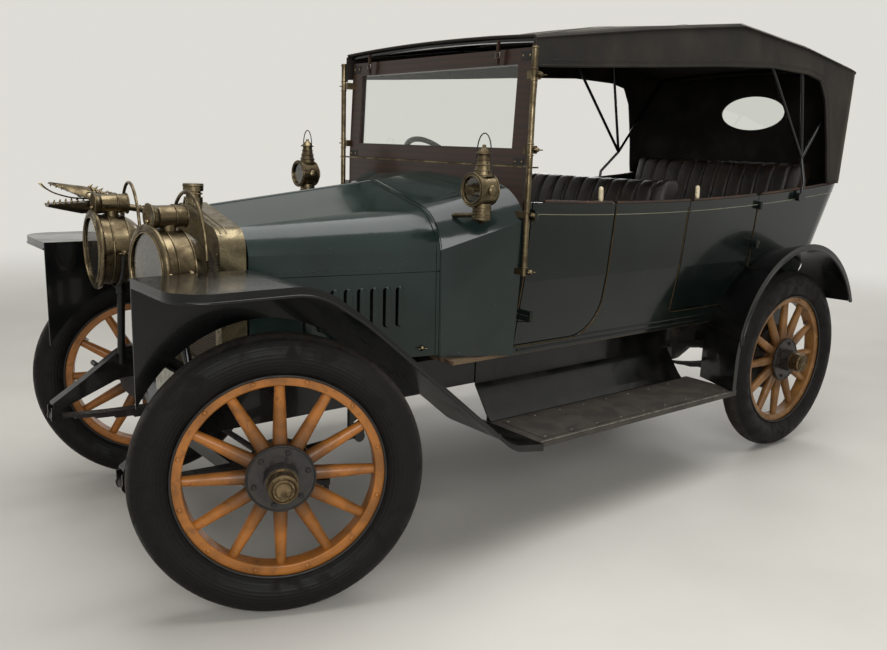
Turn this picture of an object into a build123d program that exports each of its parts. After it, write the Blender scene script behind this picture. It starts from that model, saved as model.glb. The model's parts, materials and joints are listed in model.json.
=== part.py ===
from build123d import *
import os
from math import atan2, cos, pi, radians, sin

# Open touring car of about 1912 with its hood up and its front wheels turned to the right.
# Millimetres. +X is forward, +Y is the car's left, +Z is up, and the origin lies on the ground
# below the middle of the whole car. Heights are above the ground.

# Axles, wheels and tyres (880 x 120 beaded-edge tyres on wooden artillery wheels)
FRONT_AXLE_X = 1457
WHEELBASE = 2732
TRACK = 1325
TYRE_RADIUS = 440
TYRE_WIDTH = 120
TREAD_WIDTH = 84
RIM_RADIUS = 318
FELLOE_DEPTH = 33
FELLOE_WIDTH = 58
SPOKE_COUNT = 12
SPOKE_ROOT_RADIUS = 24
SPOKE_TIP_RADIUS = 15
WOOD_BOSS_RADIUS = 98
HUB_FLANGE_RADIUS = 105
HUB_FLANGE_THICKNESS = 7
HUB_BARREL_RADIUS = 52
HUB_BARREL_LENGTH = 42
HUB_CAP_RADIUS = 44
HUB_CAP_LENGTH = 52
HUB_TUBE_RADIUS = 34
HUB_INNER_LENGTH = 8
SPINDLE_RADIUS = 22
SPINDLE_END = 92
DRUM_RADIUS = 165
DRUM_WIDTH = 62
DRUM_WALL = 8

# Steering
STEER_REST = -23
KINGPIN_OFFSET = 83
KINGPIN_RADIUS = 12
AXLE_EYE_RADIUS = 24
AXLE_EYE_HEIGHT = 88
FORK_EAR_THICKNESS = 16
FORK_PLAY = 1
FORK_PLATE_THICKNESS = 11
STEERING_ARM_LENGTH = 150
STEERING_ARM_WIDTH = 26
STEERING_ARM_THICKNESS = 14
TIE_ROD_RADIUS = 11
TIE_ROD_HEIGHT = 325
TIE_ROD_EYE_RADIUS = 19
BALL_PIN_RADIUS = 9
COLUMN_ANGLE = 40
COLUMN_RADIUS = 19
STEERING_WHEEL_X = 160
STEERING_WHEEL_Y = -300
STEERING_WHEEL_HEIGHT = 1300
STEERING_WHEEL_RADIUS = 210
STEERING_RIM_RADIUS = 13
COLUMN_LENGTH = 1080
WHEEL_HUB_LENGTH = 46
WHEEL_HUB_RADIUS = 34
GEAR_BOX_SIZE = 120
STEERING_SHAFT_RADIUS = 10

# Front axle beam, springs and rear axle
BEAM_THICKNESS = 44
BEAM_DEPTH = 50
SPRING_WIDTH = 44
LEAF_THICKNESS = 7
SPRING_EYE_RADIUS = 17
SPRING_PIN_RADIUS = 8
FRONT_SPRING_HEIGHT = 385
FRONT_SPRING_AFT = 410
FRONT_SPRING_CAMBER = 18
REAR_SPRING_HEIGHT = 384
REAR_SPRING_AHEAD = 560
REAR_SPRING_AFT = 400
REAR_SPRING_CAMBER = 62
SPRING_PAD_LENGTH = 60
PAD_RELIEF = 1.6
# Half length of each leaf as a share of the main leaf's, from the top down
LEAVES = (1.0, 0.84, 0.66, 0.48, 0.3)
REAR_TUBE_RADIUS = 42
DIFFERENTIAL_RADIUS = 140
DIFFERENTIAL_WIDTH = 150
DRUM_FACE_GAP = 4
TORQUE_TUBE_RADIUS = 32

# Ladder frame
RAIL_Y = 385
RAIL_WIDTH = 44
RAIL_TOP = 640
RAIL_DEPTH = 120
RAIL_WEB = 8
DUMB_IRON_REACH = 405
FRAME_TAIL = 425
CROSS_MEMBER_WIDTH = 60
CROSS_MEMBER_DEPTH = 70
HANGER_PLATE = 7
TIP_BOLT_RISE = 34
TIP_BOLT_RADIUS = 5
PLATE_TUBE_HEIGHT = 560
PLATE_TUBE_RADIUS = 14
NUMBER_PLATE_WIDTH = 370
NUMBER_PLATE_HEIGHT = 100
NUMBER_PLATE_THICKNESS = 3
IRON_WIDTH = 40
IRON_THICKNESS = 9
# place ahead of the front axle and height of each stay
FENDER_STAYS = ((240, 570), (-450, 580))
FENDER_STAY_RADIUS = 10

# Hand levers on the driver's side: distance from the centre line, lean forward, length
LEVER_X = 360
LEVER_Y = 690
LEVER_SHAFT_HEIGHT = 560
LEVERS = (
    (665, -4, 640),
    (690, 5, 600),
)

# Engine and gearbox
ENGINE_LENGTH = 600
ENGINE_WIDTH = 240
ENGINE_BOTTOM = 430
ENGINE_HEIGHT = 600
GEARBOX_WIDTH = 220
GEARBOX_HEIGHT = 190
GEARBOX_AXIS = 510

CRANK_HEIGHT = 470
HANDLE_REACH = 190
HANDLE_THROW = 165
HANDLE_GRIP = 110
HANDLE_RADIUS = 10
EXHAUST_Y = 235
EXHAUST_HEIGHT = 470
EXHAUST_PORT_HEIGHT = 760
EXHAUST_PIPE_RADIUS = 22
SILENCER_FRONT_X = -60
SILENCER_LENGTH = 520
SILENCER_RADIUS = 70

# Radiator
RADIATOR_FRONT = 55
RADIATOR_DEPTH = 90
RADIATOR_HALF_WIDTH = 306
RADIATOR_BORDER = 44
CORE_SET_IN = 10
RADIATOR_RIDGE = 1206

# Bonnet and cowl
BONNET_REAR = 731
BONNET_RIDGE_FRONT = 1196
BONNET_RIDGE_REAR = 1281
BONNET_HALF_WIDTH_FRONT = 304
BONNET_HALF_WIDTH_REAR = 436
BONNET_WALL = 5
BONNET_BOTTOM = 668
BONNET_SPLIT_HEIGHT = 980
BONNET_FRONT_GAP = 9
BONNET_REAR_GAP = 5
RIDGE_GAP = 5
FLAP_ROD_RADIUS = 2.7
BEAD_WIDTH = 12
BEAD_RISE = 3
LOUVRE_COUNT = 8
LOUVRE_PITCH = 48
LOUVRE_LENGTH = 150
LOUVRE_WIDTH = 30
LOUVRE_RISE = 7
LOUVRE_SHEET = 2
LOUVRE_TAPER = 30
LOUVRE_MOUTH = 7
LOUVRE_TOP_MARGIN = 48
LOUVRE_REAR_MARGIN = 150
COWL_TOP = 1320
COWL_WALL = 22
COWL_STEP = 30
FIREWALL_THICKNESS = 14

# Body
SCREEN_SET_BACK = 1000
BODY_BOTTOM = 655
BODY_WALL = 30
SILL_HALF_WIDTH = 552
WAIST_HALF_WIDTH = 600
BELT_HALF_WIDTH = 635
WAIST_HEIGHT = 940
BELT_HEIGHT = 1225
BELT_HEIGHT_FRONT = 1236
BELT_HEIGHT_REAR = 1322
BODY_TOP_HEIGHT = 1350
SILL_REAR = 3040
WAIST_REAR = 3140
BELT_REAR = 3300
REAR_CORNER_RADIUS = 190
TAIL_RISE_START = 150
TAIL_BOTTOM = 930
FLOOR_THICKNESS = 14
BOX_BOARD = 18
SEAT_HALF_WIDTH = 545
BACK_THICKNESS = 110
DOOR_GAP = 5
FRONT_DOOR_FRONT = 1000
FRONT_DOOR_REAR = 1450
FRONT_DOOR_BOTTOM = 697
FRONT_DOOR_CORNER_RADIUS = 150
REAR_DOOR_FRONT = 1940
REAR_DOOR_REAR = 2455
REAR_DOOR_BOTTOM = 745
HINGE_RADIUS = 8
HINGE_PIN_RADIUS = 4
HINGE_HALF_HEIGHT = 18
HINGE_SET_OFF = 3.5
FRONT_HINGE_Y = 645
REAR_HINGE_Y = 640
FRONT_HINGE_HEIGHTS = (820, 1190)
REAR_HINGE_HEIGHTS = (1020, 1200)

# Fenders and running boards
FENDER_OUTER_Y = 800
FENDER_INNER_Y = 455
FENDER_SHEET = 5
FENDER_FLANGE = 26
FRONT_FENDER_TOP = 1035
FRONT_FENDER_REACH = 388
REAR_FENDER_RADIUS = 530
REAR_FENDER_OUTER_Y = 782
REAR_FENDER_INNER_Y = 540
FENDER_CORNER_RADIUS = 110
VALANCE_ARCH_RADIUS = 442
VALANCE_BOTTOM = 535
FENDER_LEAD = 49
FENDER_LIFT = 55
FENDER_TAIL_ANGLE = 24
FENDER_INNER_SHIFT = 40
FENDER_INNER_DROP = 60
BOARD_TOP = 385
BOARD_FRONT = 945
BOARD_REAR = 530
BOARD_THICKNESS = 26
BOARD_INNER_Y = 500
BOARD_OUTER_Y = 772
COVER_WIDTH = 230
COVER_RIM = 14
COVER_THICKNESS = 3
COVER_FRONT_MARGIN = 40
COVER_REAR_MARGIN = 80

# Windscreen
SCREEN_RAKE = 2.5
SCREEN_HALF_WIDTH = 585
SCREEN_BOTTOM = 1355
SCREEN_TOP = 1765
SCREEN_THICKNESS = 28
GLASS_HALF_WIDTH = 509
GLASS_BOTTOM = 1415
GLASS_TOP = 1709
GLASS_THICKNESS = 6
PILLAR_RADIUS = 11
PILLAR_Y = 620
PILLAR_BOTTOM = 970
PILLAR_TOP = 1772
APRON_BOTTOM = 1205
STRIP_THICKNESS = 6
REBATE = 8
CLAMP_HEIGHTS = (1420, 1675)
PILLAR_FEET = (1190, 985)

# Hood
HOOD_SKIN = 10
HOOD_OVERHANG = 14
ROOF_SPREAD = 720
VALANCE_FRONT = 1702
REAR_LIGHT_HEIGHT = 1660
REAR_LIGHT_HALF_WIDTH = 200
REAR_LIGHT_HALF_HEIGHT = 95
PANE_SET_IN = 3
PANE_THICKNESS = 4
BOW_DISTANCES = (1012, 1620, 2420, 2770, 3230)
BOW_WIDTH = 22
BOW_THICKNESS = 14
BOW_DROP = 2.2
BOW_HALF_LENGTH = 588
IRON_ROD_RADIUS = 8
HOOD_FOOT_Y = 645
HOOD_FOOT_HEIGHT = 1235
# height, half width, distance behind the front axle, rear corner radius
HOOD_LEVELS = (
    (1200, 628, 3288, 180),
    (1320, 632, 3302, 180),
    (1900, 606, 3345, 120),
    (2100, 600, 3350, 120),
)

# Lamps
LAMP_Y = 272
LAMP_HEIGHT = 1025
LAMP_RADIUS = 140
LAMP_RIM_REACH = 276
LAMP_TOE = 4
LAMP_DEPTH = 190
LAMP_RIM_STEP = 16
LAMP_RIM_WIDTH = 18
LAMP_DRUM_DROP = 6
LAMP_DOME = 80
LAMP_WALL = 4
LAMP_POST_RADIUS = 14
LENS_SET_IN = 4
LENS_THICKNESS = 5
LENS_LIP = 5
CHIMNEY_LENGTH = 110
CHIMNEY_RADIUS = 34
CHIMNEY_GAP = 3
SIDE_LAMP_Y = 602
SIDE_LAMP_SET_BACK = 775
SIDE_LAMP_HEIGHT = 1280
SIDE_LAMP_RADIUS = 58
SIDE_LAMP_DEPTH = 96
SIDE_RIM_LIP = 14
SIDE_RIM_WIDTH = 12
SIDE_RIM_STEP = 6
SIDE_BACK_TAPER = 16
SIDE_BACK_RADIUS = 32
SIDE_LAMP_WALL = 6
SIDE_LENS_LIP = 4
SIDE_ARM_RADIUS = 9
LANTERN_FONT_RADIUS = 32
LANTERN_TOP_RADIUS = 34
LANTERN_TOP_TAPER = 12
SIDE_LAMP_HEIGHT_BELOW = 100
SIDE_LAMP_HEIGHT_ABOVE = 120

# Horn: tube's route from the bulb forward to the neck, and half width and height along the head
HORN_ROUTE = (
    (560, -690, 1130),
    (700, -690, 1150),
    (1000, -600, 1140),
    (1330, -560, 1118),
    (1567, -552, 1160),
)
HORN_TUBE_RADIUS = 13
HORN_HEAD = ((-10, 14, 14), (45, 44, 40), (110, 56, 52), (235, 48, 46))
HORN_STAY_X = 1530
HORN_STAY_TOP = 1148
HORN_STAY_RADIUS = 9

# Clearances
SEAT_GAP = 0.3
RUNNING_GAP = 0.3
COLUMN_HOLE_GAP = 3

# Derived places
REAR_AXLE_X = FRONT_AXLE_X - WHEELBASE
side_reach = 2 * BELT_HALF_WIDTH
KINGPIN_Y = TRACK / 2 - KINGPIN_OFFSET
RAIL_INNER_Y = RAIL_Y - RAIL_WIDTH / 2
RAIL_OUTER_Y = RAIL_Y + RAIL_WIDTH / 2
RAIL_BOTTOM = RAIL_TOP - RAIL_DEPTH
SCREEN_X = FRONT_AXLE_X - SCREEN_SET_BACK
COWL_REAR_X = SCREEN_X + SCREEN_THICKNESS / 2 + SEAT_GAP
RADIATOR_FRONT_X = FRONT_AXLE_X + RADIATOR_FRONT
RADIATOR_REAR_X = RADIATOR_FRONT_X - RADIATOR_DEPTH
BONNET_REAR_X = FRONT_AXLE_X - BONNET_REAR
PILLAR_X = COWL_REAR_X + PILLAR_RADIUS + SEAT_GAP
PLATE_TUBE_X = FRONT_AXLE_X + 80
CROSS_MEMBERS = (
    RADIATOR_FRONT_X - RADIATOR_DEPTH / 2,
    BONNET_REAR_X - 10,
    SCREEN_X - 170,
    SCREEN_X - 900,
    REAR_AXLE_X - 330,
)

os.makedirs("parts", exist_ok=True)


def save(piece, name):
    piece.label = name
    export_step(piece, f"parts/{name}.step")


def behind(distance):
    """X of a place this far behind the front axle."""
    return FRONT_AXLE_X - distance


def rod(start, end, radius):
    """Round bar between two points, added to the part in hand."""
    reach = Vector(*end) - Vector(*start)
    with BuildSketch(Plane(origin=start, z_dir=reach)) as section:
        Circle(radius)
    extrude(section.sketch, amount=reach.length)


# Wooden wheel, about its own axis: +Z points out of the car, the origin is the tyre's middle
felloe_inner_radius = RIM_RADIUS - FELLOE_DEPTH
boss_half_width = FELLOE_WIDTH / 2 - 2

with BuildPart() as wood_wheel:
    with BuildSketch(Plane.XZ) as felloe_section:
        with Locations((RIM_RADIUS - FELLOE_DEPTH / 2, 0)):
            RectangleRounded(FELLOE_DEPTH, FELLOE_WIDTH, 5)
    revolve(axis=Axis.Z)
    with BuildSketch(Plane.XY.offset(-boss_half_width)):
        Circle(WOOD_BOSS_RADIUS)
        Circle(HUB_TUBE_RADIUS + SEAT_GAP, mode=Mode.SUBTRACT)
    extrude(amount=2 * boss_half_width)
    for turn in range(SPOKE_COUNT):
        spoke_axis = Plane.YZ.rotated((0, 0, turn * 360 / SPOKE_COUNT))
        with BuildSketch(spoke_axis.offset(WOOD_BOSS_RADIUS - 20)) as root:
            Ellipse(SPOKE_ROOT_RADIUS, SPOKE_ROOT_RADIUS)
        with BuildSketch(spoke_axis.offset(felloe_inner_radius + 6)) as tip:
            Ellipse(SPOKE_TIP_RADIUS, SPOKE_TIP_RADIUS)
        loft([root.sketch, tip.sketch])

# Tyre about the wheel's axis
tyre_seat = RIM_RADIUS + SEAT_GAP
with BuildPart() as tyre:
    with BuildSketch(Plane.XZ):
        with BuildLine():
            shoulder = TYRE_RADIUS - 16
            side_in = Line((tyre_seat, -FELLOE_WIDTH / 2), (tyre_seat, FELLOE_WIDTH / 2))
            outer_wall = ThreePointArc(
                side_in @ 1, (tyre_seat + 62, TYRE_WIDTH / 2), (shoulder, TREAD_WIDTH / 2)
            )
            crown = ThreePointArc(
                outer_wall @ 1, (TYRE_RADIUS, 0), (shoulder, -TREAD_WIDTH / 2)
            )
            ThreePointArc(crown @ 1, (tyre_seat + 62, -TYRE_WIDTH / 2), side_in @ 0)
        make_face()
    revolve(axis=Axis.Z)

# Metal hub about the wheel's axis, with a brake drum on the rear ones
flange_face = boss_half_width + SEAT_GAP
flange_outer = flange_face + HUB_FLANGE_THICKNESS
barrel_end = flange_outer + HUB_BARREL_LENGTH
hub_tip = barrel_end + HUB_CAP_LENGTH
hub_inner_end = -flange_outer - HUB_INNER_LENGTH


def make_hub(with_drum):
    bore = SPINDLE_RADIUS + RUNNING_GAP
    with BuildPart() as hub:
        with BuildSketch(Plane.XZ):
            with BuildLine():
                Polyline(
                    (bore, hub_inner_end),
                    (HUB_BARREL_RADIUS, hub_inner_end),
                    (HUB_BARREL_RADIUS, -flange_outer),
                    (HUB_FLANGE_RADIUS, -flange_outer),
                    (HUB_FLANGE_RADIUS, -flange_face),
                    (HUB_TUBE_RADIUS, -flange_face),
                    (HUB_TUBE_RADIUS, flange_face),
                    (HUB_FLANGE_RADIUS, flange_face),
                    (HUB_FLANGE_RADIUS, flange_outer),
                    (HUB_BARREL_RADIUS, flange_outer),
                    (HUB_BARREL_RADIUS, barrel_end),
                    (HUB_CAP_RADIUS, barrel_end),
                    (HUB_CAP_RADIUS, hub_tip - 10),
                    (HUB_CAP_RADIUS - 12, hub_tip),
                    (0, hub_tip),
                    (0, SPINDLE_END + 4),
                    (bore, SPINDLE_END + 4),
                    close=True,
                )
            make_face()
        revolve(axis=Axis.Z)
        if with_drum:
            drum_face = -flange_outer - 4
            with BuildSketch(Plane.XY.offset(-flange_outer)) as drum_disc:
                Circle(DRUM_RADIUS)
                Circle(HUB_BARREL_RADIUS - 4, mode=Mode.SUBTRACT)
            extrude(drum_disc.sketch, amount=-DRUM_WALL)
            with BuildSketch(Plane.XY.offset(drum_face)) as drum_rim:
                Circle(DRUM_RADIUS)
                Circle(DRUM_RADIUS - DRUM_WALL, mode=Mode.SUBTRACT)
            extrude(drum_rim.sketch, amount=-DRUM_WIDTH)
    return hub.part


front_hub = make_hub(False)
rear_hub = make_hub(True)

# Corner names, axle, side of the car (+1 left) and steering angle
CORNERS = (
    ("front_left", FRONT_AXLE_X, 1, STEER_REST),
    ("front_right", FRONT_AXLE_X, -1, STEER_REST),
    ("rear_left", REAR_AXLE_X, 1, 0),
    ("rear_right", REAR_AXLE_X, -1, 0),
)


def corner_location(axle_x, side, steer):
    """Wheel frame in the car: origin at the tyre's middle, +Z out of the car."""
    kingpin = Location((axle_x, side * KINGPIN_Y, TYRE_RADIUS), (0, 0, steer))
    out = Location((0, side * KINGPIN_OFFSET, 0), (-90 * side, 0, 0))
    return kingpin * out


for corner, axle_x, side, steer in CORNERS:
    place = corner_location(axle_x, side, steer)
    hub_shape = front_hub if axle_x == FRONT_AXLE_X else rear_hub
    save(wood_wheel.part.moved(place), f"wheel_{corner}")
    save(tyre.part.moved(place), f"tyre_{corner}")
    save(hub_shape.moved(place), f"hub_{corner}")

# Front axle: forged beam with an eye for each kingpin and a pad under each spring
pad_top = FRONT_SPRING_HEIGHT - LEAF_THICKNESS * (len(LEAVES) - 0.5) - SEAT_GAP
beam_bottom = pad_top - BEAM_DEPTH
eye_bottom = TYRE_RADIUS - AXLE_EYE_HEIGHT / 2
with BuildPart() as front_axle:
    with BuildSketch(Plane.YZ.offset(FRONT_AXLE_X)) as beam:
        with BuildLine():
            Polyline(
                (0, pad_top),
                (RAIL_Y + 50, pad_top),
                (KINGPIN_Y - 20, TYRE_RADIUS + 24),
                (KINGPIN_Y, TYRE_RADIUS + 24),
                (KINGPIN_Y, TYRE_RADIUS - 20),
                (RAIL_Y + 60, beam_bottom),
                (0, beam_bottom),
                close=True,
            )
        make_face()
        mirror(about=Plane.YZ)
    extrude(beam.sketch, amount=BEAM_THICKNESS / 2, both=True)
    with BuildSketch(Plane.XY.offset(eye_bottom)) as eyes:
        with Locations((FRONT_AXLE_X, KINGPIN_Y), (FRONT_AXLE_X, -KINGPIN_Y)):
            Circle(AXLE_EYE_RADIUS)
    extrude(eyes.sketch, amount=AXLE_EYE_HEIGHT)
    with BuildSketch(Plane.XY.offset(eye_bottom)) as pin_holes:
        with Locations((FRONT_AXLE_X, KINGPIN_Y), (FRONT_AXLE_X, -KINGPIN_Y)):
            Circle(KINGPIN_RADIUS + RUNNING_GAP)
    extrude(pin_holes.sketch, amount=AXLE_EYE_HEIGHT, mode=Mode.SUBTRACT)
save(front_axle.part, "front_axle")

# Steering knuckle in its kingpin's frame: fork, pin, spindle, steering arm and its drop pin
top_ear = AXLE_EYE_HEIGHT / 2 + FORK_PLAY
plate_inner = AXLE_EYE_RADIUS + 3
arm_level = -top_ear - FORK_EAR_THICKNESS
fork_height = 2 * (top_ear + FORK_EAR_THICKNESS)


def make_knuckle(side):
    with BuildPart() as knuckle:
        for base in (top_ear, arm_level):
            with BuildSketch(Plane.XY.offset(base)) as ear:
                Circle(AXLE_EYE_RADIUS)
                with Locations((0, side * (plate_inner + 1) / 2)):
                    Rectangle(2 * AXLE_EYE_RADIUS, plate_inner + 1)
            extrude(ear.sketch, amount=FORK_EAR_THICKNESS)
        with BuildSketch(Plane.XZ.offset(-side * plate_inner)) as plate:
            Rectangle(2 * AXLE_EYE_RADIUS, fork_height)
        extrude(plate.sketch, amount=-side * FORK_PLATE_THICKNESS)
        with BuildSketch(Plane.XY.offset(arm_level)) as pin:
            Circle(KINGPIN_RADIUS)
        extrude(pin.sketch, amount=fork_height)
        with BuildSketch(Plane.XZ.offset(-side * plate_inner)) as spindle:
            Circle(SPINDLE_RADIUS)
        extrude(spindle.sketch, amount=-side * (KINGPIN_OFFSET + SPINDLE_END - plate_inner))
        with BuildSketch(Plane.XY.offset(arm_level - STEERING_ARM_THICKNESS)) as arm:
            with Locations((-STEERING_ARM_LENGTH / 2, 0)):
                SlotCenterToCenter(STEERING_ARM_LENGTH, STEERING_ARM_WIDTH)
        extrude(arm.sketch, amount=STEERING_ARM_THICKNESS + 4)
        pin_drop = TYRE_RADIUS + arm_level - TIE_ROD_HEIGHT + TIE_ROD_EYE_RADIUS
        with BuildSketch(Plane.XY.offset(arm_level)) as ball_pin:
            with Locations((-STEERING_ARM_LENGTH, 0)):
                Circle(BALL_PIN_RADIUS)
        extrude(ball_pin.sketch, amount=-pin_drop)
    return knuckle.part


for name, side in (("left", 1), ("right", -1)):
    kingpin = Location((FRONT_AXLE_X, side * KINGPIN_Y, TYRE_RADIUS), (0, 0, STEER_REST))
    save(make_knuckle(side).moved(kingpin), f"knuckle_{name}")

# Tie rod between the two steering arms
arm_pin_x = FRONT_AXLE_X - STEERING_ARM_LENGTH * cos(radians(STEER_REST))
arm_pin_shift = -STEERING_ARM_LENGTH * sin(radians(STEER_REST))
eye_thickness = 2 * TIE_ROD_RADIUS + 2
with BuildPart() as tie_rod:
    rod(
        (arm_pin_x, arm_pin_shift - KINGPIN_Y, TIE_ROD_HEIGHT),
        (arm_pin_x, arm_pin_shift + KINGPIN_Y, TIE_ROD_HEIGHT),
        TIE_ROD_RADIUS,
    )
    for side in (1, -1):
        pin_y = arm_pin_shift + side * KINGPIN_Y
        with BuildSketch(Plane.XY.offset(TIE_ROD_HEIGHT - eye_thickness / 2)) as eye:
            with Locations((arm_pin_x, pin_y)):
                Circle(TIE_ROD_EYE_RADIUS)
        extrude(eye.sketch, amount=eye_thickness)
        with BuildSketch(Plane.XY.offset(TIE_ROD_HEIGHT - eye_thickness)) as bore:
            with Locations((arm_pin_x, pin_y)):
                Circle(BALL_PIN_RADIUS + RUNNING_GAP)
        extrude(bore.sketch, amount=2 * eye_thickness, mode=Mode.SUBTRACT)
save(tie_rod.part, "tie_rod")


def make_spring(axle_x, height, ahead, aft, camber):
    """Stack of leaves over the origin's Y, its main leaf ending in an eye at each end."""
    half_leaf = LEAF_THICKNESS / 2
    with BuildPart() as spring:
        for index, share in enumerate(LEAVES):
            depth = half_leaf - (index + 1) * LEAF_THICKNESS
            with BuildSketch(Plane.XZ, mode=Mode.PRIVATE) as stack:
                with BuildLine():
                    top = ThreePointArc(
                        (axle_x + ahead, height + camber + half_leaf),
                        (axle_x, height + half_leaf),
                        (axle_x - aft, height + camber + half_leaf),
                    )
                    bottom = ThreePointArc(
                        (axle_x + ahead, height + camber + depth),
                        (axle_x, height + depth),
                        (axle_x - aft, height + camber + depth),
                    )
                    Line(top @ 0, bottom @ 0)
                    Line(top @ 1, bottom @ 1)
                make_face()
                with Locations((axle_x + (ahead - aft) * share / 2, height)):
                    Rectangle((ahead + aft) * share, 600, mode=Mode.INTERSECT)
            extrude(stack.sketch, amount=SPRING_WIDTH / 2, both=True)
        ends = ((axle_x + ahead, height + camber), (axle_x - aft, height + camber))
        with BuildSketch(Plane.XZ) as eyes:
            with Locations(*ends):
                Circle(SPRING_EYE_RADIUS)
        extrude(eyes.sketch, amount=SPRING_WIDTH / 2, both=True)
        with BuildSketch(Plane.XZ) as bores:
            with Locations(*ends):
                Circle(SPRING_PIN_RADIUS + RUNNING_GAP)
        extrude(bores.sketch, amount=SPRING_WIDTH, both=True, mode=Mode.SUBTRACT)
    return spring.part


front_spring = make_spring(
    FRONT_AXLE_X, FRONT_SPRING_HEIGHT, DUMB_IRON_REACH, FRONT_SPRING_AFT, FRONT_SPRING_CAMBER
)
rear_spring = make_spring(
    REAR_AXLE_X, REAR_SPRING_HEIGHT, REAR_SPRING_AHEAD, REAR_SPRING_AFT, REAR_SPRING_CAMBER
)
leaf_springs = [
    spring.moved(Location((0, side * RAIL_Y, 0)))
    for spring in (front_spring, rear_spring)
    for side in (1, -1)
]
save(Compound(leaf_springs), "leaf_springs")

# Ladder frame: channel rails that curve down into the dumb irons, cross members and spring hangers
front_eye_height = FRONT_SPRING_HEIGHT + FRONT_SPRING_CAMBER
rear_eye_height = REAR_SPRING_HEIGHT + REAR_SPRING_CAMBER
tip_x = FRONT_AXLE_X + DUMB_IRON_REACH
tail_x = REAR_AXLE_X - FRAME_TAIL
hanger_half = SPRING_WIDTH / 2 + 1
# x, eye height, hanger top
HANGERS = (
    (tip_x, front_eye_height, front_eye_height + 40),
    (FRONT_AXLE_X - FRONT_SPRING_AFT, front_eye_height, RAIL_BOTTOM + 1),
    (REAR_AXLE_X + REAR_SPRING_AHEAD, rear_eye_height, RAIL_BOTTOM + 1),
    (REAR_AXLE_X - REAR_SPRING_AFT, rear_eye_height, RAIL_BOTTOM + 1),
)
with BuildPart() as frame:
    with BuildSketch(Plane.XZ.offset(-RAIL_INNER_Y)) as rail_side:
        with BuildLine():
            edge = FilletPolyline(
                (tail_x, RAIL_TOP),
                (FRONT_AXLE_X + 150, RAIL_TOP),
                (FRONT_AXLE_X + 300, RAIL_TOP - 108),
                (tip_x + 12, front_eye_height + 52),
                (tip_x - 4, front_eye_height + 22),
                (FRONT_AXLE_X + 170, RAIL_BOTTOM),
                (tail_x, RAIL_BOTTOM),
                radius=[120, 150, 8, 8, 120],
            )
            Line(edge @ 1, edge @ 0)
        make_face()
    extrude(rail_side.sketch, amount=-RAIL_WIDTH)
    with BuildSketch(Plane.XZ.offset(-RAIL_INNER_Y)) as channel:
        with Locations(((tail_x + FRONT_AXLE_X) / 2, (RAIL_TOP + RAIL_BOTTOM) / 2)):
            Rectangle(FRONT_AXLE_X - tail_x, RAIL_DEPTH - 2 * RAIL_WEB)
    extrude(channel.sketch, amount=RAIL_WEB - RAIL_WIDTH, mode=Mode.SUBTRACT)
    for hanger_x, eye_z, hanger_top in HANGERS:
        for cheek in (RAIL_Y - hanger_half - HANGER_PLATE, RAIL_Y + hanger_half):
            with BuildSketch(Plane.XZ.offset(-cheek)) as plate:
                with Locations((hanger_x, eye_z)):
                    Circle(SPRING_EYE_RADIUS + 3)
                with Locations((hanger_x, (eye_z + hanger_top) / 2)):
                    Rectangle(2 * SPRING_EYE_RADIUS, hanger_top - eye_z)
            extrude(plate.sketch, amount=-HANGER_PLATE)
        if hanger_x != tip_x:
            with BuildSketch(Plane.XZ.offset(-(RAIL_Y - hanger_half - HANGER_PLATE))) as bridge:
                with Locations((hanger_x, hanger_top - 4)):
                    Rectangle(2 * SPRING_EYE_RADIUS, 8)
            extrude(bridge.sketch, amount=-2 * (hanger_half + HANGER_PLATE))
        else:
            with BuildSketch(Plane.XZ.offset(-(RAIL_Y - hanger_half - 1))) as bolt:
                with Locations((hanger_x - 2, eye_z + TIP_BOLT_RISE)):
                    Circle(TIP_BOLT_RADIUS)
            extrude(bolt.sketch, amount=-2 * (hanger_half + 1))
        with BuildSketch(Plane.XZ.offset(-(RAIL_Y - hanger_half - 1))) as pin:
            with Locations((hanger_x, eye_z)):
                Circle(SPRING_PIN_RADIUS)
        extrude(pin.sketch, amount=-2 * (hanger_half + 1))

# Cross members butted between the rails, and the tube that carries the number plate
member_reach = RAIL_INNER_Y - SEAT_GAP
with BuildPart() as members:
    for cross_x in CROSS_MEMBERS:
        with BuildSketch(Plane.XZ) as cross:
            with Locations((cross_x, RAIL_TOP - CROSS_MEMBER_DEPTH / 2)):
                Rectangle(CROSS_MEMBER_WIDTH, CROSS_MEMBER_DEPTH)
        extrude(cross.sketch, amount=member_reach, both=True)
    rod(
        (PLATE_TUBE_X, -member_reach, PLATE_TUBE_HEIGHT),
        (PLATE_TUBE_X, member_reach, PLATE_TUBE_HEIGHT),
        PLATE_TUBE_RADIUS,
    )

# Blank number plate on the tube between the dumb irons
with BuildPart() as number_plate:
    with BuildSketch(Plane.YZ.offset(PLATE_TUBE_X + 14 + SEAT_GAP)):
        with Locations((0, PLATE_TUBE_HEIGHT)):
            RectangleRounded(NUMBER_PLATE_WIDTH, NUMBER_PLATE_HEIGHT, 8)
    extrude(amount=NUMBER_PLATE_THICKNESS)
save(number_plate.part, "number_plate")

# Engine and gearbox as plain masses between the cross members
engine_rear_x = CROSS_MEMBERS[1] + CROSS_MEMBER_WIDTH / 2
with BuildPart() as engine:
    with BuildSketch(Plane.XY.offset(ENGINE_BOTTOM)):
        with Locations((engine_rear_x + ENGINE_LENGTH / 2, 0)):
            Rectangle(ENGINE_LENGTH, ENGINE_WIDTH)
    extrude(amount=ENGINE_HEIGHT)
    with BuildSketch(Plane.XY.offset(RAIL_TOP - RAIL_WEB - 40)) as bearers:
        with Locations((engine_rear_x + 90, 0), (engine_rear_x + ENGINE_LENGTH - 90, 0)):
            Rectangle(50, 2 * RAIL_INNER_Y)
    extrude(bearers.sketch, amount=30)
save(engine.part, "engine_block")

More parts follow.
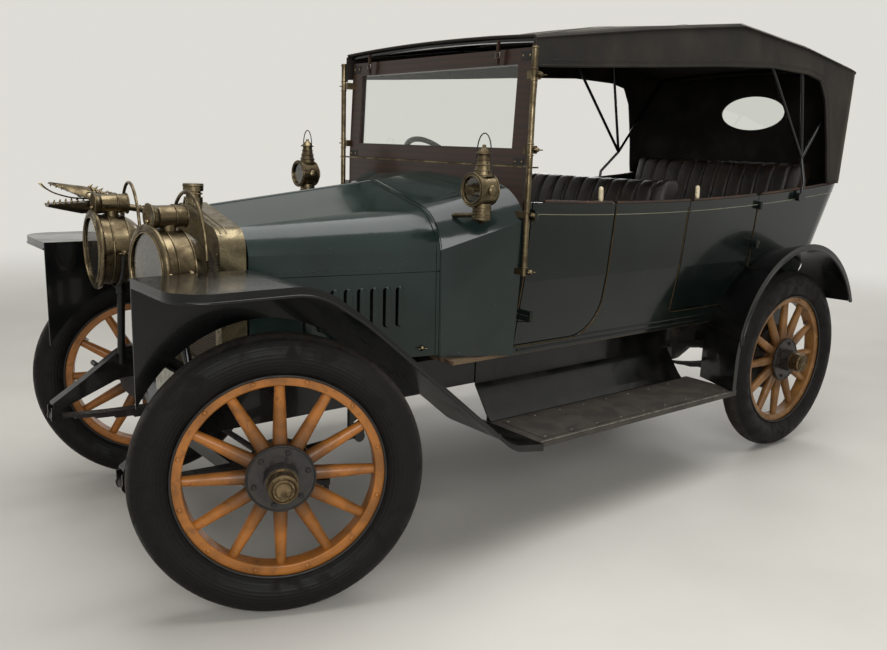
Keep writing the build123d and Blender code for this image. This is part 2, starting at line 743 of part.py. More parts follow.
gearbox_rear_x = CROSS_MEMBERS[2] + CROSS_MEMBER_WIDTH / 2
gearbox_front_x = CROSS_MEMBERS[1] - CROSS_MEMBER_WIDTH / 2
with BuildPart() as gearbox:
    with BuildSketch(Plane.YZ.offset(gearbox_rear_x)) as case:
        with Locations((0, GEARBOX_AXIS)):
            RectangleRounded(GEARBOX_WIDTH, GEARBOX_HEIGHT, 40)
    extrude(case.sketch, amount=gearbox_front_x - gearbox_rear_x)
save(gearbox.part, "gearbox")

# Rear axle: differential and axle tubes in one casing, with the torque tube forward to the gearbox
slope = atan2(GEARBOX_AXIS - TYRE_RADIUS, gearbox_rear_x - REAR_AXLE_X)
tube_front = (gearbox_rear_x - SEAT_GAP - TORQUE_TUBE_RADIUS * sin(slope), 0, GEARBOX_AXIS)
tube_rear = (
    REAR_AXLE_X + DIFFERENTIAL_RADIUS * 0.6 * cos(slope),
    0,
    TYRE_RADIUS + DIFFERENTIAL_RADIUS * 0.6 * sin(slope),
)
casing_end = TRACK / 2 + hub_inner_end - DRUM_FACE_GAP
with BuildPart() as rear_axle:
    with BuildSketch(Plane.XY.offset(TYRE_RADIUS)) as casing:
        with BuildLine():
            Polyline(
                (REAR_AXLE_X, 0),
                (REAR_AXLE_X + DIFFERENTIAL_RADIUS, 0),
                (REAR_AXLE_X + DIFFERENTIAL_RADIUS, DIFFERENTIAL_WIDTH / 2 - 30),
                (REAR_AXLE_X + REAR_TUBE_RADIUS + 14, DIFFERENTIAL_WIDTH / 2 + 60),
                (REAR_AXLE_X + REAR_TUBE_RADIUS, DIFFERENTIAL_WIDTH / 2 + 130),
                (REAR_AXLE_X + REAR_TUBE_RADIUS, casing_end),
                (REAR_AXLE_X + SPINDLE_RADIUS, casing_end),
                (REAR_AXLE_X + SPINDLE_RADIUS, TRACK / 2 + SPINDLE_END),
                (REAR_AXLE_X, TRACK / 2 + SPINDLE_END),
                close=True,
            )
        make_face()
    revolve(casing.sketch, axis=Axis((REAR_AXLE_X, 0, TYRE_RADIUS), (0, 1, 0)))
    mirror(about=Plane.XZ)
    pad_height = TYRE_RADIUS - REAR_SPRING_HEIGHT - LEAF_THICKNESS / 2 - SEAT_GAP - PAD_RELIEF
    with BuildSketch(Plane.XY.offset(TYRE_RADIUS - pad_height)) as pads:
        with Locations((REAR_AXLE_X, RAIL_Y), (REAR_AXLE_X, -RAIL_Y)):
            Rectangle(SPRING_PAD_LENGTH, SPRING_WIDTH + 8)
    extrude(pads.sketch, amount=pad_height)
    rod(tube_front, tube_rear, TORQUE_TUBE_RADIUS)
save(rear_axle.part, "rear_axle")

# Radiator: brass shell with a gabled top round a dark core, and its filler cap
with BuildSketch(Plane.YZ.offset(RADIATOR_REAR_X)) as shell_outline:
    with BuildLine():
        roof = Line((0, RADIATOR_RIDGE), (RADIATOR_HALF_WIDTH - 70, RADIATOR_RIDGE - 56))
        corner = ThreePointArc(
            roof @ 1,
            (RADIATOR_HALF_WIDTH - 14, RADIATOR_RIDGE - 86),
            (RADIATOR_HALF_WIDTH, RADIATOR_RIDGE - 136),
        )
        Polyline(corner @ 1, (RADIATOR_HALF_WIDTH, RAIL_TOP), (0, RAIL_TOP), roof @ 0)
    make_face()
    mirror(about=Plane.YZ)
with BuildSketch(Plane.YZ.offset(RADIATOR_REAR_X)) as core_outline:
    with BuildLine():
        roof = Line((0, RADIATOR_RIDGE - 92), (RADIATOR_HALF_WIDTH - 116, RADIATOR_RIDGE - 128))
        corner = ThreePointArc(
            roof @ 1,
            (RADIATOR_HALF_WIDTH - 56, RADIATOR_RIDGE - 156),
            (RADIATOR_HALF_WIDTH - RADIATOR_BORDER, RADIATOR_RIDGE - 200),
        )
        Polyline(
            corner @ 1,
            (RADIATOR_HALF_WIDTH - RADIATOR_BORDER, RAIL_TOP + RADIATOR_BORDER),
            (0, RAIL_TOP + RADIATOR_BORDER),
            roof @ 0,
        )
    make_face()
    mirror(about=Plane.YZ)

with BuildPart() as radiator_shell:
    extrude(shell_outline.sketch, amount=RADIATOR_DEPTH)
    extrude(core_outline.sketch, amount=RADIATOR_DEPTH, mode=Mode.SUBTRACT)
    neck = (RADIATOR_FRONT_X - RADIATOR_DEPTH / 2, 0, RADIATOR_RIDGE - 20)
    rod(neck, (neck[0], 0, RADIATOR_RIDGE + 18), 31)
save(radiator_shell.part, "radiator_shell")
core_face = offset(core_outline.sketch, amount=-SEAT_GAP).moved(Location((CORE_SET_IN, 0, 0)))
with BuildPart() as radiator_core:
    extrude(core_face, amount=RADIATOR_DEPTH - 2 * CORE_SET_IN)
save(radiator_core.part, "radiator_core")
with BuildPart() as radiator_cap:
    with BuildSketch(Plane.XY.offset(RADIATOR_RIDGE + 18 + SEAT_GAP)) as cap_base:
        with Locations((neck[0], 0)):
            Circle(25)
    extrude(amount=22)
    with BuildSketch(Plane.XY.offset(RADIATOR_RIDGE + 40)) as cap_top:
        with Locations((neck[0], 0)):
            Circle(34)
    extrude(cap_top.sketch, amount=24)
save(radiator_cap.part, "radiator_cap")

# Bonnet: four panels cut from one hollow loft between the radiator and the cowl
def hood_section(x, ridge, half_width, shoulder, foot_spread, foot):
    """Cross section with a sloping top, a round shoulder and almost upright sides down to foot."""
    shoulder_rise = half_width * 0.36
    top_end = (half_width - shoulder, ridge - shoulder_rise * 0.48)
    with BuildSketch(Plane.YZ.offset(x)) as section:
        with BuildLine():
            roof = Line((0, ridge), top_end)
            corner = ThreePointArc(
                roof @ 1,
                (half_width - shoulder * 0.22, ridge - shoulder_rise * 0.93),
                (half_width, ridge - shoulder_rise - shoulder * 0.5),
            )
            Polyline(corner @ 1, (half_width + foot_spread, foot), (0, foot), roof @ 0)
        make_face()
        mirror(about=Plane.YZ)
    return section.sketch


bonnet_front_x = RADIATOR_REAR_X - BONNET_FRONT_GAP
bonnet_back_x = BONNET_REAR_X + BONNET_REAR_GAP


hinge_rear_x = BONNET_REAR_X - 6
hinge_front_x = RADIATOR_REAR_X - SEAT_GAP


def ridge_hinge_height(x):
    """Height of the hinge along the bonnet's ridge."""
    slope = (BONNET_RIDGE_REAR - BONNET_RIDGE_FRONT) / (bonnet_front_x - bonnet_back_x)
    return BONNET_RIDGE_FRONT - BONNET_WALL / 2 + slope * (bonnet_front_x - x)


def bonnet_loft(inset, foot):
    front = hood_section(
        bonnet_front_x, BONNET_RIDGE_FRONT - inset, BONNET_HALF_WIDTH_FRONT - inset, 66, 0, foot
    )
    rear = hood_section(
        bonnet_back_x, BONNET_RIDGE_REAR - inset, BONNET_HALF_WIDTH_REAR - inset, 140, 10, foot
    )
    return loft([front, rear], ruled=True, mode=Mode.PRIVATE)


bonnet_outside = bonnet_loft(0, BONNET_BOTTOM - 20)
rear_bead = split(
    bonnet_loft(-BEAD_RISE, BONNET_BOTTOM - 20),
    bisect_by=Plane.YZ.offset(bonnet_back_x + BEAD_WIDTH),
    keep=Keep.BOTTOM,
)
with BuildPart() as bonnet:
    add(bonnet_outside)
    add(rear_bead)
    add(bonnet_loft(BONNET_WALL, BONNET_BOTTOM - 60), mode=Mode.SUBTRACT)
    split(bisect_by=Plane.XY.offset(BONNET_BOTTOM), keep=Keep.TOP)


def bonnet_half_width(x, height):
    """Half width of the bonnet at one place and height."""
    slice_above = split(bonnet_outside, bisect_by=Plane.XY.offset(height), keep=Keep.TOP)
    return section(slice_above, section_by=Plane.YZ.offset(x)).bounding_box().max.Y


def louvre_plane(index):
    """Plane on the left panel at one louvre's middle, X up and Y forward along the panel."""
    x = bonnet_back_x + LOUVRE_REAR_MARGIN + index * LOUVRE_PITCH
    z = BONNET_SPLIT_HEIGHT - LOUVRE_TOP_MARGIN - LOUVRE_LENGTH / 2
    y = bonnet_half_width(x, z)
    ahead = Vector(LOUVRE_PITCH, bonnet_half_width(x + LOUVRE_PITCH, z) - y, 0)
    return Plane(origin=(x, y, z), x_dir=(0, 0, 1), z_dir=Vector(-ahead.Y, ahead.X, 0))


flap_line = BONNET_SPLIT_HEIGHT
rod_rear = (bonnet_back_x + 1, bonnet_half_width(bonnet_back_x + 1, flap_line) - BONNET_WALL / 2, flap_line)
rod_front = (bonnet_front_x - 1, bonnet_half_width(bonnet_front_x - 1, flap_line) - BONNET_WALL / 2, flap_line)
louvre_planes = [louvre_plane(index) for index in range(LOUVRE_COUNT)]

with BuildPart() as bonnet_top_left:
    add(bonnet.part)
    split(bisect_by=Plane.XZ.offset(-RIDGE_GAP), keep=Keep.BOTTOM)
    split(bisect_by=Plane.XY.offset(flap_line + FLAP_ROD_RADIUS - 1), keep=Keep.TOP)
    rod(rod_rear, rod_front, FLAP_ROD_RADIUS)
with BuildPart() as bonnet_side_left:
    add(bonnet.part)
    split(bisect_by=Plane.XZ.offset(-RIDGE_GAP), keep=Keep.BOTTOM)
    split(bisect_by=Plane.XY.offset(flap_line - FLAP_ROD_RADIUS - SEAT_GAP), keep=Keep.BOTTOM)
    for skin in louvre_planes:
        with BuildSketch(skin.offset(-BONNET_WALL / 2)) as blister:
            SlotOverall(LOUVRE_LENGTH, LOUVRE_WIDTH)
        extrude(blister.sketch, amount=BONNET_WALL / 2 + LOUVRE_RISE, taper=LOUVRE_TAPER)
        with BuildSketch(skin.offset(-2 * BONNET_WALL)) as throat:
            with Locations((0, LOUVRE_MOUTH)):
                SlotOverall(LOUVRE_LENGTH - 4 * LOUVRE_SHEET, LOUVRE_WIDTH - 3 * LOUVRE_SHEET)
        extrude(throat.sketch, amount=2 * BONNET_WALL + LOUVRE_RISE - LOUVRE_SHEET, mode=Mode.SUBTRACT)
for name, piece in (("bonnet_top", bonnet_top_left.part), ("bonnet_side", bonnet_side_left.part)):
    save(piece, f"{name}_left")
    save(piece.mirror(Plane.XZ), f"{name}_right")

# Cowl: flares from the bonnet's rear profile to the windscreen, closed in front by the firewall
def cowl_front_section(x, inset):
    return hood_section(
        x, BONNET_RIDGE_REAR - inset, BONNET_HALF_WIDTH_REAR - inset, 140, 10, BONNET_BOTTOM - 20
    )


def cowl_rear_section(x, inset):
    wide = BELT_HALF_WIDTH - COWL_STEP - inset
    with BuildSketch(Plane.YZ.offset(x)) as section:
        with BuildLine():
            roof = Line((0, COWL_TOP - inset), (wide - 250, COWL_TOP - 26 - inset))
            corner = ThreePointArc(
                roof @ 1, (wide - 60, COWL_TOP - 72 - inset), (wide, COWL_TOP - 150 - inset)
            )
            Polyline(corner @ 1, (SILL_HALF_WIDTH + 18 - inset, BODY_BOTTOM), (0, BODY_BOTTOM), roof @ 0)
        make_face()
        mirror(about=Plane.YZ)
    return section.sketch


def cowl_loft(inset):
    return loft(
        [cowl_front_section(BONNET_REAR_X, inset), cowl_rear_section(COWL_REAR_X, inset)],
        ruled=True,
        mode=Mode.PRIVATE,
    )


column_foot = (
    STEERING_WHEEL_X + COLUMN_LENGTH * cos(radians(COLUMN_ANGLE)),
    STEERING_WHEEL_Y,
    STEERING_WHEEL_HEIGHT - COLUMN_LENGTH * sin(radians(COLUMN_ANGLE)),
)
column_head = (STEERING_WHEEL_X, STEERING_WHEEL_Y, STEERING_WHEEL_HEIGHT)
column_line = Vector(*column_head) - Vector(*column_foot)
with BuildPart() as cowl:
    add(cowl_loft(0))
    extrude(cowl_front_section(BONNET_REAR_X - BEAD_WIDTH, -BEAD_RISE), amount=BEAD_WIDTH - 2)
    add(cowl_loft(COWL_WALL), mode=Mode.SUBTRACT)
    firewall_x = BONNET_REAR_X - FIREWALL_THICKNESS
    extrude(cowl_front_section(firewall_x, COWL_WALL - 4), amount=FIREWALL_THICKNESS)
    split(bisect_by=Plane.XY.offset(BODY_BOTTOM + 6), keep=Keep.TOP)
    with BuildSketch(Plane(origin=column_foot, z_dir=column_line)) as column_hole:
        Circle(COLUMN_RADIUS + COLUMN_HOLE_GAP)
    extrude(column_hole.sketch, amount=COLUMN_LENGTH * 0.6, mode=Mode.SUBTRACT)
    rod(
        (hinge_rear_x, 0, ridge_hinge_height(hinge_rear_x)),
        (hinge_front_x, 0, ridge_hinge_height(hinge_front_x)),
        RIDGE_GAP - SEAT_GAP,
    )
save(cowl.part, "cowl")

# Body tub: lofted wall, wider at the belt than at the sill, with rounded rear corners
# height, half width, distance of the back panel behind the front axle
TUB_LEVELS = (
    (BODY_BOTTOM, SILL_HALF_WIDTH, SILL_REAR),
    (WAIST_HEIGHT, WAIST_HALF_WIDTH, WAIST_REAR),
    (BODY_TOP_HEIGHT, BELT_HALF_WIDTH, BELT_REAR),
)
body_front_x = COWL_REAR_X - SEAT_GAP


def tub_loft(inset, reach_forward):
    sections = []
    for height, half_width, rear in TUB_LEVELS:
        front_x = body_front_x + reach_forward
        rear_x = behind(rear) + inset
        with BuildSketch(Plane.XY.offset(height)) as level:
            with Locations(((front_x + rear_x) / 2, 0)):
                Rectangle(front_x - rear_x, 2 * (half_width - inset))
            fillet(level.vertices().group_by(Axis.X)[0], REAR_CORNER_RADIUS - inset)
        sections.append(level.sketch)
    return loft(sections, ruled=True, mode=Mode.PRIVATE)


tub_outer = tub_loft(0, 0)
tub_inner = tub_loft(BODY_WALL, 50)


def below_belt(raise_by):
    """Region under the curved belt line, seen from the side, its top lifted by raise_by."""
    with BuildSketch(Plane.XZ) as region:
        with BuildLine():
            belt = ThreePointArc(
                (body_front_x + 60, BELT_HEIGHT_FRONT + 2 + raise_by),
                (REAR_AXLE_X + 800, BELT_HEIGHT + raise_by),
                (behind(BELT_REAR) - 60, BELT_HEIGHT_REAR + raise_by),
            )
            Polyline(belt @ 1, (behind(BELT_REAR) - 60, 0), (body_front_x + 60, 0), belt @ 0)
        make_face()
    return region.sketch


with BuildPart() as tub:
    add(tub_outer)
    add(tub_inner, mode=Mode.SUBTRACT)
    extrude(below_belt(0), amount=side_reach, both=True, mode=Mode.INTERSECT)
    with BuildSketch(Plane.XZ) as tail_rise:
        with BuildLine():
            Polyline(
                (REAR_AXLE_X - TAIL_RISE_START, BODY_BOTTOM - 50),
                (REAR_AXLE_X - TAIL_RISE_START - 110, TAIL_BOTTOM),
                (behind(BELT_REAR) - 60, TAIL_BOTTOM),
                (behind(BELT_REAR) - 60, BODY_BOTTOM - 50),
                close=True,
            )
        make_face()
    extrude(tail_rise.sketch, amount=1000, both=True, mode=Mode.SUBTRACT)

# Door outlines seen from the side
def front_door_outline(grow):
    front_x = behind(FRONT_DOOR_FRONT) + grow
    rear_x = behind(FRONT_DOOR_REAR) - grow
    bottom = FRONT_DOOR_BOTTOM - grow
    with BuildSketch(Plane.XZ) as shape:
        with Locations(((front_x + rear_x) / 2, (bottom + BODY_TOP_HEIGHT + 100) / 2)):
            Rectangle(front_x - rear_x, BODY_TOP_HEIGHT + 100 - bottom)
        rear_corner = shape.vertices().group_by(Axis.X)[0].group_by(Axis.Y)[0]
        fillet(rear_corner, FRONT_DOOR_CORNER_RADIUS + grow)
    return shape.sketch


def rear_door_outline(grow):
    front_x = behind(REAR_DOOR_FRONT) + grow
    rear_x = behind(REAR_DOOR_REAR) - grow
    bottom = REAR_DOOR_BOTTOM - grow
    with BuildSketch(Plane.XZ) as shape:
        with BuildLine():
            Polyline(
                (front_x, BODY_TOP_HEIGHT + 100),
                (front_x, bottom),
                (behind(2180), bottom),
                (behind(2297), 822 - grow),
                (behind(2415), 916 - grow),
                (rear_x, 948 - grow),
                (rear_x, BODY_TOP_HEIGHT + 100),
                close=True,
            )
        make_face()
    return shape.sketch


def body_half_width(height):
    """Half width of the body's outside at a height, away from its corners."""
    for (low, low_half, _), (high, high_half, _) in zip(TUB_LEVELS, TUB_LEVELS[1:]):
        if low <= height <= high:
            return low_half + (high_half - low_half) * (height - low) / (high - low)


def hinge_leaf(axis_x, axis_y, height, toward, bottom, top):
    """Knuckle and strap of a door hinge, added to the part in hand; toward is the strap's side in X."""
    surface = body_half_width(height) - 4
    side = 1 if axis_y > 0 else -1
    with BuildSketch(Plane.XY.offset(height + bottom)) as leaf:
        with Locations((axis_x, axis_y)):
            Circle(HINGE_RADIUS)
        with Locations((axis_x + toward * 6, side * (surface + abs(axis_y)) / 2)):
            Rectangle(8, abs(axis_y) - surface)
    extrude(leaf.sketch, amount=top - bottom)


def hinge_pin(axis_x, axis_y, height, radius, mode):
    with BuildSketch(Plane.XY.offset(height - HINGE_HALF_HEIGHT)) as pin:
        with Locations((axis_x, axis_y)):
            Circle(radius)
    extrude(pin.sketch, amount=2 * HINGE_HALF_HEIGHT, mode=mode)


# hinge axis in X and Y, side of the door along X, heights
DOOR_HINGES = (
    (behind(FRONT_DOOR_FRONT) + HINGE_SET_OFF, FRONT_HINGE_Y, -1, FRONT_HINGE_HEIGHTS),
    (behind(REAR_DOOR_REAR) - HINGE_SET_OFF, REAR_HINGE_Y, 1, REAR_HINGE_HEIGHTS),
    (behind(REAR_DOOR_REAR) - HINGE_SET_OFF, -REAR_HINGE_Y, 1, REAR_HINGE_HEIGHTS),
)


def hang_door(axis_x, axis_y, toward, heights):
    """Door's halves of its hinges, added to the door in hand."""
    for height in heights:
        hinge_leaf(axis_x, axis_y, height, toward, SEAT_GAP, HINGE_HALF_HEIGHT)
        hinge_pin(axis_x, axis_y, height, HINGE_PIN_RADIUS + RUNNING_GAP, Mode.SUBTRACT)


with BuildPart() as body_shell:
    add(tub.part)
    extrude(front_door_outline(DOOR_GAP), amount=-side_reach, mode=Mode.SUBTRACT)
    extrude(rear_door_outline(DOOR_GAP), amount=side_reach, both=True, mode=Mode.SUBTRACT)
    for axis_x, axis_y, toward, heights in DOOR_HINGES:
        for height in heights:
            hinge_leaf(axis_x, axis_y, height, -toward, -HINGE_HALF_HEIGHT, 0)
            hinge_pin(axis_x, axis_y, height, HINGE_PIN_RADIUS, Mode.ADD)
save(body_shell.part, "body_shell")

with BuildPart() as front_door:
    extrude(front_door_outline(0), amount=-side_reach)
    add(tub.part, mode=Mode.INTERSECT)
    hang_door(*DOOR_HINGES[0])
save(front_door.part, "front_door_left")
with BuildPart() as rear_door:
    extrude(rear_door_outline(0), amount=-side_reach)
    add(tub.part, mode=Mode.INTERSECT)
    hang_door(*DOOR_HINGES[1])
save(rear_door.part, "rear_door_left")
save(rear_door.part.mirror(Plane.XZ), "rear_door_right")

# Floor on the rails, with the boxes under both seats
with BuildPart() as floor:
    with BuildSketch(Plane.XY.offset(RAIL_TOP + SEAT_GAP)) as boards:
        floor_front = BONNET_REAR_X - FIREWALL_THICKNESS - SEAT_GAP
        with Locations(((floor_front + behind(SILL_REAR) + 60) / 2, 0)):
            Rectangle(floor_front - behind(SILL_REAR) - 60, 2 * (SILL_HALF_WIDTH - BODY_WALL - 8))
    extrude(boards.sketch, amount=FLOOR_THICKNESS)
    for box_front, box_rear, box_top in ((1560, 1880, 900), (2480, 2980, 890)):
        box_middle = ((behind(box_front) + behind(box_rear)) / 2, 0)
        box_half = SILL_HALF_WIDTH - BODY_WALL - 8
        with BuildSketch(Plane.XY.offset(RAIL_TOP + SEAT_GAP)) as seat_box:
            with Locations(box_middle):
                Rectangle(box_rear - box_front, 2 * box_half)
        extrude(seat_box.sketch, amount=box_top - RAIL_TOP)
        with BuildSketch(Plane.XY.offset(RAIL_TOP + SEAT_GAP + FLOOR_THICKNESS)) as locker:
            with Locations(box_middle):
                Rectangle(box_rear - box_front - 2 * BOX_BOARD, 2 * (box_half - BOX_BOARD))
        extrude(locker.sketch, amount=box_top - RAIL_TOP - FLOOR_THICKNESS - BOX_BOARD, mode=Mode.SUBTRACT)
save(floor.part, "floor")

# Seats: a cushion on its box and a raked back
# name, cushion front, cushion rear, cushion bottom, cushion top, back foot, back top, back lean
SEATS = (
    ("front_seat", 1540, 1900, 900.6, 1010, 1790, 1320, 110),
    ("rear_seat", 2470, 2960, 890.6, 1000, 2850, 1410, 150),
)
for name, front, rear, bottom, top, back_foot, back_top, lean in SEATS:
    with BuildPart() as cushion:
        with BuildSketch(Plane.XY.offset(bottom)):
            with Locations(((behind(front) + behind(back_foot)) / 2, 0)):
                Rectangle(back_foot - front - 4, 2 * (SEAT_HALF_WIDTH - 10))
        extrude(amount=top - bottom)
        fillet(cushion.edges().filter_by(Axis.Y).group_by(Axis.Z)[-1], 30)
    save(cushion.part, f"{name}_cushion")
    with BuildPart() as back:
        with BuildSketch(Plane.XZ):
            with BuildLine():
                Polyline(
                    (behind(back_foot), bottom),
                    (behind(back_foot + lean), back_top),
                    (behind(back_foot + lean + BACK_THICKNESS), back_top),
                    (behind(back_foot + BACK_THICKNESS), bottom),
                    close=True,
                )
            make_face()
        extrude(amount=SEAT_HALF_WIDTH, both=True)
        fillet(back.edges().filter_by(Axis.Y).group_by(Axis.Z)[-1], 40)
    save(back.part, f"{name}_back")

# Front fenders: sheet that runs back and down to the running board, with a turned-down outer edge
fender_front_x = FRONT_AXLE_X + FRONT_FENDER_REACH
board_front_x = behind(BOARD_FRONT)
board_rear_x = REAR_AXLE_X + BOARD_REAR


def front_fender_outline(drop):
    """Region below the fender's top line, seen from the side, its top lowered by drop."""
    with BuildSketch(Plane.XZ) as shape:
        with BuildLine():
            top = FilletPolyline(
                (fender_front_x, FRONT_FENDER_TOP - drop),
                (behind(20), FRONT_FENDER_TOP - drop),
                (behind(170) - drop * 0.3, 930 - drop),
                (behind(790) - drop * 0.5, BOARD_TOP + 24 - drop),
                (board_front_x, BOARD_TOP - drop),
                radius=[260, 260, 150],
            )
            Polyline(top @ 1, (board_front_x, 200), (fender_front_x, 200), top @ 0)
        make_face()
    return shape.sketch


def front_fender_block(inset, drop):
    """Solid below the top line, its plan drawn in by inset."""
    front_x = fender_front_x - inset
    inner_y = FENDER_INNER_Y + inset
    outer_y = FENDER_OUTER_Y - inset
    with BuildPart() as block:
        with BuildSketch(Plane.XY) as plan:
            with Locations(((front_x + board_front_x) / 2, (inner_y + outer_y) / 2)):
                Rectangle(front_x - board_front_x, outer_y - inner_y)
            fillet(plan.vertices().group_by(Axis.X)[-1].sort_by(Axis.Y)[-1], FENDER_CORNER_RADIUS - inset)
        extrude(amount=1200)
        extrude(front_fender_outline(drop), amount=-side_reach, mode=Mode.INTERSECT)
    return block.part


with BuildPart() as under_flange:
    extrude(front_fender_outline(FENDER_FLANGE), amount=-side_reach)
    with BuildSketch(Plane.XZ) as valance_side:
        with Locations(((fender_front_x + board_front_x) / 2, 600)):
            Rectangle(4000, 1400)
    extrude(valance_side.sketch, amount=-(FENDER_INNER_Y + FENDER_SHEET), mode=Mode.SUBTRACT)
with BuildPart() as front_fender:
    add(front_fender_block(0, 0))
    add(front_fender_block(FENDER_SHEET, FENDER_SHEET), mode=Mode.SUBTRACT)
    add(under_flange.part, mode=Mode.SUBTRACT)
    with BuildSketch(Plane.XZ) as wheel_arch:
        with Locations((FRONT_AXLE_X, TYRE_RADIUS)):
            Circle(VALANCE_ARCH_RADIUS)
        with Locations((FRONT_AXLE_X - 200, VALANCE_BOTTOM - 500)):
            Rectangle(3000, 1000)
    extrude(wheel_arch.sketch, amount=-(FENDER_INNER_Y + FENDER_SHEET + 1), mode=Mode.SUBTRACT)
save(Compound([front_fender.part, front_fender.part.mirror(Plane.XZ)]), "front_fenders")

# Rear fenders: arched sheet, its inner edge lower than the outer one, let in against the body


def rear_fender_outline(y, centre_shift, radius, inset, foot):
    """Region below the arch, seen from the side."""
    centre = (REAR_AXLE_X + FENDER_LEAD - centre_shift, TYRE_RADIUS + FENDER_LIFT)
    reach = radius - inset
    tail_angle = radians(FENDER_TAIL_ANGLE)
    with BuildSketch(Plane.XZ.offset(-y)) as shape:
        with BuildLine():
            front = Line((centre[0] + reach, foot), (centre[0] + reach, centre[1]))
            arch = ThreePointArc(
                front @ 1,
                (centre[0], centre[1] + reach),
                (centre[0] - reach * cos(tail_angle), centre[1] + reach * sin(tail_angle)),
            )
            Polyline(arch @ 1, (centre[0] - reach * cos(tail_angle), foot), front @ 0)
        make_face()
    return shape.sketch


def rear_fender_block(inset, foot):
    outer = rear_fender_outline(REAR_FENDER_OUTER_Y - inset, 0, REAR_FENDER_RADIUS, inset, foot)
    inner = rear_fender_outline(
        REAR_FENDER_INNER_Y, FENDER_INNER_SHIFT, REAR_FENDER_RADIUS - FENDER_INNER_DROP, inset, foot
    )
    return loft([inner, outer], ruled=True, mode=Mode.PRIVATE)


tail_height = TYRE_RADIUS + FENDER_LIFT + REAR_FENDER_RADIUS * sin(radians(FENDER_TAIL_ANGLE))
with BuildPart() as rear_fender:
    add(rear_fender_block(0, BOARD_TOP + SEAT_GAP))
    add(rear_fender_block(FENDER_SHEET, BOARD_TOP - 20), mode=Mode.SUBTRACT)
    flange_cut = rear_fender_outline(
        REAR_FENDER_OUTER_Y - FENDER_SHEET - 1, 0, REAR_FENDER_RADIUS, FENDER_FLANGE, BOARD_TOP - 40
    )
    extrude(flange_cut, amount=-2 * FENDER_SHEET, mode=Mode.SUBTRACT)
    with BuildSketch(Plane.XZ) as below_tail:
        with Locations((REAR_AXLE_X - 500, tail_height / 2 - 50)):
            Rectangle(700, tail_height + 96)
    extrude(below_tail.sketch, amount=-1000, mode=Mode.SUBTRACT)
    add(tub_loft(-SEAT_GAP, 0), mode=Mode.SUBTRACT)
largest = rear_fender.part.solids().sort_by(SortBy.VOLUME)[-1]
save(Compound([largest, largest.mirror(Plane.XZ)]), "rear_fenders")

# Running boards, each with a raised cover clear of its fenders, and the splash aprons up to the rails
cover_front_x = board_front_x - COVER_FRONT_MARGIN
cover_rear_x = board_rear_x + COVER_REAR_MARGIN
cover_x = (cover_front_x + cover_rear_x) / 2
cover_length = cover_front_x - cover_rear_x
cover_y = BOARD_OUTER_Y - COVER_RIM - COVER_WIDTH / 2
with BuildPart() as board:
    with BuildSketch(Plane.XY.offset(BOARD_TOP - BOARD_THICKNESS)) as tread:
        with Locations(((board_front_x + board_rear_x) / 2, (BOARD_INNER_Y + BOARD_OUTER_Y) / 2)):
            Rectangle(board_front_x - board_rear_x - 2 * SEAT_GAP, BOARD_OUTER_Y - BOARD_INNER_Y)
    extrude(tread.sketch, amount=BOARD_THICKNESS)
    with BuildSketch(Plane.XY.offset(BOARD_TOP)) as cover:
        with Locations((cover_x, cover_y)):
            Rectangle(cover_length, COVER_WIDTH)
    extrude(cover.sketch, amount=COVER_THICKNESS)
save(Compound([board.part, board.part.mirror(Plane.XZ)]), "running_boards")

apron_rear_x = REAR_AXLE_X + REAR_SPRING_AHEAD + SPRING_EYE_RADIUS + 6
with BuildPart() as apron:
    with BuildSketch(Plane.YZ.offset(apron_rear_x)) as apron_section:
        with BuildLine():
            Polyline(
                (BOARD_INNER_Y + 10, BOARD_TOP + SEAT_GAP),
                (BOARD_INNER_Y + 10, BOARD_TOP + 4),
                (BOARD_INNER_Y - 10, BOARD_TOP + 24),
                (RAIL_OUTER_Y + 4 + SEAT_GAP, RAIL_BOTTOM - 4),
                (RAIL_OUTER_Y + 4 + SEAT_GAP, RAIL_TOP - 4),
                (RAIL_OUTER_Y + SEAT_GAP, RAIL_TOP - 4),
                (RAIL_OUTER_Y + SEAT_GAP, RAIL_BOTTOM - 8),
                (BOARD_INNER_Y - 14, BOARD_TOP + 20),
                (BOARD_INNER_Y - 14, BOARD_TOP + SEAT_GAP),
                close=True,
            )
        make_face()
    extrude(apron_section.sketch, amount=board_front_x - apron_rear_x - SEAT_GAP)
save(Compound([apron.part, apron.part.mirror(Plane.XZ)]), "splash_aprons")

# Irons under the rails that carry the running boards, and stays out to the fenders
board_underside = BOARD_TOP - BOARD_THICKNESS
with BuildPart() as irons:
    for iron_x in (board_front_x - 120, (board_front_x + board_rear_x) / 2, board_rear_x + 150):
        with BuildSketch(Plane.YZ.offset(iron_x - IRON_WIDTH / 2)) as iron:
            with BuildLine():
                Polyline(
                    (RAIL_Y, RAIL_BOTTOM - SEAT_GAP),
                    (RAIL_Y + IRON_THICKNESS, RAIL_BOTTOM - SEAT_GAP),
                    (RAIL_Y + IRON_THICKNESS, board_underside - SEAT_GAP),
                    (BOARD_OUTER_Y - IRON_WIDTH, board_underside - SEAT_GAP),
                    (BOARD_OUTER_Y - IRON_WIDTH, board_underside - SEAT_GAP - IRON_THICKNESS),
                    (RAIL_Y, board_underside - SEAT_GAP - IRON_THICKNESS),
                    close=True,
                )
            make_face()
        extrude(iron.sketch, amount=IRON_WIDTH)
    for iron_x, iron_z in FENDER_STAYS:
        rod(
            (FRONT_AXLE_X + iron_x, RAIL_OUTER_Y + SEAT_GAP, iron_z),
            (FRONT_AXLE_X + iron_x, FENDER_INNER_Y - SEAT_GAP, iron_z),
            FENDER_STAY_RADIUS,
        )
    mirror(about=Plane.XZ)
save(Compound(members.part.solids() + irons.part.solids()), "frame_members")

# Headlamps: deep brass drum with a domed back, a rolled rim and a hooded chimney on top


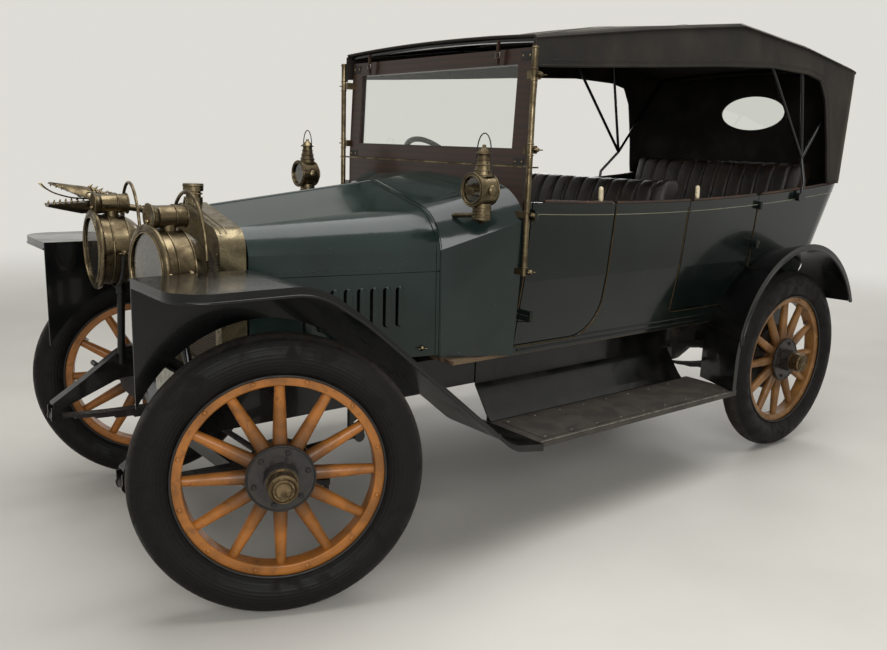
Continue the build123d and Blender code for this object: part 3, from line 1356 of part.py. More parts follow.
def bowl_arc(edge, pole_x):
    """Quarter section of a bowl round the X axis, from its edge to its pole."""
    run = edge[0] - pole_x
    radius = (run**2 + edge[1] ** 2) / (2 * run)
    centre_x = pole_x + radius
    middle = (pi + atan2(edge[1], edge[0] - centre_x)) / 2
    return ThreePointArc(edge, (centre_x + radius * cos(middle), radius * sin(middle)), (pole_x, 0))


def headlamp_place(side):
    return Location((lamp_x, side * LAMP_Y, LAMP_HEIGHT), (0, 0, side * LAMP_TOE))


lamp_x = FRONT_AXLE_X + LAMP_RIM_REACH
drum_radius = LAMP_RADIUS - LAMP_RIM_STEP
drum_end = (-LAMP_DEPTH + LAMP_DOME, drum_radius - LAMP_DRUM_DROP)
with BuildPart() as headlamp:
    with BuildSketch(Plane.XZ) as lamp_wall:
        with BuildLine():
            face = Line((0, drum_radius - LAMP_WALL - LENS_LIP), (0, LAMP_RADIUS - LAMP_RIM_WIDTH / 2))
            rolled = ThreePointArc(
                face @ 1,
                (-LAMP_RIM_WIDTH / 2, LAMP_RADIUS),
                (-LAMP_RIM_WIDTH, LAMP_RADIUS - LAMP_RIM_WIDTH / 2),
            )
            Polyline(rolled @ 1, (-LAMP_RIM_WIDTH, drum_radius), drum_end)
            dome = bowl_arc(drum_end, -LAMP_DEPTH)
            back = Line(dome @ 1, (-LAMP_DEPTH + LAMP_WALL, 0))
            reflector_edge = (-LENS_SET_IN - LENS_THICKNESS - 40, drum_radius - LAMP_WALL - 6)
            bowl = bowl_arc(reflector_edge, -LAMP_DEPTH + LAMP_WALL)
            Polyline(
                reflector_edge,
                (-LENS_SET_IN - LENS_THICKNESS - 2 * SEAT_GAP, drum_radius - LAMP_WALL - LENS_LIP),
                (-LENS_SET_IN - LENS_THICKNESS - 2 * SEAT_GAP, drum_radius - LAMP_WALL),
                (-LENS_SET_IN, drum_radius - LAMP_WALL),
                (-LENS_SET_IN, drum_radius - LAMP_WALL - LENS_LIP),
                face @ 0,
            )
        make_face()
    revolve(lamp_wall.sketch, axis=Axis.X)
    chimney_height = drum_radius + CHIMNEY_RADIUS + CHIMNEY_GAP
    with BuildSketch(Plane.XY.offset(drum_radius - LAMP_DRUM_DROP - LAMP_WALL / 2)) as chimney_neck:
        with Locations((-LAMP_RIM_WIDTH - CHIMNEY_LENGTH / 2, 0)):
            Circle(CHIMNEY_RADIUS * 0.7)
    extrude(chimney_neck.sketch, amount=chimney_height - drum_radius + LAMP_DRUM_DROP)
    with BuildSketch(Plane.YZ.offset(-LAMP_RIM_WIDTH - CHIMNEY_LENGTH)) as chimney:
        with Locations((0, chimney_height)):
            Circle(CHIMNEY_RADIUS)
    extrude(chimney.sketch, amount=CHIMNEY_LENGTH - 12)
save(Compound([headlamp.part.moved(headlamp_place(side)) for side in (1, -1)]), "headlamp_shells")

# Rails with the lamp posts let into the dumb irons, each post hollowed to its lamp
with BuildPart() as lamp_seat:
    with BuildSketch(Plane.XZ) as drum_side:
        with BuildLine():
            Polyline(
                (0, 0),
                (0, drum_radius + SEAT_GAP),
                (-LAMP_RIM_WIDTH, drum_radius + SEAT_GAP),
                (drum_end[0], drum_end[1] + SEAT_GAP),
                (drum_end[0] - LAMP_DOME / 2, drum_end[1] + SEAT_GAP),
                (drum_end[0] - LAMP_DOME / 2, 0),
                close=True,
            )
        make_face()
    revolve(drum_side.sketch, axis=Axis.X)
lamp_middle_x = lamp_x - LAMP_DEPTH / 2
post_foot = (lamp_middle_x - 20, RAIL_INNER_Y + 6, RAIL_TOP - 60)
post_head = (lamp_middle_x, LAMP_Y, LAMP_HEIGHT - LAMP_RADIUS - 20)
with BuildPart() as chassis:
    add(frame.part)
    rod(post_foot, post_head, LAMP_POST_RADIUS)
    with BuildSketch(Plane.XY.offset(post_head[2] - 2)) as saddle:
        with Locations((lamp_middle_x, LAMP_Y)):
            Circle(LAMP_POST_RADIUS + 6)
    extrude(saddle.sketch, amount=LAMP_RADIUS - drum_radius + 34)
    add(lamp_seat.part.moved(headlamp_place(1)), mode=Mode.SUBTRACT)
save(Compound([chassis.part, chassis.part.mirror(Plane.XZ)]), "chassis_frame")

# Side lamps: a squat lantern on each side of the cowl, on a curved arm
side_lamp_x = behind(SIDE_LAMP_SET_BACK) + SIDE_LAMP_DEPTH / 2
side_lens_seat = SIDE_LAMP_RADIUS - SIDE_RIM_LIP + SIDE_LENS_LIP
side_lens_back = -LENS_SET_IN - LENS_THICKNESS - 2 * SEAT_GAP
with BuildPart() as side_lamp:
    with BuildSketch(Plane.XZ) as lantern_wall:
        with BuildLine():
            Polyline(
                (0, SIDE_LAMP_RADIUS - SIDE_RIM_LIP),
                (0, SIDE_LAMP_RADIUS),
                (-SIDE_RIM_WIDTH, SIDE_LAMP_RADIUS),
                (-SIDE_RIM_WIDTH, SIDE_LAMP_RADIUS - SIDE_RIM_STEP),
                (-SIDE_LAMP_DEPTH + SIDE_BACK_TAPER, SIDE_LAMP_RADIUS - SIDE_RIM_STEP),
                (-SIDE_LAMP_DEPTH, SIDE_BACK_RADIUS),
                (-SIDE_LAMP_DEPTH, 0),
                (-SIDE_LAMP_DEPTH + SIDE_LAMP_WALL, 0),
                (side_lens_back, SIDE_LAMP_RADIUS - SIDE_RIM_LIP),
                (side_lens_back, side_lens_seat),
                (-LENS_SET_IN, side_lens_seat),
                (-LENS_SET_IN, SIDE_LAMP_RADIUS - SIDE_RIM_LIP),
                close=True,
            )
        make_face()
    revolve(lantern_wall.sketch, axis=Axis.X)
    with BuildSketch(Plane.XY.offset(-SIDE_LAMP_HEIGHT_BELOW)) as font:
        with Locations((-SIDE_LAMP_DEPTH / 2, 0)):
            Circle(LANTERN_FONT_RADIUS)
    extrude(font.sketch, amount=SIDE_LAMP_HEIGHT_BELOW - SIDE_LAMP_RADIUS + 12)
    with BuildSketch(Plane.XY.offset(SIDE_LAMP_RADIUS - 12)) as lantern_top:
        with Locations((-SIDE_LAMP_DEPTH / 2, 0)):
            Circle(LANTERN_TOP_RADIUS)
    extrude(lantern_top.sketch, amount=SIDE_LAMP_HEIGHT_ABOVE - SIDE_LAMP_RADIUS + 12, taper=LANTERN_TOP_TAPER)
lantern_place = (side_lamp_x, SIDE_LAMP_Y, SIDE_LAMP_HEIGHT)
with BuildPart() as side_lamp_on_arm:
    add(side_lamp.part.moved(Location(lantern_place)))
    arm_z = SIDE_LAMP_HEIGHT - SIDE_LAMP_HEIGHT_BELOW + 14
    arm_x = side_lamp_x - SIDE_LAMP_DEPTH / 2
    rod((arm_x, SIDE_LAMP_Y, arm_z), (arm_x - 14, SIDE_LAMP_Y - 170, arm_z - 16), SIDE_ARM_RADIUS)
    add(cowl_loft(-SEAT_GAP), mode=Mode.SUBTRACT)
lantern = side_lamp_on_arm.part.solids().sort_by(SortBy.VOLUME)[-1]
save(Compound([lantern, lantern.mirror(Plane.XZ)]), "side_lamps")

with BuildPart() as headlamp_glass:
    with BuildSketch(Plane.YZ.offset(-LENS_SET_IN - SEAT_GAP - LENS_THICKNESS)) as lens_disc:
        Circle(drum_radius - LAMP_WALL - SEAT_GAP)
    extrude(lens_disc.sketch, amount=LENS_THICKNESS)
with BuildPart() as side_glass:
    with BuildSketch(Plane.YZ.offset(-LENS_SET_IN - SEAT_GAP - LENS_THICKNESS)) as side_disc:
        Circle(side_lens_seat - SEAT_GAP)
    extrude(side_disc.sketch, amount=LENS_THICKNESS)
lenses = [headlamp_glass.part.moved(headlamp_place(side)) for side in (1, -1)]
for side in (1, -1):
    lenses.append(side_glass.part.moved(Location((side_lamp_x, side * SIDE_LAMP_Y, SIDE_LAMP_HEIGHT))))
save(Compound(lenses), "lamp_lenses")

# Windscreen: mahogany frame and glass, a mahogany apron down to the cowl and brass pillars
rake = radians(SCREEN_RAKE)
strip_top = SCREEN_BOTTOM + SEAT_GAP + STRIP_THICKNESS
screen_plane = Plane(
    origin=(SCREEN_X, 0, strip_top + SEAT_GAP + SCREEN_THICKNESS / 2 * sin(rake)),
    x_dir=(0, 1, 0),
    z_dir=(cos(rake), 0, sin(rake)),
)
screen_height = SCREEN_TOP - SCREEN_BOTTOM
glass_height = GLASS_TOP - GLASS_BOTTOM
glass_middle = (GLASS_TOP + GLASS_BOTTOM) / 2 - SCREEN_BOTTOM
with BuildPart() as screen_frame:
    with BuildSketch(screen_plane) as frame_face:
        with Locations((0, screen_height / 2)):
            Rectangle(2 * SCREEN_HALF_WIDTH, screen_height)
        with Locations((0, glass_middle)):
            Rectangle(2 * GLASS_HALF_WIDTH, glass_height, mode=Mode.SUBTRACT)
    extrude(frame_face.sketch, amount=SCREEN_THICKNESS / 2, both=True)
    with BuildSketch(screen_plane) as rebate:
        with Locations((0, glass_middle)):
            Rectangle(2 * (GLASS_HALF_WIDTH + REBATE + SEAT_GAP), glass_height + 2 * (REBATE + SEAT_GAP))
    extrude(rebate.sketch, amount=GLASS_THICKNESS / 2 + SEAT_GAP, both=True, mode=Mode.SUBTRACT)
save(screen_frame.part, "windscreen_frame")

with BuildPart() as screen_apron:
    with BuildSketch(Plane.YZ.offset(SCREEN_X - SCREEN_THICKNESS / 2)) as apron_face:
        with Locations((0, (APRON_BOTTOM + SCREEN_BOTTOM) / 2)):
            Rectangle(2 * SCREEN_HALF_WIDTH, SCREEN_BOTTOM - APRON_BOTTOM)
    extrude(apron_face.sketch, amount=SCREEN_THICKNESS)
save(screen_apron.part, "windscreen_apron")

with BuildPart() as pillars:
    with BuildSketch(Plane.XY.offset(SCREEN_BOTTOM + SEAT_GAP)) as strip:
        with Locations((SCREEN_X, 0)):
            Rectangle(SCREEN_THICKNESS + 4, 2 * PILLAR_Y)
    extrude(strip.sketch, amount=STRIP_THICKNESS)
    rod((PILLAR_X, PILLAR_Y, PILLAR_BOTTOM), (PILLAR_X, PILLAR_Y, PILLAR_TOP), PILLAR_RADIUS)
    rod((PILLAR_X, -PILLAR_Y, PILLAR_BOTTOM), (PILLAR_X, -PILLAR_Y, PILLAR_TOP), PILLAR_RADIUS)
    for side in (1, -1):
        with BuildSketch(Plane.XY.offset(SCREEN_BOTTOM + SEAT_GAP)) as lug:
            with Locations(((SCREEN_X + PILLAR_X) / 2, side * PILLAR_Y)):
                Rectangle(PILLAR_X - SCREEN_X + 20, 20)
        extrude(lug.sketch, amount=STRIP_THICKNESS)
        for clamp_z in CLAMP_HEIGHTS:
            clamp_end = SCREEN_HALF_WIDTH + SEAT_GAP
            with BuildSketch(Plane.XY.offset(clamp_z - 14)) as clamp:
                with Locations((PILLAR_X - 16, side * (clamp_end + PILLAR_Y) / 2)):
                    Rectangle(36, PILLAR_Y - clamp_end)
            extrude(clamp.sketch, amount=28)
        for foot_z in PILLAR_FEET:
            with BuildSketch(Plane.XY.offset(foot_z - 12)) as foot:
                with Locations((PILLAR_X, side * (PILLAR_Y - 30))):
                    Rectangle(2 * PILLAR_RADIUS, 60)
            extrude(foot.sketch, amount=24)
    add(cowl_loft(-SEAT_GAP), mode=Mode.SUBTRACT)
save(pillars.part, "screen_pillars")

# Hood: one closed skin from the windscreen to the back of the body, open in front and at the sides
# distance behind the front axle, height of the roof's edge, rise of its crown
ROOF_STATIONS = (
    (980, 1808, 18),
    (1620, 1900, 34),
    (2230, 1975, 40),
    (2770, 1930, 38),
    (3290, 1856, 34),
    (3420, 1838, 34),
)


def roof_block(drop):
    """Everything under the crowned roof, lowered by drop."""
    sections = []
    for distance, edge, crown in ROOF_STATIONS:
        with BuildSketch(Plane.YZ.offset(behind(distance))) as section:
            with BuildLine():
                top = ThreePointArc(
                    (-ROOF_SPREAD, edge - crown * 0.2 - drop),
                    (0, edge + crown - drop),
                    (ROOF_SPREAD, edge - crown * 0.2 - drop),
                )
                Polyline(top @ 1, (ROOF_SPREAD, 1100), (-ROOF_SPREAD, 1100), top @ 0)
            make_face()
        sections.append(section.sketch)
    return loft(sections, ruled=True, mode=Mode.PRIVATE)


def hood_plan(inset, front_x):
    """Hood in plan: widest at the belt, with rounded rear corners like the body's."""
    levels = []
    for height, half_width, rear, corner in HOOD_LEVELS:
        rear_x = behind(rear) + inset
        with BuildSketch(Plane.XY.offset(height)) as level:
            with Locations(((front_x + rear_x) / 2, 0)):
                Rectangle(front_x - rear_x, 2 * (half_width - inset))
            fillet(level.vertices().group_by(Axis.X)[0], corner - inset)
        levels.append(level.sketch)
    return loft(levels, ruled=True, mode=Mode.PRIVATE)


hood_front_x = SCREEN_X + HOOD_OVERHANG
with BuildPart() as hood:
    add(hood_plan(0, hood_front_x))
    add(roof_block(0), mode=Mode.INTERSECT)
with BuildPart() as hood_space:
    add(hood_plan(HOOD_SKIN, hood_front_x - HOOD_SKIN))
    add(roof_block(HOOD_SKIN), mode=Mode.INTERSECT)
with BuildPart() as canopy:
    add(hood.part)
    add(hood_space.part, mode=Mode.SUBTRACT)
    with BuildSketch(Plane.XZ) as side_opening:
        with BuildLine():
            drop_edge = FilletPolyline(
                (hood_front_x + 40, VALANCE_FRONT),
                (behind(1700), 1760),
                (behind(2480), 1822),
                (behind(2960), 1800),
                (behind(3090), 1476),
                (behind(3150), 1290),
                radius=[400, 500, 90, 300],
            )
            Polyline(drop_edge @ 1, (behind(3150), 1000), (hood_front_x + 40, 1000), drop_edge @ 0)
        make_face()
    extrude(side_opening.sketch, amount=side_reach, both=True, mode=Mode.SUBTRACT)
    extrude(below_belt(SEAT_GAP), amount=side_reach, both=True, mode=Mode.SUBTRACT)
    with BuildSketch(Plane.YZ.offset(behind(3280))) as rear_light:
        with Locations((0, REAR_LIGHT_HEIGHT)):
            Ellipse(REAR_LIGHT_HALF_WIDTH, REAR_LIGHT_HALF_HEIGHT)
    extrude(rear_light.sketch, amount=-150, mode=Mode.SUBTRACT)
save(canopy.part, "hood_canopy")

# Panes: the windscreen's glass and the hood's oval rear light
with BuildPart() as screen_glass:
    with BuildSketch(screen_plane) as pane:
        with Locations((0, glass_middle)):
            Rectangle(2 * (GLASS_HALF_WIDTH + REBATE), glass_height + 2 * REBATE)
    extrude(pane.sketch, amount=GLASS_THICKNESS / 2, both=True)
with BuildPart() as rear_pane:
    with BuildSketch(Plane.YZ.offset(behind(3280))) as light_shape:
        with Locations((0, REAR_LIGHT_HEIGHT)):
            Ellipse(REAR_LIGHT_HALF_WIDTH - SEAT_GAP, REAR_LIGHT_HALF_HEIGHT - SEAT_GAP)
    extrude(light_shape.sketch, amount=-150)
    add(hood_plan(PANE_SET_IN, hood_front_x), mode=Mode.INTERSECT)
    add(hood_plan(PANE_SET_IN + PANE_THICKNESS, hood_front_x), mode=Mode.SUBTRACT)
save(Compound([screen_glass.part, rear_pane.part]), "window_panes")

# Hood bows and irons, hinged to a foot on each side of the body
with BuildPart() as body_seat:
    add(tub_loft(-SEAT_GAP, 0))
    extrude(below_belt(SEAT_GAP), amount=side_reach, both=True, mode=Mode.INTERSECT)


def roof_edge_at(distance):
    """Height and crown of the roof's edge this far behind the front axle."""
    for (near, near_edge, near_crown), (far, far_edge, far_crown) in zip(ROOF_STATIONS, ROOF_STATIONS[1:]):
        if near <= distance <= far:
            share = (distance - near) / (far - near)
            edge = near_edge + share * (far_edge - near_edge)
            return edge, near_crown + share * (far_crown - near_crown)


top_y = BOW_HALF_LENGTH - IRON_ROD_RADIUS


def roof_end(distance):
    """Where an iron meets the bow this far behind the front axle."""
    edge, crown = roof_edge_at(distance)
    return (behind(distance), top_y, edge + crown * 0.1 - HOOD_SKIN - BOW_DROP - BOW_THICKNESS / 2)


with BuildPart() as hood_irons:
    for distance in BOW_DISTANCES:
        edge, crown = roof_edge_at(distance)
        low = HOOD_SKIN + BOW_DROP
        rise = crown + edge
        droop = edge - crown * 0.2
        with BuildSketch(Plane.YZ.offset(behind(distance) - BOW_WIDTH / 2)) as bow:
            with BuildLine():
                upper = ThreePointArc(
                    (-ROOF_SPREAD, droop - low), (0, rise - low), (ROOF_SPREAD, droop - low)
                )
                lower = ThreePointArc(
                    (-ROOF_SPREAD, droop - low - BOW_THICKNESS),
                    (0, rise - low - BOW_THICKNESS),
                    (ROOF_SPREAD, droop - low - BOW_THICKNESS),
                )
                Line(upper @ 0, lower @ 0)
                Line(upper @ 1, lower @ 1)
            make_face()
            Rectangle(2 * BOW_HALF_LENGTH, 5000, mode=Mode.INTERSECT)
        extrude(bow.sketch, amount=BOW_WIDTH)
    foot = (behind(2790), HOOD_FOOT_Y, HOOD_FOOT_HEIGHT)
    ankle = (behind(2800), HOOD_FOOT_Y, BELT_HEIGHT + 80)
    knee = (behind(2870), top_y, 1420)
    rod(foot, ankle, IRON_ROD_RADIUS)
    rod(ankle, knee, IRON_ROD_RADIUS)
    with Locations(ankle):
        Sphere(IRON_ROD_RADIUS)
    for distance in BOW_DISTANCES[2:]:
        rod(knee, roof_end(distance), IRON_ROD_RADIUS)
    rod(roof_end(BOW_DISTANCES[2]), roof_end(BOW_DISTANCES[1]), IRON_ROD_RADIUS - 1)
    rod(roof_end(BOW_DISTANCES[1]), roof_end(BOW_DISTANCES[0]), IRON_ROD_RADIUS - 1)
    with BuildSketch(Plane.XZ.offset(-(HOOD_FOOT_Y - 12))) as foot_plate:
        with Locations((foot[0], foot[2])):
            RectangleRounded(60, 36, 12)
    extrude(foot_plate.sketch, amount=-20)
    add(body_seat.part, mode=Mode.SUBTRACT)
    mirror(about=Plane.XZ)
save(hood_irons.part, "hood_irons")

# Steering gear box on the right rail, column up through the firewall, and the wheel on its shaft
column_normal = column_line.normalized()
with BuildPart() as steering_column:
    with BuildSketch(Plane(origin=column_foot, z_dir=column_line)) as column_tube:
        Circle(COLUMN_RADIUS)
    extrude(column_tube.sketch, amount=COLUMN_LENGTH - WHEEL_HUB_LENGTH)
    with BuildSketch(Plane(origin=column_foot, z_dir=column_line)) as shaft:
        Circle(STEERING_SHAFT_RADIUS)
    extrude(shaft.sketch, amount=COLUMN_LENGTH - 8)
    with BuildSketch(Plane.XZ.offset(RAIL_INNER_Y - SEAT_GAP)) as gear_box:
        with Locations((column_foot[0] - 10, column_foot[2] + 6)):
            RectangleRounded(GEAR_BOX_SIZE, GEAR_BOX_SIZE, 28)
    extrude(gear_box.sketch, amount=-(RAIL_INNER_Y + STEERING_WHEEL_Y + COLUMN_RADIUS + 8))
save(steering_column.part, "steering_column")

wheel_plane = Plane(origin=column_head, z_dir=column_line)
with BuildPart() as steering_wheel:
    with BuildSketch(wheel_plane.offset(-WHEEL_HUB_LENGTH + SEAT_GAP)) as wheel_hub:
        Circle(WHEEL_HUB_RADIUS)
    extrude(wheel_hub.sketch, amount=WHEEL_HUB_LENGTH)
    with BuildSketch(wheel_plane.offset(-6)) as wheel_arms:
        for turn in (45, 135):
            Rectangle(2 * STEERING_WHEEL_RADIUS, 18, rotation=turn)
    extrude(wheel_arms.sketch, amount=6)
    with BuildSketch(Plane(origin=column_head, x_dir=column_normal, z_dir=(0, 1, 0))) as rim_section:
        with Locations((-4, STEERING_WHEEL_RADIUS - STEERING_RIM_RADIUS)):
            Ellipse(STEERING_RIM_RADIUS * 0.8, STEERING_RIM_RADIUS)
    revolve(rim_section.sketch, axis=Axis(column_head, column_normal))
    with BuildSketch(wheel_plane.offset(-WHEEL_HUB_LENGTH)) as wheel_bore:
        Circle(STEERING_SHAFT_RADIUS + RUNNING_GAP)
    extrude(wheel_bore.sketch, amount=WHEEL_HUB_LENGTH - 6, mode=Mode.SUBTRACT)
save(steering_wheel.part, "steering_wheel")

# Hand levers outside the body on the driver's side, on a cross shaft from the rail
with BuildPart() as levers:
    shaft_start = -(RAIL_OUTER_Y + 4 + 2 * SEAT_GAP)
    with BuildSketch(Plane.XZ.offset(-shaft_start)) as lever_shaft:
        with Locations((LEVER_X, LEVER_SHAFT_HEIGHT)):
            Circle(14)
    extrude(lever_shaft.sketch, amount=LEVER_Y + 20 + shaft_start)
    with BuildSketch(Plane.XZ.offset(-shaft_start)) as lever_flange:
        with Locations((LEVER_X, LEVER_SHAFT_HEIGHT)):
            Circle(26)
    extrude(lever_flange.sketch, amount=10)
    for lever_y, lean, lever_length in LEVERS:
        top_x = LEVER_X + lever_length * sin(radians(lean))
        top_z = LEVER_SHAFT_HEIGHT + lever_length * cos(radians(lean))
        with BuildSketch(Plane.XZ.offset(lever_y - 5)) as lever:
            with BuildLine():
                Polyline(
                    (LEVER_X - 16, LEVER_SHAFT_HEIGHT),
                    (LEVER_X + 16, LEVER_SHAFT_HEIGHT),
                    (top_x + 8, top_z),
                    (top_x - 8, top_z),
                    close=True,
                )
            make_face()
            with Locations((LEVER_X, LEVER_SHAFT_HEIGHT)):
                Circle(22)
        extrude(lever.sketch, amount=10)
        rod((top_x, -lever_y, top_z - 10), (top_x, -lever_y, top_z + 90), 15)
save(levers.part, "hand_levers")

# Starting handle in line with the crankshaft
crank_x = engine_rear_x + ENGINE_LENGTH + SEAT_GAP
with BuildPart() as starting_handle:
    with BuildLine() as handle_line:
        FilletPolyline(
            (crank_x, 0, CRANK_HEIGHT),
            (FRONT_AXLE_X + HANDLE_REACH, 0, CRANK_HEIGHT),
            (FRONT_AXLE_X + HANDLE_REACH, HANDLE_THROW, CRANK_HEIGHT),
            (FRONT_AXLE_X + HANDLE_REACH + HANDLE_GRIP, HANDLE_THROW, CRANK_HEIGHT),
            radius=18,
        )
    with BuildSketch(Plane.YZ.offset(crank_x)) as handle_section:
        with Locations((0, CRANK_HEIGHT)):
            Circle(HANDLE_RADIUS)
    sweep(handle_section.sketch, path=handle_line.line)
save(starting_handle.part, "starting_handle")

# Exhaust: pipe from the engine back to a silencer under the right side
exhaust_port_x = engine_rear_x + ENGINE_LENGTH / 2
with BuildPart() as exhaust:
    with BuildLine() as pipe_line:
        FilletPolyline(
            (exhaust_port_x, -ENGINE_WIDTH / 2 - SEAT_GAP, EXHAUST_PORT_HEIGHT),
            (exhaust_port_x, -EXHAUST_Y, EXHAUST_PORT_HEIGHT),
            (exhaust_port_x - 130, -EXHAUST_Y, EXHAUST_HEIGHT),
            (SILENCER_FRONT_X - 20, -EXHAUST_Y, EXHAUST_HEIGHT),
            radius=45,
        )
    with BuildSketch(Plane.XZ.offset(ENGINE_WIDTH / 2 + SEAT_GAP)) as pipe_section:
        with Locations((exhaust_port_x, EXHAUST_PORT_HEIGHT)):
            Circle(EXHAUST_PIPE_RADIUS)
    sweep(pipe_section.sketch, path=pipe_line.line)
    silencer_rear_x = SILENCER_FRONT_X - SILENCER_LENGTH
    rod(
        (SILENCER_FRONT_X, -EXHAUST_Y, EXHAUST_HEIGHT),
        (silencer_rear_x, -EXHAUST_Y, EXHAUST_HEIGHT),
        SILENCER_RADIUS,
    )
    rod(
        (silencer_rear_x + 10, -EXHAUST_Y, EXHAUST_HEIGHT - 30),
        (silencer_rear_x - 120, -EXHAUST_Y, EXHAUST_HEIGHT - 30),
        EXHAUST_PIPE_RADIUS - 4,
    )
    for strap_x in (CROSS_MEMBERS[2], CROSS_MEMBERS[3]):
        with BuildSketch(Plane.XZ.offset(EXHAUST_Y - 4)) as strap:
            strap_top = RAIL_TOP - CROSS_MEMBER_DEPTH - SEAT_GAP
            with Locations((strap_x, (EXHAUST_HEIGHT + strap_top) / 2)):
                Rectangle(30, strap_top - EXHAUST_HEIGHT)
        extrude(strap.sketch, amount=8)
save(exhaust.part, "exhaust")

# Serpent-head horn along the right side, its tube ending in a rubber bulb by the driver
with BuildPart() as horn:
    with BuildLine() as horn_line:
        FilletPolyline(*HORN_ROUTE, radius=[60, 200, 260])
    tube_start = Vector(*HORN_ROUTE[1]) - Vector(*HORN_ROUTE[0])
    with BuildSketch(Plane(origin=HORN_ROUTE[0], z_dir=tube_start)) as tube:
        Circle(HORN_TUBE_RADIUS)
    sweep(tube.sketch, path=horn_line.line)
    head_start = HORN_ROUTE[-1]
    head_axis = (Vector(*HORN_ROUTE[-1]) - Vector(*HORN_ROUTE[-2])).normalized()
    head_sections = []
    for ahead, wide, high in HORN_HEAD:
        head_plane = Plane(origin=Vector(*head_start) + head_axis * ahead, x_dir=(0, 1, 0), z_dir=head_axis)
        with BuildSketch(head_plane) as head_slice:
            Ellipse(wide, high)
        head_sections.append(head_slice.sketch)
    loft(head_sections, ruled=True)
    with BuildSketch(Plane.XZ.offset(-head_start[1])) as mouth:
        tip = Vector(*head_start) + head_axis * HORN_HEAD[-1][0]
        with BuildLine():
            Polyline(
                (head_start[0] + 70, head_start[2] + 14),
                (tip.X + 20, tip.Z + 50),
                (tip.X + 20, tip.Z - 34),
                close=True,
            )
        make_face()
    extrude(mouth.sketch, amount=100, both=True, mode=Mode.SUBTRACT)
    rod(
        (HORN_STAY_X, head_start[1], FRONT_FENDER_TOP + SEAT_GAP),
        (HORN_STAY_X, head_start[1], HORN_STAY_TOP),
        HORN_STAY_RADIUS,
    )
save(horn.part, "horn")
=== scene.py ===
"""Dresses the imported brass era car: enamel, brass, leather, hood cloth and fittings, on a pale floor."""

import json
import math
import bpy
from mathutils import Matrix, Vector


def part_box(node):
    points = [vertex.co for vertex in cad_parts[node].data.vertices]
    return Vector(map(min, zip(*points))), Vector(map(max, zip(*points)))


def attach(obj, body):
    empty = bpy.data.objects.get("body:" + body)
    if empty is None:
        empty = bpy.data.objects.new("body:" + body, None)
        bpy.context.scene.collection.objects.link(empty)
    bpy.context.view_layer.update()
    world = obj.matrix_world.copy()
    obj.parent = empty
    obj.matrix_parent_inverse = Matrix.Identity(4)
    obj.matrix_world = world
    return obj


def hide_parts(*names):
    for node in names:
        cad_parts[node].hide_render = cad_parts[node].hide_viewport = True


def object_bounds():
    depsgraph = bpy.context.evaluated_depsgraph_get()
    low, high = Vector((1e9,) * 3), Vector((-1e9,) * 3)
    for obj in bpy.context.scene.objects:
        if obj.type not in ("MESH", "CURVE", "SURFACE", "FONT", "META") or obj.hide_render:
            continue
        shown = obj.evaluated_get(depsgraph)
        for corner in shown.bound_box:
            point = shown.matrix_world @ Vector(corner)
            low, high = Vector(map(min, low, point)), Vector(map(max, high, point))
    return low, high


bl_info = {
    "name": "Brass era car dressing",
    "version": (1, 0, 0),
    "blender": (4, 5, 0),
    "location": "3D View > Sidebar > Car",
    "description": "Finishes and fittings for an open touring car with wooden wheels",
    "category": "Object",
}

import bmesh
import bpy
from mathutils import Matrix, Vector, noise
from mathutils.bvhtree import BVHTree

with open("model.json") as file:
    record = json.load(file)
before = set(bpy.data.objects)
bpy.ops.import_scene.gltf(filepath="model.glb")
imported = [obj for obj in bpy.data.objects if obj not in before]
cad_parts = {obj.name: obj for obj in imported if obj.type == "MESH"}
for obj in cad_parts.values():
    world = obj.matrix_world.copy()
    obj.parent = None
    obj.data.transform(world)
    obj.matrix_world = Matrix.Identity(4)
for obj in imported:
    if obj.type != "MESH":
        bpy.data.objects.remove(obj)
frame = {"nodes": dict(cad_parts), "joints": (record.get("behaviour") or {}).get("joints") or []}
CAD_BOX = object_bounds()


def middle_of(node):
    """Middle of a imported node's box."""
    low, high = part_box(node)
    return (low + high) / 2


AXLE_X = (middle_of("tyre_front_left").x + middle_of("tyre_front_right").x) / 2
REAR_AXLE_X = middle_of("tyre_rear_left").x
STEER = math.radians(-23)
UP, DOWN = Vector((0, 0, 1)), Vector((0, 0, -1))
AFT = Vector((-1, 0, 0))
HANDS = ((1, "left"), (-1, "right"))
FINISHES = {}
BACKDROP = "#dedcd6"


def behind(distance):
    """X of a place this far behind the front axle."""
    return AXLE_X - distance


def back_mm(distance):
    """X of a place this many millimetres behind the front axle."""
    return behind(distance / 1000)


def linear(code):
    """Linear colour of an sRGB hex value."""
    parts = [int(code[i : i + 2], 16) / 255 for i in (1, 3, 5)]
    return tuple(p / 12.92 if p <= 0.04045 else ((p + 0.055) / 1.055) ** 2.4 for p in parts) + (1.0,)


# Node trees

# What every node of a kind has here, and the output that is read where a node stands for a value
USUAL = {"ShaderNodeMix": {"data_type": "RGBA"}, "ShaderNodeMapRange": {"interpolation_type": "SMOOTHSTEP"}}
READ = {"ShaderNodeMix": 2, "ShaderNodeTexWave": "Fac"}


def add(tree, kind, values=None, **settings):
    """A node with its settings; values are its inputs by name or number: numbers, sockets or nodes."""
    made = tree.nodes.new(kind)
    for name, value in {**USUAL.get(kind, {}), **settings}.items():
        setattr(made, name, value)
    for name, value in (values or {}).items():
        if isinstance(value, bpy.types.Node):
            value = value.outputs[READ.get(value.bl_idname, 0)]
        if isinstance(value, bpy.types.NodeSocket):
            tree.links.new(value, made.inputs[name])
        else:
            made.inputs[name].default_value = value
    return made


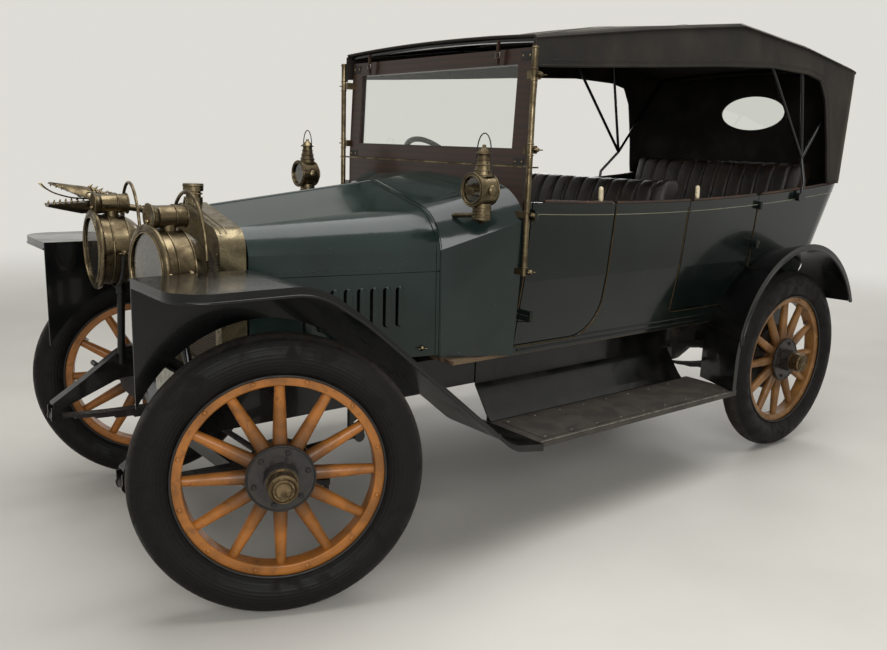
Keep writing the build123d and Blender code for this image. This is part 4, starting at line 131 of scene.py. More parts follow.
def patches(tree, coords, size, low, high, detail=5.0, distortion=0.0, least=0.0, most=1.0):
    """Soft-edged clouds of a size in metres: least where their noise is under low, most over high."""
    values = {"Vector": coords, "Scale": 1 / size, "Detail": detail, "Distortion": distortion}
    clouds = add(tree, "ShaderNodeTexNoise", values)
    values = {"Value": clouds, "From Min": low, "From Max": high, "To Min": least, "To Max": most}
    return add(tree, "ShaderNodeMapRange", values)


def layered(tree, base, *layers):
    """A colour with others laid over it, each after the share of the surface that it covers."""
    base = linear(base) if isinstance(base, str) else base
    for share, colour in layers:
        colour = linear(colour) if isinstance(colour, str) else colour
        base = add(tree, "ShaderNodeMix", {0: share, 6: base, 7: colour})
    return base


def grained(tree, coords, size, depth, strength, detail=4.0, under=None, distortion=0.0):
    """Relief of a fine noise, its size and depth in metres, over a relief that is there already."""
    values = {"Vector": coords, "Scale": 1 / size, "Detail": detail, "Distortion": distortion}
    height = add(tree, "ShaderNodeTexNoise", values)
    values = {"Height": height, "Distance": depth, "Strength": strength}
    if under is not None:
        values["Normal"] = under
    return add(tree, "ShaderNodeBump", values)


def finish(name, colour, roughness, metallic=0.0, **constants):
    """A material with one Principled shader; constants are its other inputs by name."""
    material = bpy.data.materials.new(name)
    material.use_nodes = True
    tree = material.node_tree
    tree.nodes.clear()
    values = {"Base Color": linear(colour), "Roughness": roughness, "Metallic": metallic}
    values.update({key.replace("_", " "): value for key, value in constants.items()})
    shader = add(tree, "ShaderNodeBsdfPrincipled", values)
    add(tree, "ShaderNodeOutputMaterial", {"Surface": shader})
    coords = add(tree, "ShaderNodeTexCoord").outputs["Object"]
    material.diffuse_color = linear(colour)
    FINISHES[name] = material
    return tree, shader, coords


def wire(tree, shader, **sources):
    """Links nodes to the shader's inputs."""
    for key, source in sources.items():
        output = source.outputs[READ.get(source.bl_idname, 0)]
        tree.links.new(output, shader.inputs[key.replace("_", " ")])


def enamel(name, colour, worn, chip, gloss, dust):
    """Brushed coach enamel: deep gloss with a faint brushed swell, dulled in clouds and dusty low down."""
    coat = {"Coat_Weight": 0.22, "Coat_Roughness": 0.05, "Specular_IOR_Level": 0.25}
    tree, shader, coords = finish(name, colour, gloss, **coat)
    broad = patches(tree, coords, 0.42, 0.35, 0.7, 3)
    chipped = patches(tree, coords, 0.011, 0.735, 0.76, 6, 0.6)
    height = add(tree, "ShaderNodeSeparateXYZ", {"Vector": coords}).outputs["Z"]
    low = add(tree, "ShaderNodeMapRange", {"Value": height, "From Min": 0.95, "From Max": 0.25, "To Max": dust})
    thin = patches(tree, coords, 0.08, 0.3, 0.75)
    film = add(tree, "ShaderNodeMath", {0: low, 1: thin}, operation="MULTIPLY")
    base = layered(tree, colour, (broad, worn), (chipped, chip), (film, "#8d8575"))
    dull = patches(tree, coords, 0.16, 0.35, 0.8, 5, 0.4, gloss * 0.75, gloss * 1.7)
    wire(tree, shader, Base_Color=base, Roughness=dull, Normal=grained(tree, coords, 0.006, 0.00025, 0.35, 2))


def brass(name, bright, tarnish, spread, roughness):
    """Spun and polished brass that has gone brown in clouds, with fine polishing scratches."""
    tree, shader, coords = finish(name, bright, roughness, 1.0)
    clouds = patches(tree, coords, 0.07, spread - 0.2, spread + 0.2, 6, 0.8)
    fine = patches(tree, coords, 0.006, 0.45, 0.75, most=0.55)
    base = layered(tree, bright, (clouds, tarnish), (fine, "#3f2f1a"))
    values = {"Value": clouds, "To Min": roughness * 0.7, "To Max": roughness * 1.7}
    rough = add(tree, "ShaderNodeMapRange", values)
    stretched = add(tree, "ShaderNodeMapping", {"Vector": coords, "Scale": (1, 1, 14)})
    wire(tree, shader, Base_Color=base, Roughness=rough, Normal=grained(tree, stretched, 0.01, 0.0002, 0.25, 3))


def wood(name, light, dark, along, gloss=0.3, ring=0.014):
    """Varnished timber: grain rings stretched along the board, with dark pores."""
    varnish = {"Coat_Weight": 0.14, "Coat_Roughness": 0.12, "Specular_IOR_Level": 0.3}
    tree, shader, coords = finish(name, light, gloss, **varnish)
    squeeze = tuple(0.07 if i == along else 1.0 for i in range(3))
    drawn = add(tree, "ShaderNodeMapping", {"Vector": coords, "Scale": squeeze})
    values = {"Vector": drawn, "Scale": 1 / ring / 6.28, "Distortion": 5.0, "Detail": 3.0, "Detail Scale": 1.6}
    rings = add(tree, "ShaderNodeTexWave", values, wave_type="RINGS")
    pores = patches(tree, drawn, 0.0022, 0.5, 0.7, 4)
    share = add(tree, "ShaderNodeMapRange", {"Value": rings, "From Min": 0.2, "From Max": 0.9})
    faint = add(tree, "ShaderNodeMath", {0: pores, 1: 0.5}, operation="MULTIPLY")
    base = layered(tree, light, (share, dark), (faint, "#1f0f08"))
    open_grain = add(tree, "ShaderNodeBump", {"Height": pores, "Distance": 0.0003, "Strength": 0.3})
    wire(tree, shader, Base_Color=base, Normal=open_grain)


def wheel_space(tree, coords, centre, turn):
    """Distance from a wheel's axle and place along it, as two outputs."""
    away = tuple(-c for c in centre)
    placed = add(tree, "ShaderNodeVectorMath", {0: coords, 1: away}, operation="ADD")
    values = {"Vector": placed, "Axis": (0, 0, 1), "Angle": -turn}
    turned = add(tree, "ShaderNodeVectorRotate", values, rotation_type="AXIS_ANGLE")
    flat = add(tree, "ShaderNodeVectorMath", {0: turned, 1: (1, 0, 1)}, operation="MULTIPLY")
    radius = add(tree, "ShaderNodeVectorMath", {0: flat}, operation="LENGTH").outputs["Value"]
    return radius, add(tree, "ShaderNodeSeparateXYZ", {"Vector": turned}).outputs["Y"]


def tyre_rubber(name, centre, turn):
    """Old vulcanised rubber: dull black walls with a grey bloom, the worn tread pale with road dust."""
    tree, shader, coords = finish(name, "#0d0c0c", 0.8, Specular_IOR_Level=0.16)
    radius, _ = wheel_space(tree, coords, centre, turn)
    bloom = patches(tree, coords, 0.05, 0.35, 0.75, 6, 0.5, most=0.45)
    tread = add(tree, "ShaderNodeMapRange", {"Value": radius, "From Min": 0.424, "From Max": 0.436})
    dusty = patches(tree, coords, 0.012, 0.3, 0.7, least=0.35, most=0.9)
    scuffed = add(tree, "ShaderNodeMath", {0: tread, 1: dusty}, operation="MULTIPLY")
    base = layered(tree, "#0d0c0c", (bloom, "#1d1b19"), (scuffed, "#312d29"))
    rings = add(tree, "ShaderNodeMath", {0: radius, 1: 1 / 0.011 * 6.28}, operation="MULTIPLY")
    ribs = add(tree, "ShaderNodeMath", {0: rings}, operation="SINE")
    wall = add(tree, "ShaderNodeMapRange", {"Value": radius, "From Min": 0.415, "From Max": 0.405})
    ribs = add(tree, "ShaderNodeMath", {0: ribs, 1: wall}, operation="MULTIPLY")
    relief = add(tree, "ShaderNodeBump", {"Height": ribs, "Distance": 0.0006, "Strength": 0.5})
    relief = grained(tree, coords, 0.0035, 0.0006, 0.5, under=relief)
    rough = add(tree, "ShaderNodeMapRange", {"Value": bloom, "From Max": 0.45, "To Min": 0.5, "To Max": 0.85})
    wire(tree, shader, Base_Color=base, Normal=relief, Roughness=rough)


def spoke_paint(name, centre, turn, light, dark):
    """Ochre wheel enamel: cloudy brush marks, grease brown near the hub, small patches of grime."""
    coat = {"Coat_Weight": 0.15, "Coat_Roughness": 0.15, "Specular_IOR_Level": 0.3}
    tree, shader, coords = finish(name, light, 0.42, **coat)
    radius, _ = wheel_space(tree, coords, centre, turn)
    clouds = patches(tree, coords, 0.09, 0.35, 0.7, 5, 0.5)
    values = {"Value": radius, "From Min": 0.2, "From Max": 0.1, "To Max": 0.85}
    greasy = add(tree, "ShaderNodeMapRange", values)
    grime = patches(tree, coords, 0.018, 0.56, 0.72, 6, 0.8, most=0.6)
    base = layered(tree, light, (clouds, dark), (greasy, "#4a2f16"), (grime, "#5b3a1c"))
    rough = add(tree, "ShaderNodeMapRange", {"Value": clouds, "To Min": 0.3, "To Max": 0.55})
    wire(tree, shader, Base_Color=base, Normal=grained(tree, coords, 0.004, 0.0003, 0.4, 3), Roughness=rough)


def hub_iron(name, centre, turn, side):
    """Black enamelled hub forging with a spun brass cap at its outer end."""
    tree, shader, coords = finish(name, "#1a1918", 0.45)
    radius, along_axle = wheel_space(tree, coords, centre, turn)
    outward = add(tree, "ShaderNodeMath", {0: along_axle, 1: side}, operation="MULTIPLY")
    narrow = add(tree, "ShaderNodeMapRange", {"Value": radius, "From Min": 0.0475, "From Max": 0.0465})
    proud = add(tree, "ShaderNodeMapRange", {"Value": outward, "From Min": 0.058, "From Max": 0.06})
    cap = add(tree, "ShaderNodeMath", {0: narrow, 1: proud}, operation="MULTIPLY")
    grease = patches(tree, coords, 0.02, 0.35, 0.7, 5, 0.5)
    black = layered(tree, "#141312", (grease, "#2e2620"))
    gold = layered(tree, "#75654c", (grease, "#453a2a"))
    rough = add(tree, "ShaderNodeMapRange", {"Value": grease, "To Min": 0.3, "To Max": 0.6})
    wire(tree, shader, Base_Color=layered(tree, black, (cap, gold)), Metallic=cap, Roughness=rough)


def leather(name, colour, worn):
    """Pleated hide: fine closed grain, painted shade near black in the grain's creases, and rubbed brown on the
    crowns.
    """
    coat = {"Coat_Weight": 0.08, "Coat_Roughness": 0.3, "Specular_IOR_Level": 0.32}
    tree, shader, coords = finish(name, colour, 0.48, **coat)
    values = {"Vector": coords, "Scale": 1 / 0.003}
    cells = add(tree, "ShaderNodeTexVoronoi", values, feature="DISTANCE_TO_EDGE").outputs["Distance"]
    rubbed = patches(tree, coords, 0.12, 0.42, 0.72, 6, 0.6, most=0.8)
    crowns = add(tree, "ShaderNodeMapRange", {"Value": cells, "From Max": 0.08})
    # Near black outside the crowns mask, in the grain's creases, is painted shade
    base = layered(tree, "#0c0907", (crowns, layered(tree, colour, (rubbed, worn))))
    rounded = add(tree, "ShaderNodeMapRange", {"Value": cells, "From Max": 0.25})
    relief = add(tree, "ShaderNodeBump", {"Height": rounded, "Distance": 0.0005, "Strength": 0.6})
    relief = grained(tree, coords, 0.03, 0.0015, 0.4, under=relief)
    rough = add(tree, "ShaderNodeMapRange", {"Value": rubbed, "From Max": 0.8, "To Min": 0.38, "To Max": 0.6})
    wire(tree, shader, Base_Color=base, Normal=relief, Roughness=rough)


def hood_fabric(name, colour, faded, sheen):
    """Rubbered double-texture hood cloth: a close twill drawn about 3 mm coarse so it shows, faded on top."""
    nap = {"Sheen_Weight": sheen, "Sheen_Roughness": 0.45, "Sheen_Tint": linear("#cfc6b2")}
    tree, shader, coords = finish(name, colour, 0.82, Specular_IOR_Level=0.2, **nap)
    weave_uv = add(tree, "ShaderNodeUVMap")
    threads = []
    for pitch, wander, direction in ((0.003, 0.6, "DIAGONAL"), (0.0022, 0.4, "X")):
        values = {"Vector": weave_uv, "Scale": 1 / pitch / 6.28, "Distortion": wander}
        threads.append(add(tree, "ShaderNodeTexWave", values, bands_direction=direction))
    weave = add(tree, "ShaderNodeMath", {0: threads[0], 1: threads[1]}, operation="ADD")
    stains = patches(tree, coords, 0.5, 0.3, 0.75, 4, 0.5)
    dusty = patches(tree, coords, 0.16, 0.4, 0.8, most=0.14)
    base = layered(tree, colour, (stains, faded), (dusty, "#5c5347"))
    relief = add(tree, "ShaderNodeBump", {"Height": weave, "Distance": 0.0006, "Strength": 0.45})
    creases = grained(tree, coords, 0.045, 0.004, 0.35, 3, relief, 1.2)
    wire(tree, shader, Base_Color=base, Normal=creases)


def core_fins(name):
    """Radiator core: thin flat fins 5 mm apart crossed by upright tubes, dull copper on their edges, with
    painted shade near black in the deep gaps between them.
    """
    tree, shader, coords = finish(name, "#2a2420", 0.5, 0.6)
    split = add(tree, "ShaderNodeSeparateXYZ", {"Vector": coords})
    edges = []
    for axis, pitch, low, high in (("Z", 0.005, 0.0028, 0.004), ("Y", 0.006, 0.004, 0.005)):
        rows = add(tree, "ShaderNodeMath", {0: split.outputs[axis], 1: pitch}, operation="PINGPONG")
        edges.append(add(tree, "ShaderNodeMapRange", {"Value": rows, "From Min": low, "From Max": high}))
    metal = add(tree, "ShaderNodeMath", {0: edges[0], 1: edges[1]}, operation="MAXIMUM")
    deep = add(tree, "ShaderNodeBump", {"Height": metal, "Distance": 0.003, "Strength": 0.9})
    # The near black between the fin and tube edges is painted shade of the core's deep gaps
    wire(tree, shader, Base_Color=layered(tree, "#070606", (metal, "#5a4a38")), Normal=deep)


def plain_metal(name, light, dark, roughness, metallic, size=0.03):
    """Cast, drawn or pressed stock: clouded colour and fine pits."""
    tree, shader, coords = finish(name, light, roughness, metallic)
    clouds = patches(tree, coords, size, 0.35, 0.7, 6, 0.6)
    values = {"Value": clouds, "To Min": roughness * 0.8, "To Max": min(1, roughness * 1.5)}
    rough = add(tree, "ShaderNodeMapRange", values)
    base = layered(tree, light, (clouds, dark))
    wire(tree, shader, Base_Color=base, Roughness=rough, Normal=grained(tree, coords, 0.002, 0.0003, 0.4))


def clear_glass(name, tint):
    """Old drawn window glass: clear, with a slow ripple."""
    tree, shader, coords = finish(name, tint, 0.02, Transmission_Weight=1.0, IOR=1.45)
    wire(tree, shader, Normal=grained(tree, coords, 0.12, 0.002, 0.12, 1))


def board_cover(name, colour, worn):
    """Ribbed floor covering glued to the running boards: brown linoleum rubbed pale in patches."""
    tree, shader, coords = finish(name, colour, 0.6)
    split = add(tree, "ShaderNodeSeparateXYZ", {"Vector": coords})
    ribs = add(tree, "ShaderNodeMath", {0: split.outputs["Y"], 1: 0.006}, operation="PINGPONG")
    rubbed = patches(tree, coords, 0.09, 0.36, 0.68, 6, 0.7)
    scuffs = patches(tree, coords, 0.01, 0.6, 0.75, 6, most=0.5)
    base = layered(tree, colour, (rubbed, worn), (scuffs, "#57503f"))
    rounded = add(tree, "ShaderNodeMapRange", {"Value": ribs, "From Min": 0.001, "From Max": 0.005})
    relief = add(tree, "ShaderNodeBump", {"Height": rounded, "Distance": 0.0015, "Strength": 0.5})
    wire(tree, shader, Base_Color=base, Normal=relief)


def make_finishes(paints):
    """All finishes of the car, from the colours in the panel."""
    # Brushed coach enamel, near black green on the body and greyer on the sun-faded bonnet
    enamel("body_green_enamel", paints.body, "#121a17", "#343b37", 0.16, 0.06)
    enamel("bonnet_green_enamel", paints.bonnet, "#1f2c29", "#4c5753", 0.16, 0.05)
    # Stoved black on fenders and frame: harder and glossier, with brown chips
    enamel("black_stove_enamel", "#060707", "#0b0b0b", "#24221f", 0.2, 0.035)
    # Thin cream line, flat beside the gloss
    enamel("line_cream_enamel", "#6b6a58", "#7c7a68", "#3c3c34", 0.35, 0.1)
    # Drawn bead and cast cap: bronze gone brown all over
    brass("bead_bronze", "#5a4a33", "#3a2f20", 0.5, 0.35)
    brass("cap_bronze", "#6a5a42", "#3f3424", 0.5, 0.4)
    # Spun lamp brass: yellow where hands rub it, brown elsewhere; the small turned parts stay brighter
    brass("tarnished_brass", paints.brass, "#463d2e", 0.5, 0.32)
    brass("bright_brass", "#968564", "#63553e", 0.6, 0.25)
    # Pressed radiator shell: paler and duller from heat
    brass("radiator_brass", "#7c725b", "#4d4637", 0.55, 0.34)
    # Varnished mahogany with its grain across the car, and dry unvarnished ash boards
    wood("mahogany_across", "#301a10", "#24140c", 1)
    wood("ash_floorboards", "#6a5842", "#3c3023", 0, 0.7, 0.02)
    # Buffed cowhide: near black on the seats, brown on straps and belt roll
    leather("seat_hide", "#17110e", "#33241b")
    leather("strap_hide", "#2a1a10", "#4a2f1c")
    # Rubbered twill, dusty with sheen outside, and a flat lining inside, made dark as painted shade of the
    # hood's inside
    hood_fabric("hood_cloth_outside", "#141312", "#1d1b19", 0.16)
    hood_fabric("hood_cloth_lining_shaded", "#0b0908", "#120e0b", 0.05)
    core_fins("radiator_core_fins")
    # Blacked forgings, bare castings, polished silver plate and nickel plate
    plain_metal("black_oxide_iron", "#1b1a19", "#2b2520", 0.5, 0.35)
    plain_metal("dusty_cast_iron", "#3a3733", "#262320", 0.65, 0.5)
    plain_metal("silvered_reflector", "#d8d8d2", "#a9a497", 0.12, 1.0, 0.06)
    plain_metal("nickel_steel", "#8d8a83", "#5f5a52", 0.35, 1.0)
    # Turned ivory, moulded pedal rubber, painted plate and waxed thread: no metal, so no mirror in them
    plain_metal("ivory_button", "#d8ccae", "#b6a583", 0.35, 0.0, 0.01)
    plain_metal("soft_rubber", "#1c1917", "#2b2622", 0.7, 0.0)
    plain_metal("plate_cream", "#c9c7bd", "#a39f92", 0.5, 0.0)
    plain_metal("thread_black", "#1d1916", "#2c2620", 0.8, 0.0)
    # Soda glass, faintly green in the screen and warm in the lamps
    clear_glass("window_glass", "#eef2ee")
    clear_glass("lamp_glass", "#f4f2ea")
    board_cover("board_linoleum", "#2a2622", "#3b352e")
    # The rear wheels' paints are darker than the front's as painted shade
    for place, turn, light, dark in (
        ("front", STEER, paints.wheel_front, "#7f5020"),
        ("rear", 0.0, paints.wheel_rear, "#6a4824"),
    ):
        for sign, hand in HANDS:
            centre = tuple(middle_of(f"tyre_{place}_{hand}"))
            tyre_rubber(f"tyre_rubber_{place}_{hand}", centre, turn)
            spoke_paint(f"spoke_enamel_{place}_{hand}", centre, turn, light, dark)
            hub_iron(f"hub_forging_{place}_{hand}", centre, turn, sign)


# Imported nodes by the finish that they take
NODES_BY_FINISH = {
    "body_green_enamel": ("body_shell", "front_door_left", "rear_door_left", "rear_door_right"),
    "bonnet_green_enamel": (
        "bonnet_side_left",
        "bonnet_side_right",
        "bonnet_top_left",
        "bonnet_top_right",
        "cowl",
    ),
    "black_stove_enamel": (
        "chassis_frame",
        "frame_members",
        "front_fenders",
        "rear_fenders",
        "splash_aprons",
        "front_axle",
        "steering_column",
        "hood_irons",
    ),
    "black_oxide_iron": (
        "rear_axle",
        "leaf_springs",
        "knuckle_left",
        "knuckle_right",
        "tie_rod",
        "exhaust",
        "starting_handle",
    ),
    "dusty_cast_iron": ("engine_block", "gearbox"),
    "nickel_steel": ("hand_levers",),
    "mahogany_across": ("steering_wheel", "windscreen_frame", "windscreen_apron"),
    "radiator_brass": ("radiator_shell",),
    "radiator_core_fins": ("radiator_core",),
    "tarnished_brass": ("radiator_cap", "headlamp_shells", "side_lamps", "horn", "screen_pillars"),
    "lamp_glass": ("lamp_lenses",),
    "window_glass": ("window_panes",),
    "board_linoleum": ("running_boards",),
    "ash_floorboards": ("floor",),
    "hood_cloth_outside": ("hood_canopy",),
    "plate_cream": ("number_plate",),
    "seat_hide": ("front_seat_cushion", "front_seat_back", "rear_seat_cushion", "rear_seat_back"),
}
for wheel in ("front_left", "front_right", "rear_left", "rear_right"):
    NODES_BY_FINISH[f"tyre_rubber_{wheel}"] = (f"tyre_{wheel}",)
    NODES_BY_FINISH[f"spoke_enamel_{wheel}"] = (f"wheel_{wheel}",)
    NODES_BY_FINISH[f"hub_forging_{wheel}"] = (f"hub_{wheel}",)


def dress(piece, finish_name):
    """Gives a piece one finish."""
    piece.data.materials.clear()
    piece.data.materials.append(FINISHES[finish_name])


# Shapes


def new_piece(name, mesh, body, finish_name, smooth=True):
    """A finished mesh as a piece of the car, riding on its body."""
    piece = bpy.data.objects.new(name, mesh)
    bpy.context.scene.collection.objects.link(piece)
    if smooth:
        mesh.shade_smooth()
    dress(piece, finish_name)
    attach(piece, body)
    return piece


def mesh_of(name, vertices, faces):
    """A checked mesh from its points and faces."""
    mesh = bpy.data.meshes.new(name)
    mesh.from_pydata([tuple(v) for v in vertices], [], faces)
    mesh.validate()
    return mesh


def grid_faces(rows, columns):
    """Faces of a net of points, row by row, closed round each row."""
    faces = []
    for row in range(0, (rows - 1) * columns, columns):
        for this in range(columns):
            after = (this + 1) % columns
            faces.append((row + this, row + after, row + columns + after, row + columns + this))
    return faces


def circle(radius, steps):
    """Pairs of coordinates round a circle."""
    turns = [2 * math.pi * k / steps for k in range(steps)]
    return [(radius * math.cos(a), radius * math.sin(a)) for a in turns]


def turned_shape(name, profile, steps=32):
    """A lathe-turned shape: profile is radius and height pairs, its axis Z."""
    vertices = [(*place, height) for radius, height in profile for place in circle(radius, steps)]
    mesh = mesh_of(name, vertices, grid_faces(len(profile), steps))
    work = bmesh.new()
    work.from_mesh(mesh)
    bmesh.ops.remove_doubles(work, verts=work.verts, dist=1e-5)
    bmesh.ops.holes_fill(work, edges=[e for e in work.edges if e.is_boundary], sides=steps)
    bmesh.ops.recalc_face_normals(work, faces=work.faces)
    work.to_mesh(mesh)
    work.free()
    return mesh


def joined(name, meshes):
    """Several meshes as one."""
    work = bmesh.new()
    for mesh in meshes:
        work.from_mesh(mesh)
    made = bpy.data.meshes.new(name)
    work.to_mesh(made)
    work.free()
    return made


def smooth_path(points, steps):
    """Points along a smooth open curve through the given points."""
    points = [Vector(p) for p in points]
    ends = [points[0] * 2 - points[1], *points, points[-1] * 2 - points[-2]]
    made = []
    for p0, p1, p2, p3 in zip(ends, ends[1:], ends[2:], ends[3:]):
        for k in range(steps):
            t = k / steps
            straight = 2 * p1 + (p2 - p0) * t
            bend = (2 * p0 - 5 * p1 + 4 * p2 - p3) * t * t + (3 * p1 - p0 - 3 * p2 + p3) * t**3
            made.append(0.5 * (straight + bend))
    return [*made, points[-1]]


# Geometry node trees


def new_tree(name, inputs):
    """A geometry tree with named inputs, its input node and its output node."""
    tree = bpy.data.node_groups.new(name, "GeometryNodeTree")
    tree.interface.new_socket("Geometry", in_out="INPUT", socket_type="NodeSocketGeometry")
    for label, kind, default in (*inputs, ("Finish", "NodeSocketMaterial", None)):
        socket = tree.interface.new_socket(label, in_out="INPUT", socket_type=kind)
        if default is not None:
            socket.default_value = default
    tree.interface.new_socket("Geometry", in_out="OUTPUT", socket_type="NodeSocketGeometry")
    return tree, tree.nodes.new("NodeGroupInput"), tree.nodes.new("NodeGroupOutput")


def end_tree(tree, made, start, end):
    """Makes the tree's instances real and gives them the finish."""
    plain = add(tree, "GeometryNodeRealizeInstances", {"Geometry": made})
    painted = add(tree, "GeometryNodeSetMaterial", {"Geometry": plain, "Material": start.outputs["Finish"]})
    tree.links.new(painted.outputs[0], end.inputs[0])
    return tree


def rod_tree():
    """Sweeps a round or oval section along a path."""
    inputs = (
        ("Radius", "NodeSocketFloat", 0.004),
        ("Flatness", "NodeSocketFloat", 1.0),
        ("Sides", "NodeSocketInt", 8),
    )
    tree, start, end = new_tree("rod_along_path", inputs)
    values = {"Resolution": start.outputs["Sides"], "Radius": start.outputs["Radius"]}
    round_section = add(tree, "GeometryNodeCurvePrimitiveCircle", values)
    shape = add(tree, "ShaderNodeCombineXYZ", {"X": 1.0, "Y": start.outputs["Flatness"], "Z": 1.0})
    oval = add(tree, "GeometryNodeTransform", {"Geometry": round_section, "Scale": shape})
    values = {"Curve": start.outputs["Geometry"], "Profile Curve": oval, "Fill Caps": True}
    return end_tree(tree, add(tree, "GeometryNodeCurveToMesh", values), start, end)


def places_tree():
    """Sets a fitting at every point, turned as the point's own turn says."""
    inputs = (("Fitting", "NodeSocketObject", None), ("Size", "NodeSocketFloat", 1.0))
    tree, start, end = new_tree("fittings_at_places", inputs)
    source = add(tree, "GeometryNodeObjectInfo", {"Object": start.outputs["Fitting"]})
    turn = add(tree, "GeometryNodeInputNamedAttribute", {"Name": "turn"}, data_type="FLOAT_VECTOR")
    rotation = add(tree, "FunctionNodeEulerToRotation", {0: turn})
    values = {
        "Points": start.outputs["Geometry"],
        "Instance": source.outputs["Geometry"],
        "Rotation": rotation,
        "Scale": start.outputs["Size"],
    }
    return end_tree(tree, add(tree, "GeometryNodeInstanceOnPoints", values), start, end)


def stitch_tree():
    """Sets short stitches along a path at an even pitch."""
    names = (("Pitch", 0.008), ("Length", 0.005), ("Thread", 0.0009))
    inputs = [(label, "NodeSocketFloat", default) for label, default in names]
    tree, start, end = new_tree("stitches_along_path", inputs)
    values = {"Curve": start.outputs["Geometry"], "Length": start.outputs["Pitch"]}
    dots = add(tree, "GeometryNodeCurveToPoints", values, mode="LENGTH")
    values = {"Vertices": 6, "Radius": start.outputs["Thread"], "Depth": start.outputs["Length"]}
    thread = add(tree, "GeometryNodeMeshCylinder", values)
    values = {"Points": dots, "Instance": thread, "Rotation": dots.outputs["Rotation"]}
    return end_tree(tree, add(tree, "GeometryNodeInstanceOnPoints", values), start, end)


TREES = {}


def grown(name, holder, tree_name, settings, body, smooth=True):
    """Runs a tree on the holder and keeps its result as a plain mesh piece on one body."""
    tree = TREES[tree_name]
    bpy.context.scene.collection.objects.link(holder)
    modifier = holder.modifiers.new(tree_name, "NODES")
    modifier.node_group = tree
    for label, value in settings.items():
        item = next(i for i in tree.interface.items_tree if i.name == label and i.in_out == "INPUT")
        modifier[item.identifier] = FINISHES[value] if label == "Finish" else value
    shown = holder.evaluated_get(bpy.context.evaluated_depsgraph_get())
    mesh = bpy.data.meshes.new_from_object(shown)
    holder.modifiers.remove(modifier)
    bpy.data.objects.remove(holder)
    return new_piece(name, mesh, body, settings["Finish"], smooth)


def path_holder(name, paths, closed=False):
    """A curve object with one straight-run spline for each path."""
    curve = bpy.data.curves.new(name + "_path", "CURVE")
    curve.dimensions = "3D"
    for points in paths:
        spline = curve.splines.new("POLY")
        spline.points.add(len(points) - 1)
        for spline_point, place in zip(spline.points, points):
            spline_point.co = (*place, 1.0)
        spline.use_cyclic_u = closed
    return bpy.data.objects.new(name + "_path", curve)


def rods(name, paths, radius, finish_name, body="car", sides=8, closed=False, flatness=1.0, slot=None):
    """Round bar, wire, piping or bead along one or more paths."""
    settings = {"Radius": radius, "Flatness": flatness, "Sides": sides, "Finish": finish_name}
    return grown(name, path_holder(name, paths, closed), "rod_along_path", settings, body)


def stitches(name, paths, finish_name):
    """Thread showing 6 mm long every 9 mm along one or more paths."""
    settings = {"Pitch": 0.009, "Length": 0.006, "Thread": 0.0009, "Finish": finish_name}
    return grown(name, path_holder(name, paths), "stitches_along_path", settings, "car")


def fittings(name, shape, places, finish_name, body="car", slot=None, smooth=True):
    """One shape set at several places, each a point and the way that its Z points."""
    source = bpy.data.objects.new(name + "_shape", shape)
    bpy.context.scene.collection.objects.link(source)
    points = bpy.data.meshes.new(name + "_places")
    points.from_pydata([tuple(place) for place, _ in places], [], [])
    turns = points.attributes.new("turn", "FLOAT_VECTOR", "POINT")
    for i, (_, facing) in enumerate(places):
        turns.data[i].vector = Vector(facing).to_track_quat("Z", "Y").to_euler()
    holder = bpy.data.objects.new(name + "_places", points)
    settings = {"Fitting": source, "Size": 1.0, "Finish": finish_name}
    made = grown(name, holder, "fittings_at_places", settings, body, smooth)
    bpy.data.objects.remove(source)
    return made


def surface_of(*nodes):
    """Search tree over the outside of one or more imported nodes."""
    vertices, faces = [], []
    for name in nodes:
        mesh = frame["nodes"][name].data
        start = len(vertices)
        vertices.extend(v.co.copy() for v in mesh.vertices)
        faces.extend(tuple(start + i for i in p.vertices) for p in mesh.polygons)
    return BVHTree.FromPolygons(vertices, faces)


def touch(tree, place, towards, reach=10.0):
    """Where a line from a place first meets the surface, with the surface's normal, or two times None."""
    hit, normal, _, _ = tree.ray_cast(Vector(place), Vector(towards), reach)
    return hit, normal


def touches(tree, places, towards):
    """All the hits of lines from several places, each with its normal."""
    found = [touch(tree, place, towards) for place in places]
    return [(hit, normal) for hit, normal in found if hit is not None]


def merged_copy(node, name):
    """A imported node's mesh as a new mesh with its corners joined."""
    mesh = frame["nodes"][node].data.copy()
    mesh.name = name
    work = bmesh.new()
    work.from_mesh(mesh)
    bmesh.ops.remove_doubles(work, verts=work.verts, dist=1e-5)
    work.to_mesh(mesh)
    work.free()
    return mesh


# Operators


def seen_rays(tree):
    """1 for rays that show the backdrop itself, straight or through glass or mirrors, and 0 for its light."""
    rays = add(tree, "ShaderNodeLightPath").outputs
    straight = {0: rays["Is Camera Ray"], 1: rays["Is Transmission Ray"]}
    seen = add(tree, "ShaderNodeMath", straight, operation="MAXIMUM")
    return add(tree, "ShaderNodeMath", {0: seen, 1: rays["Is Glossy Ray"]}, operation="MAXIMUM")


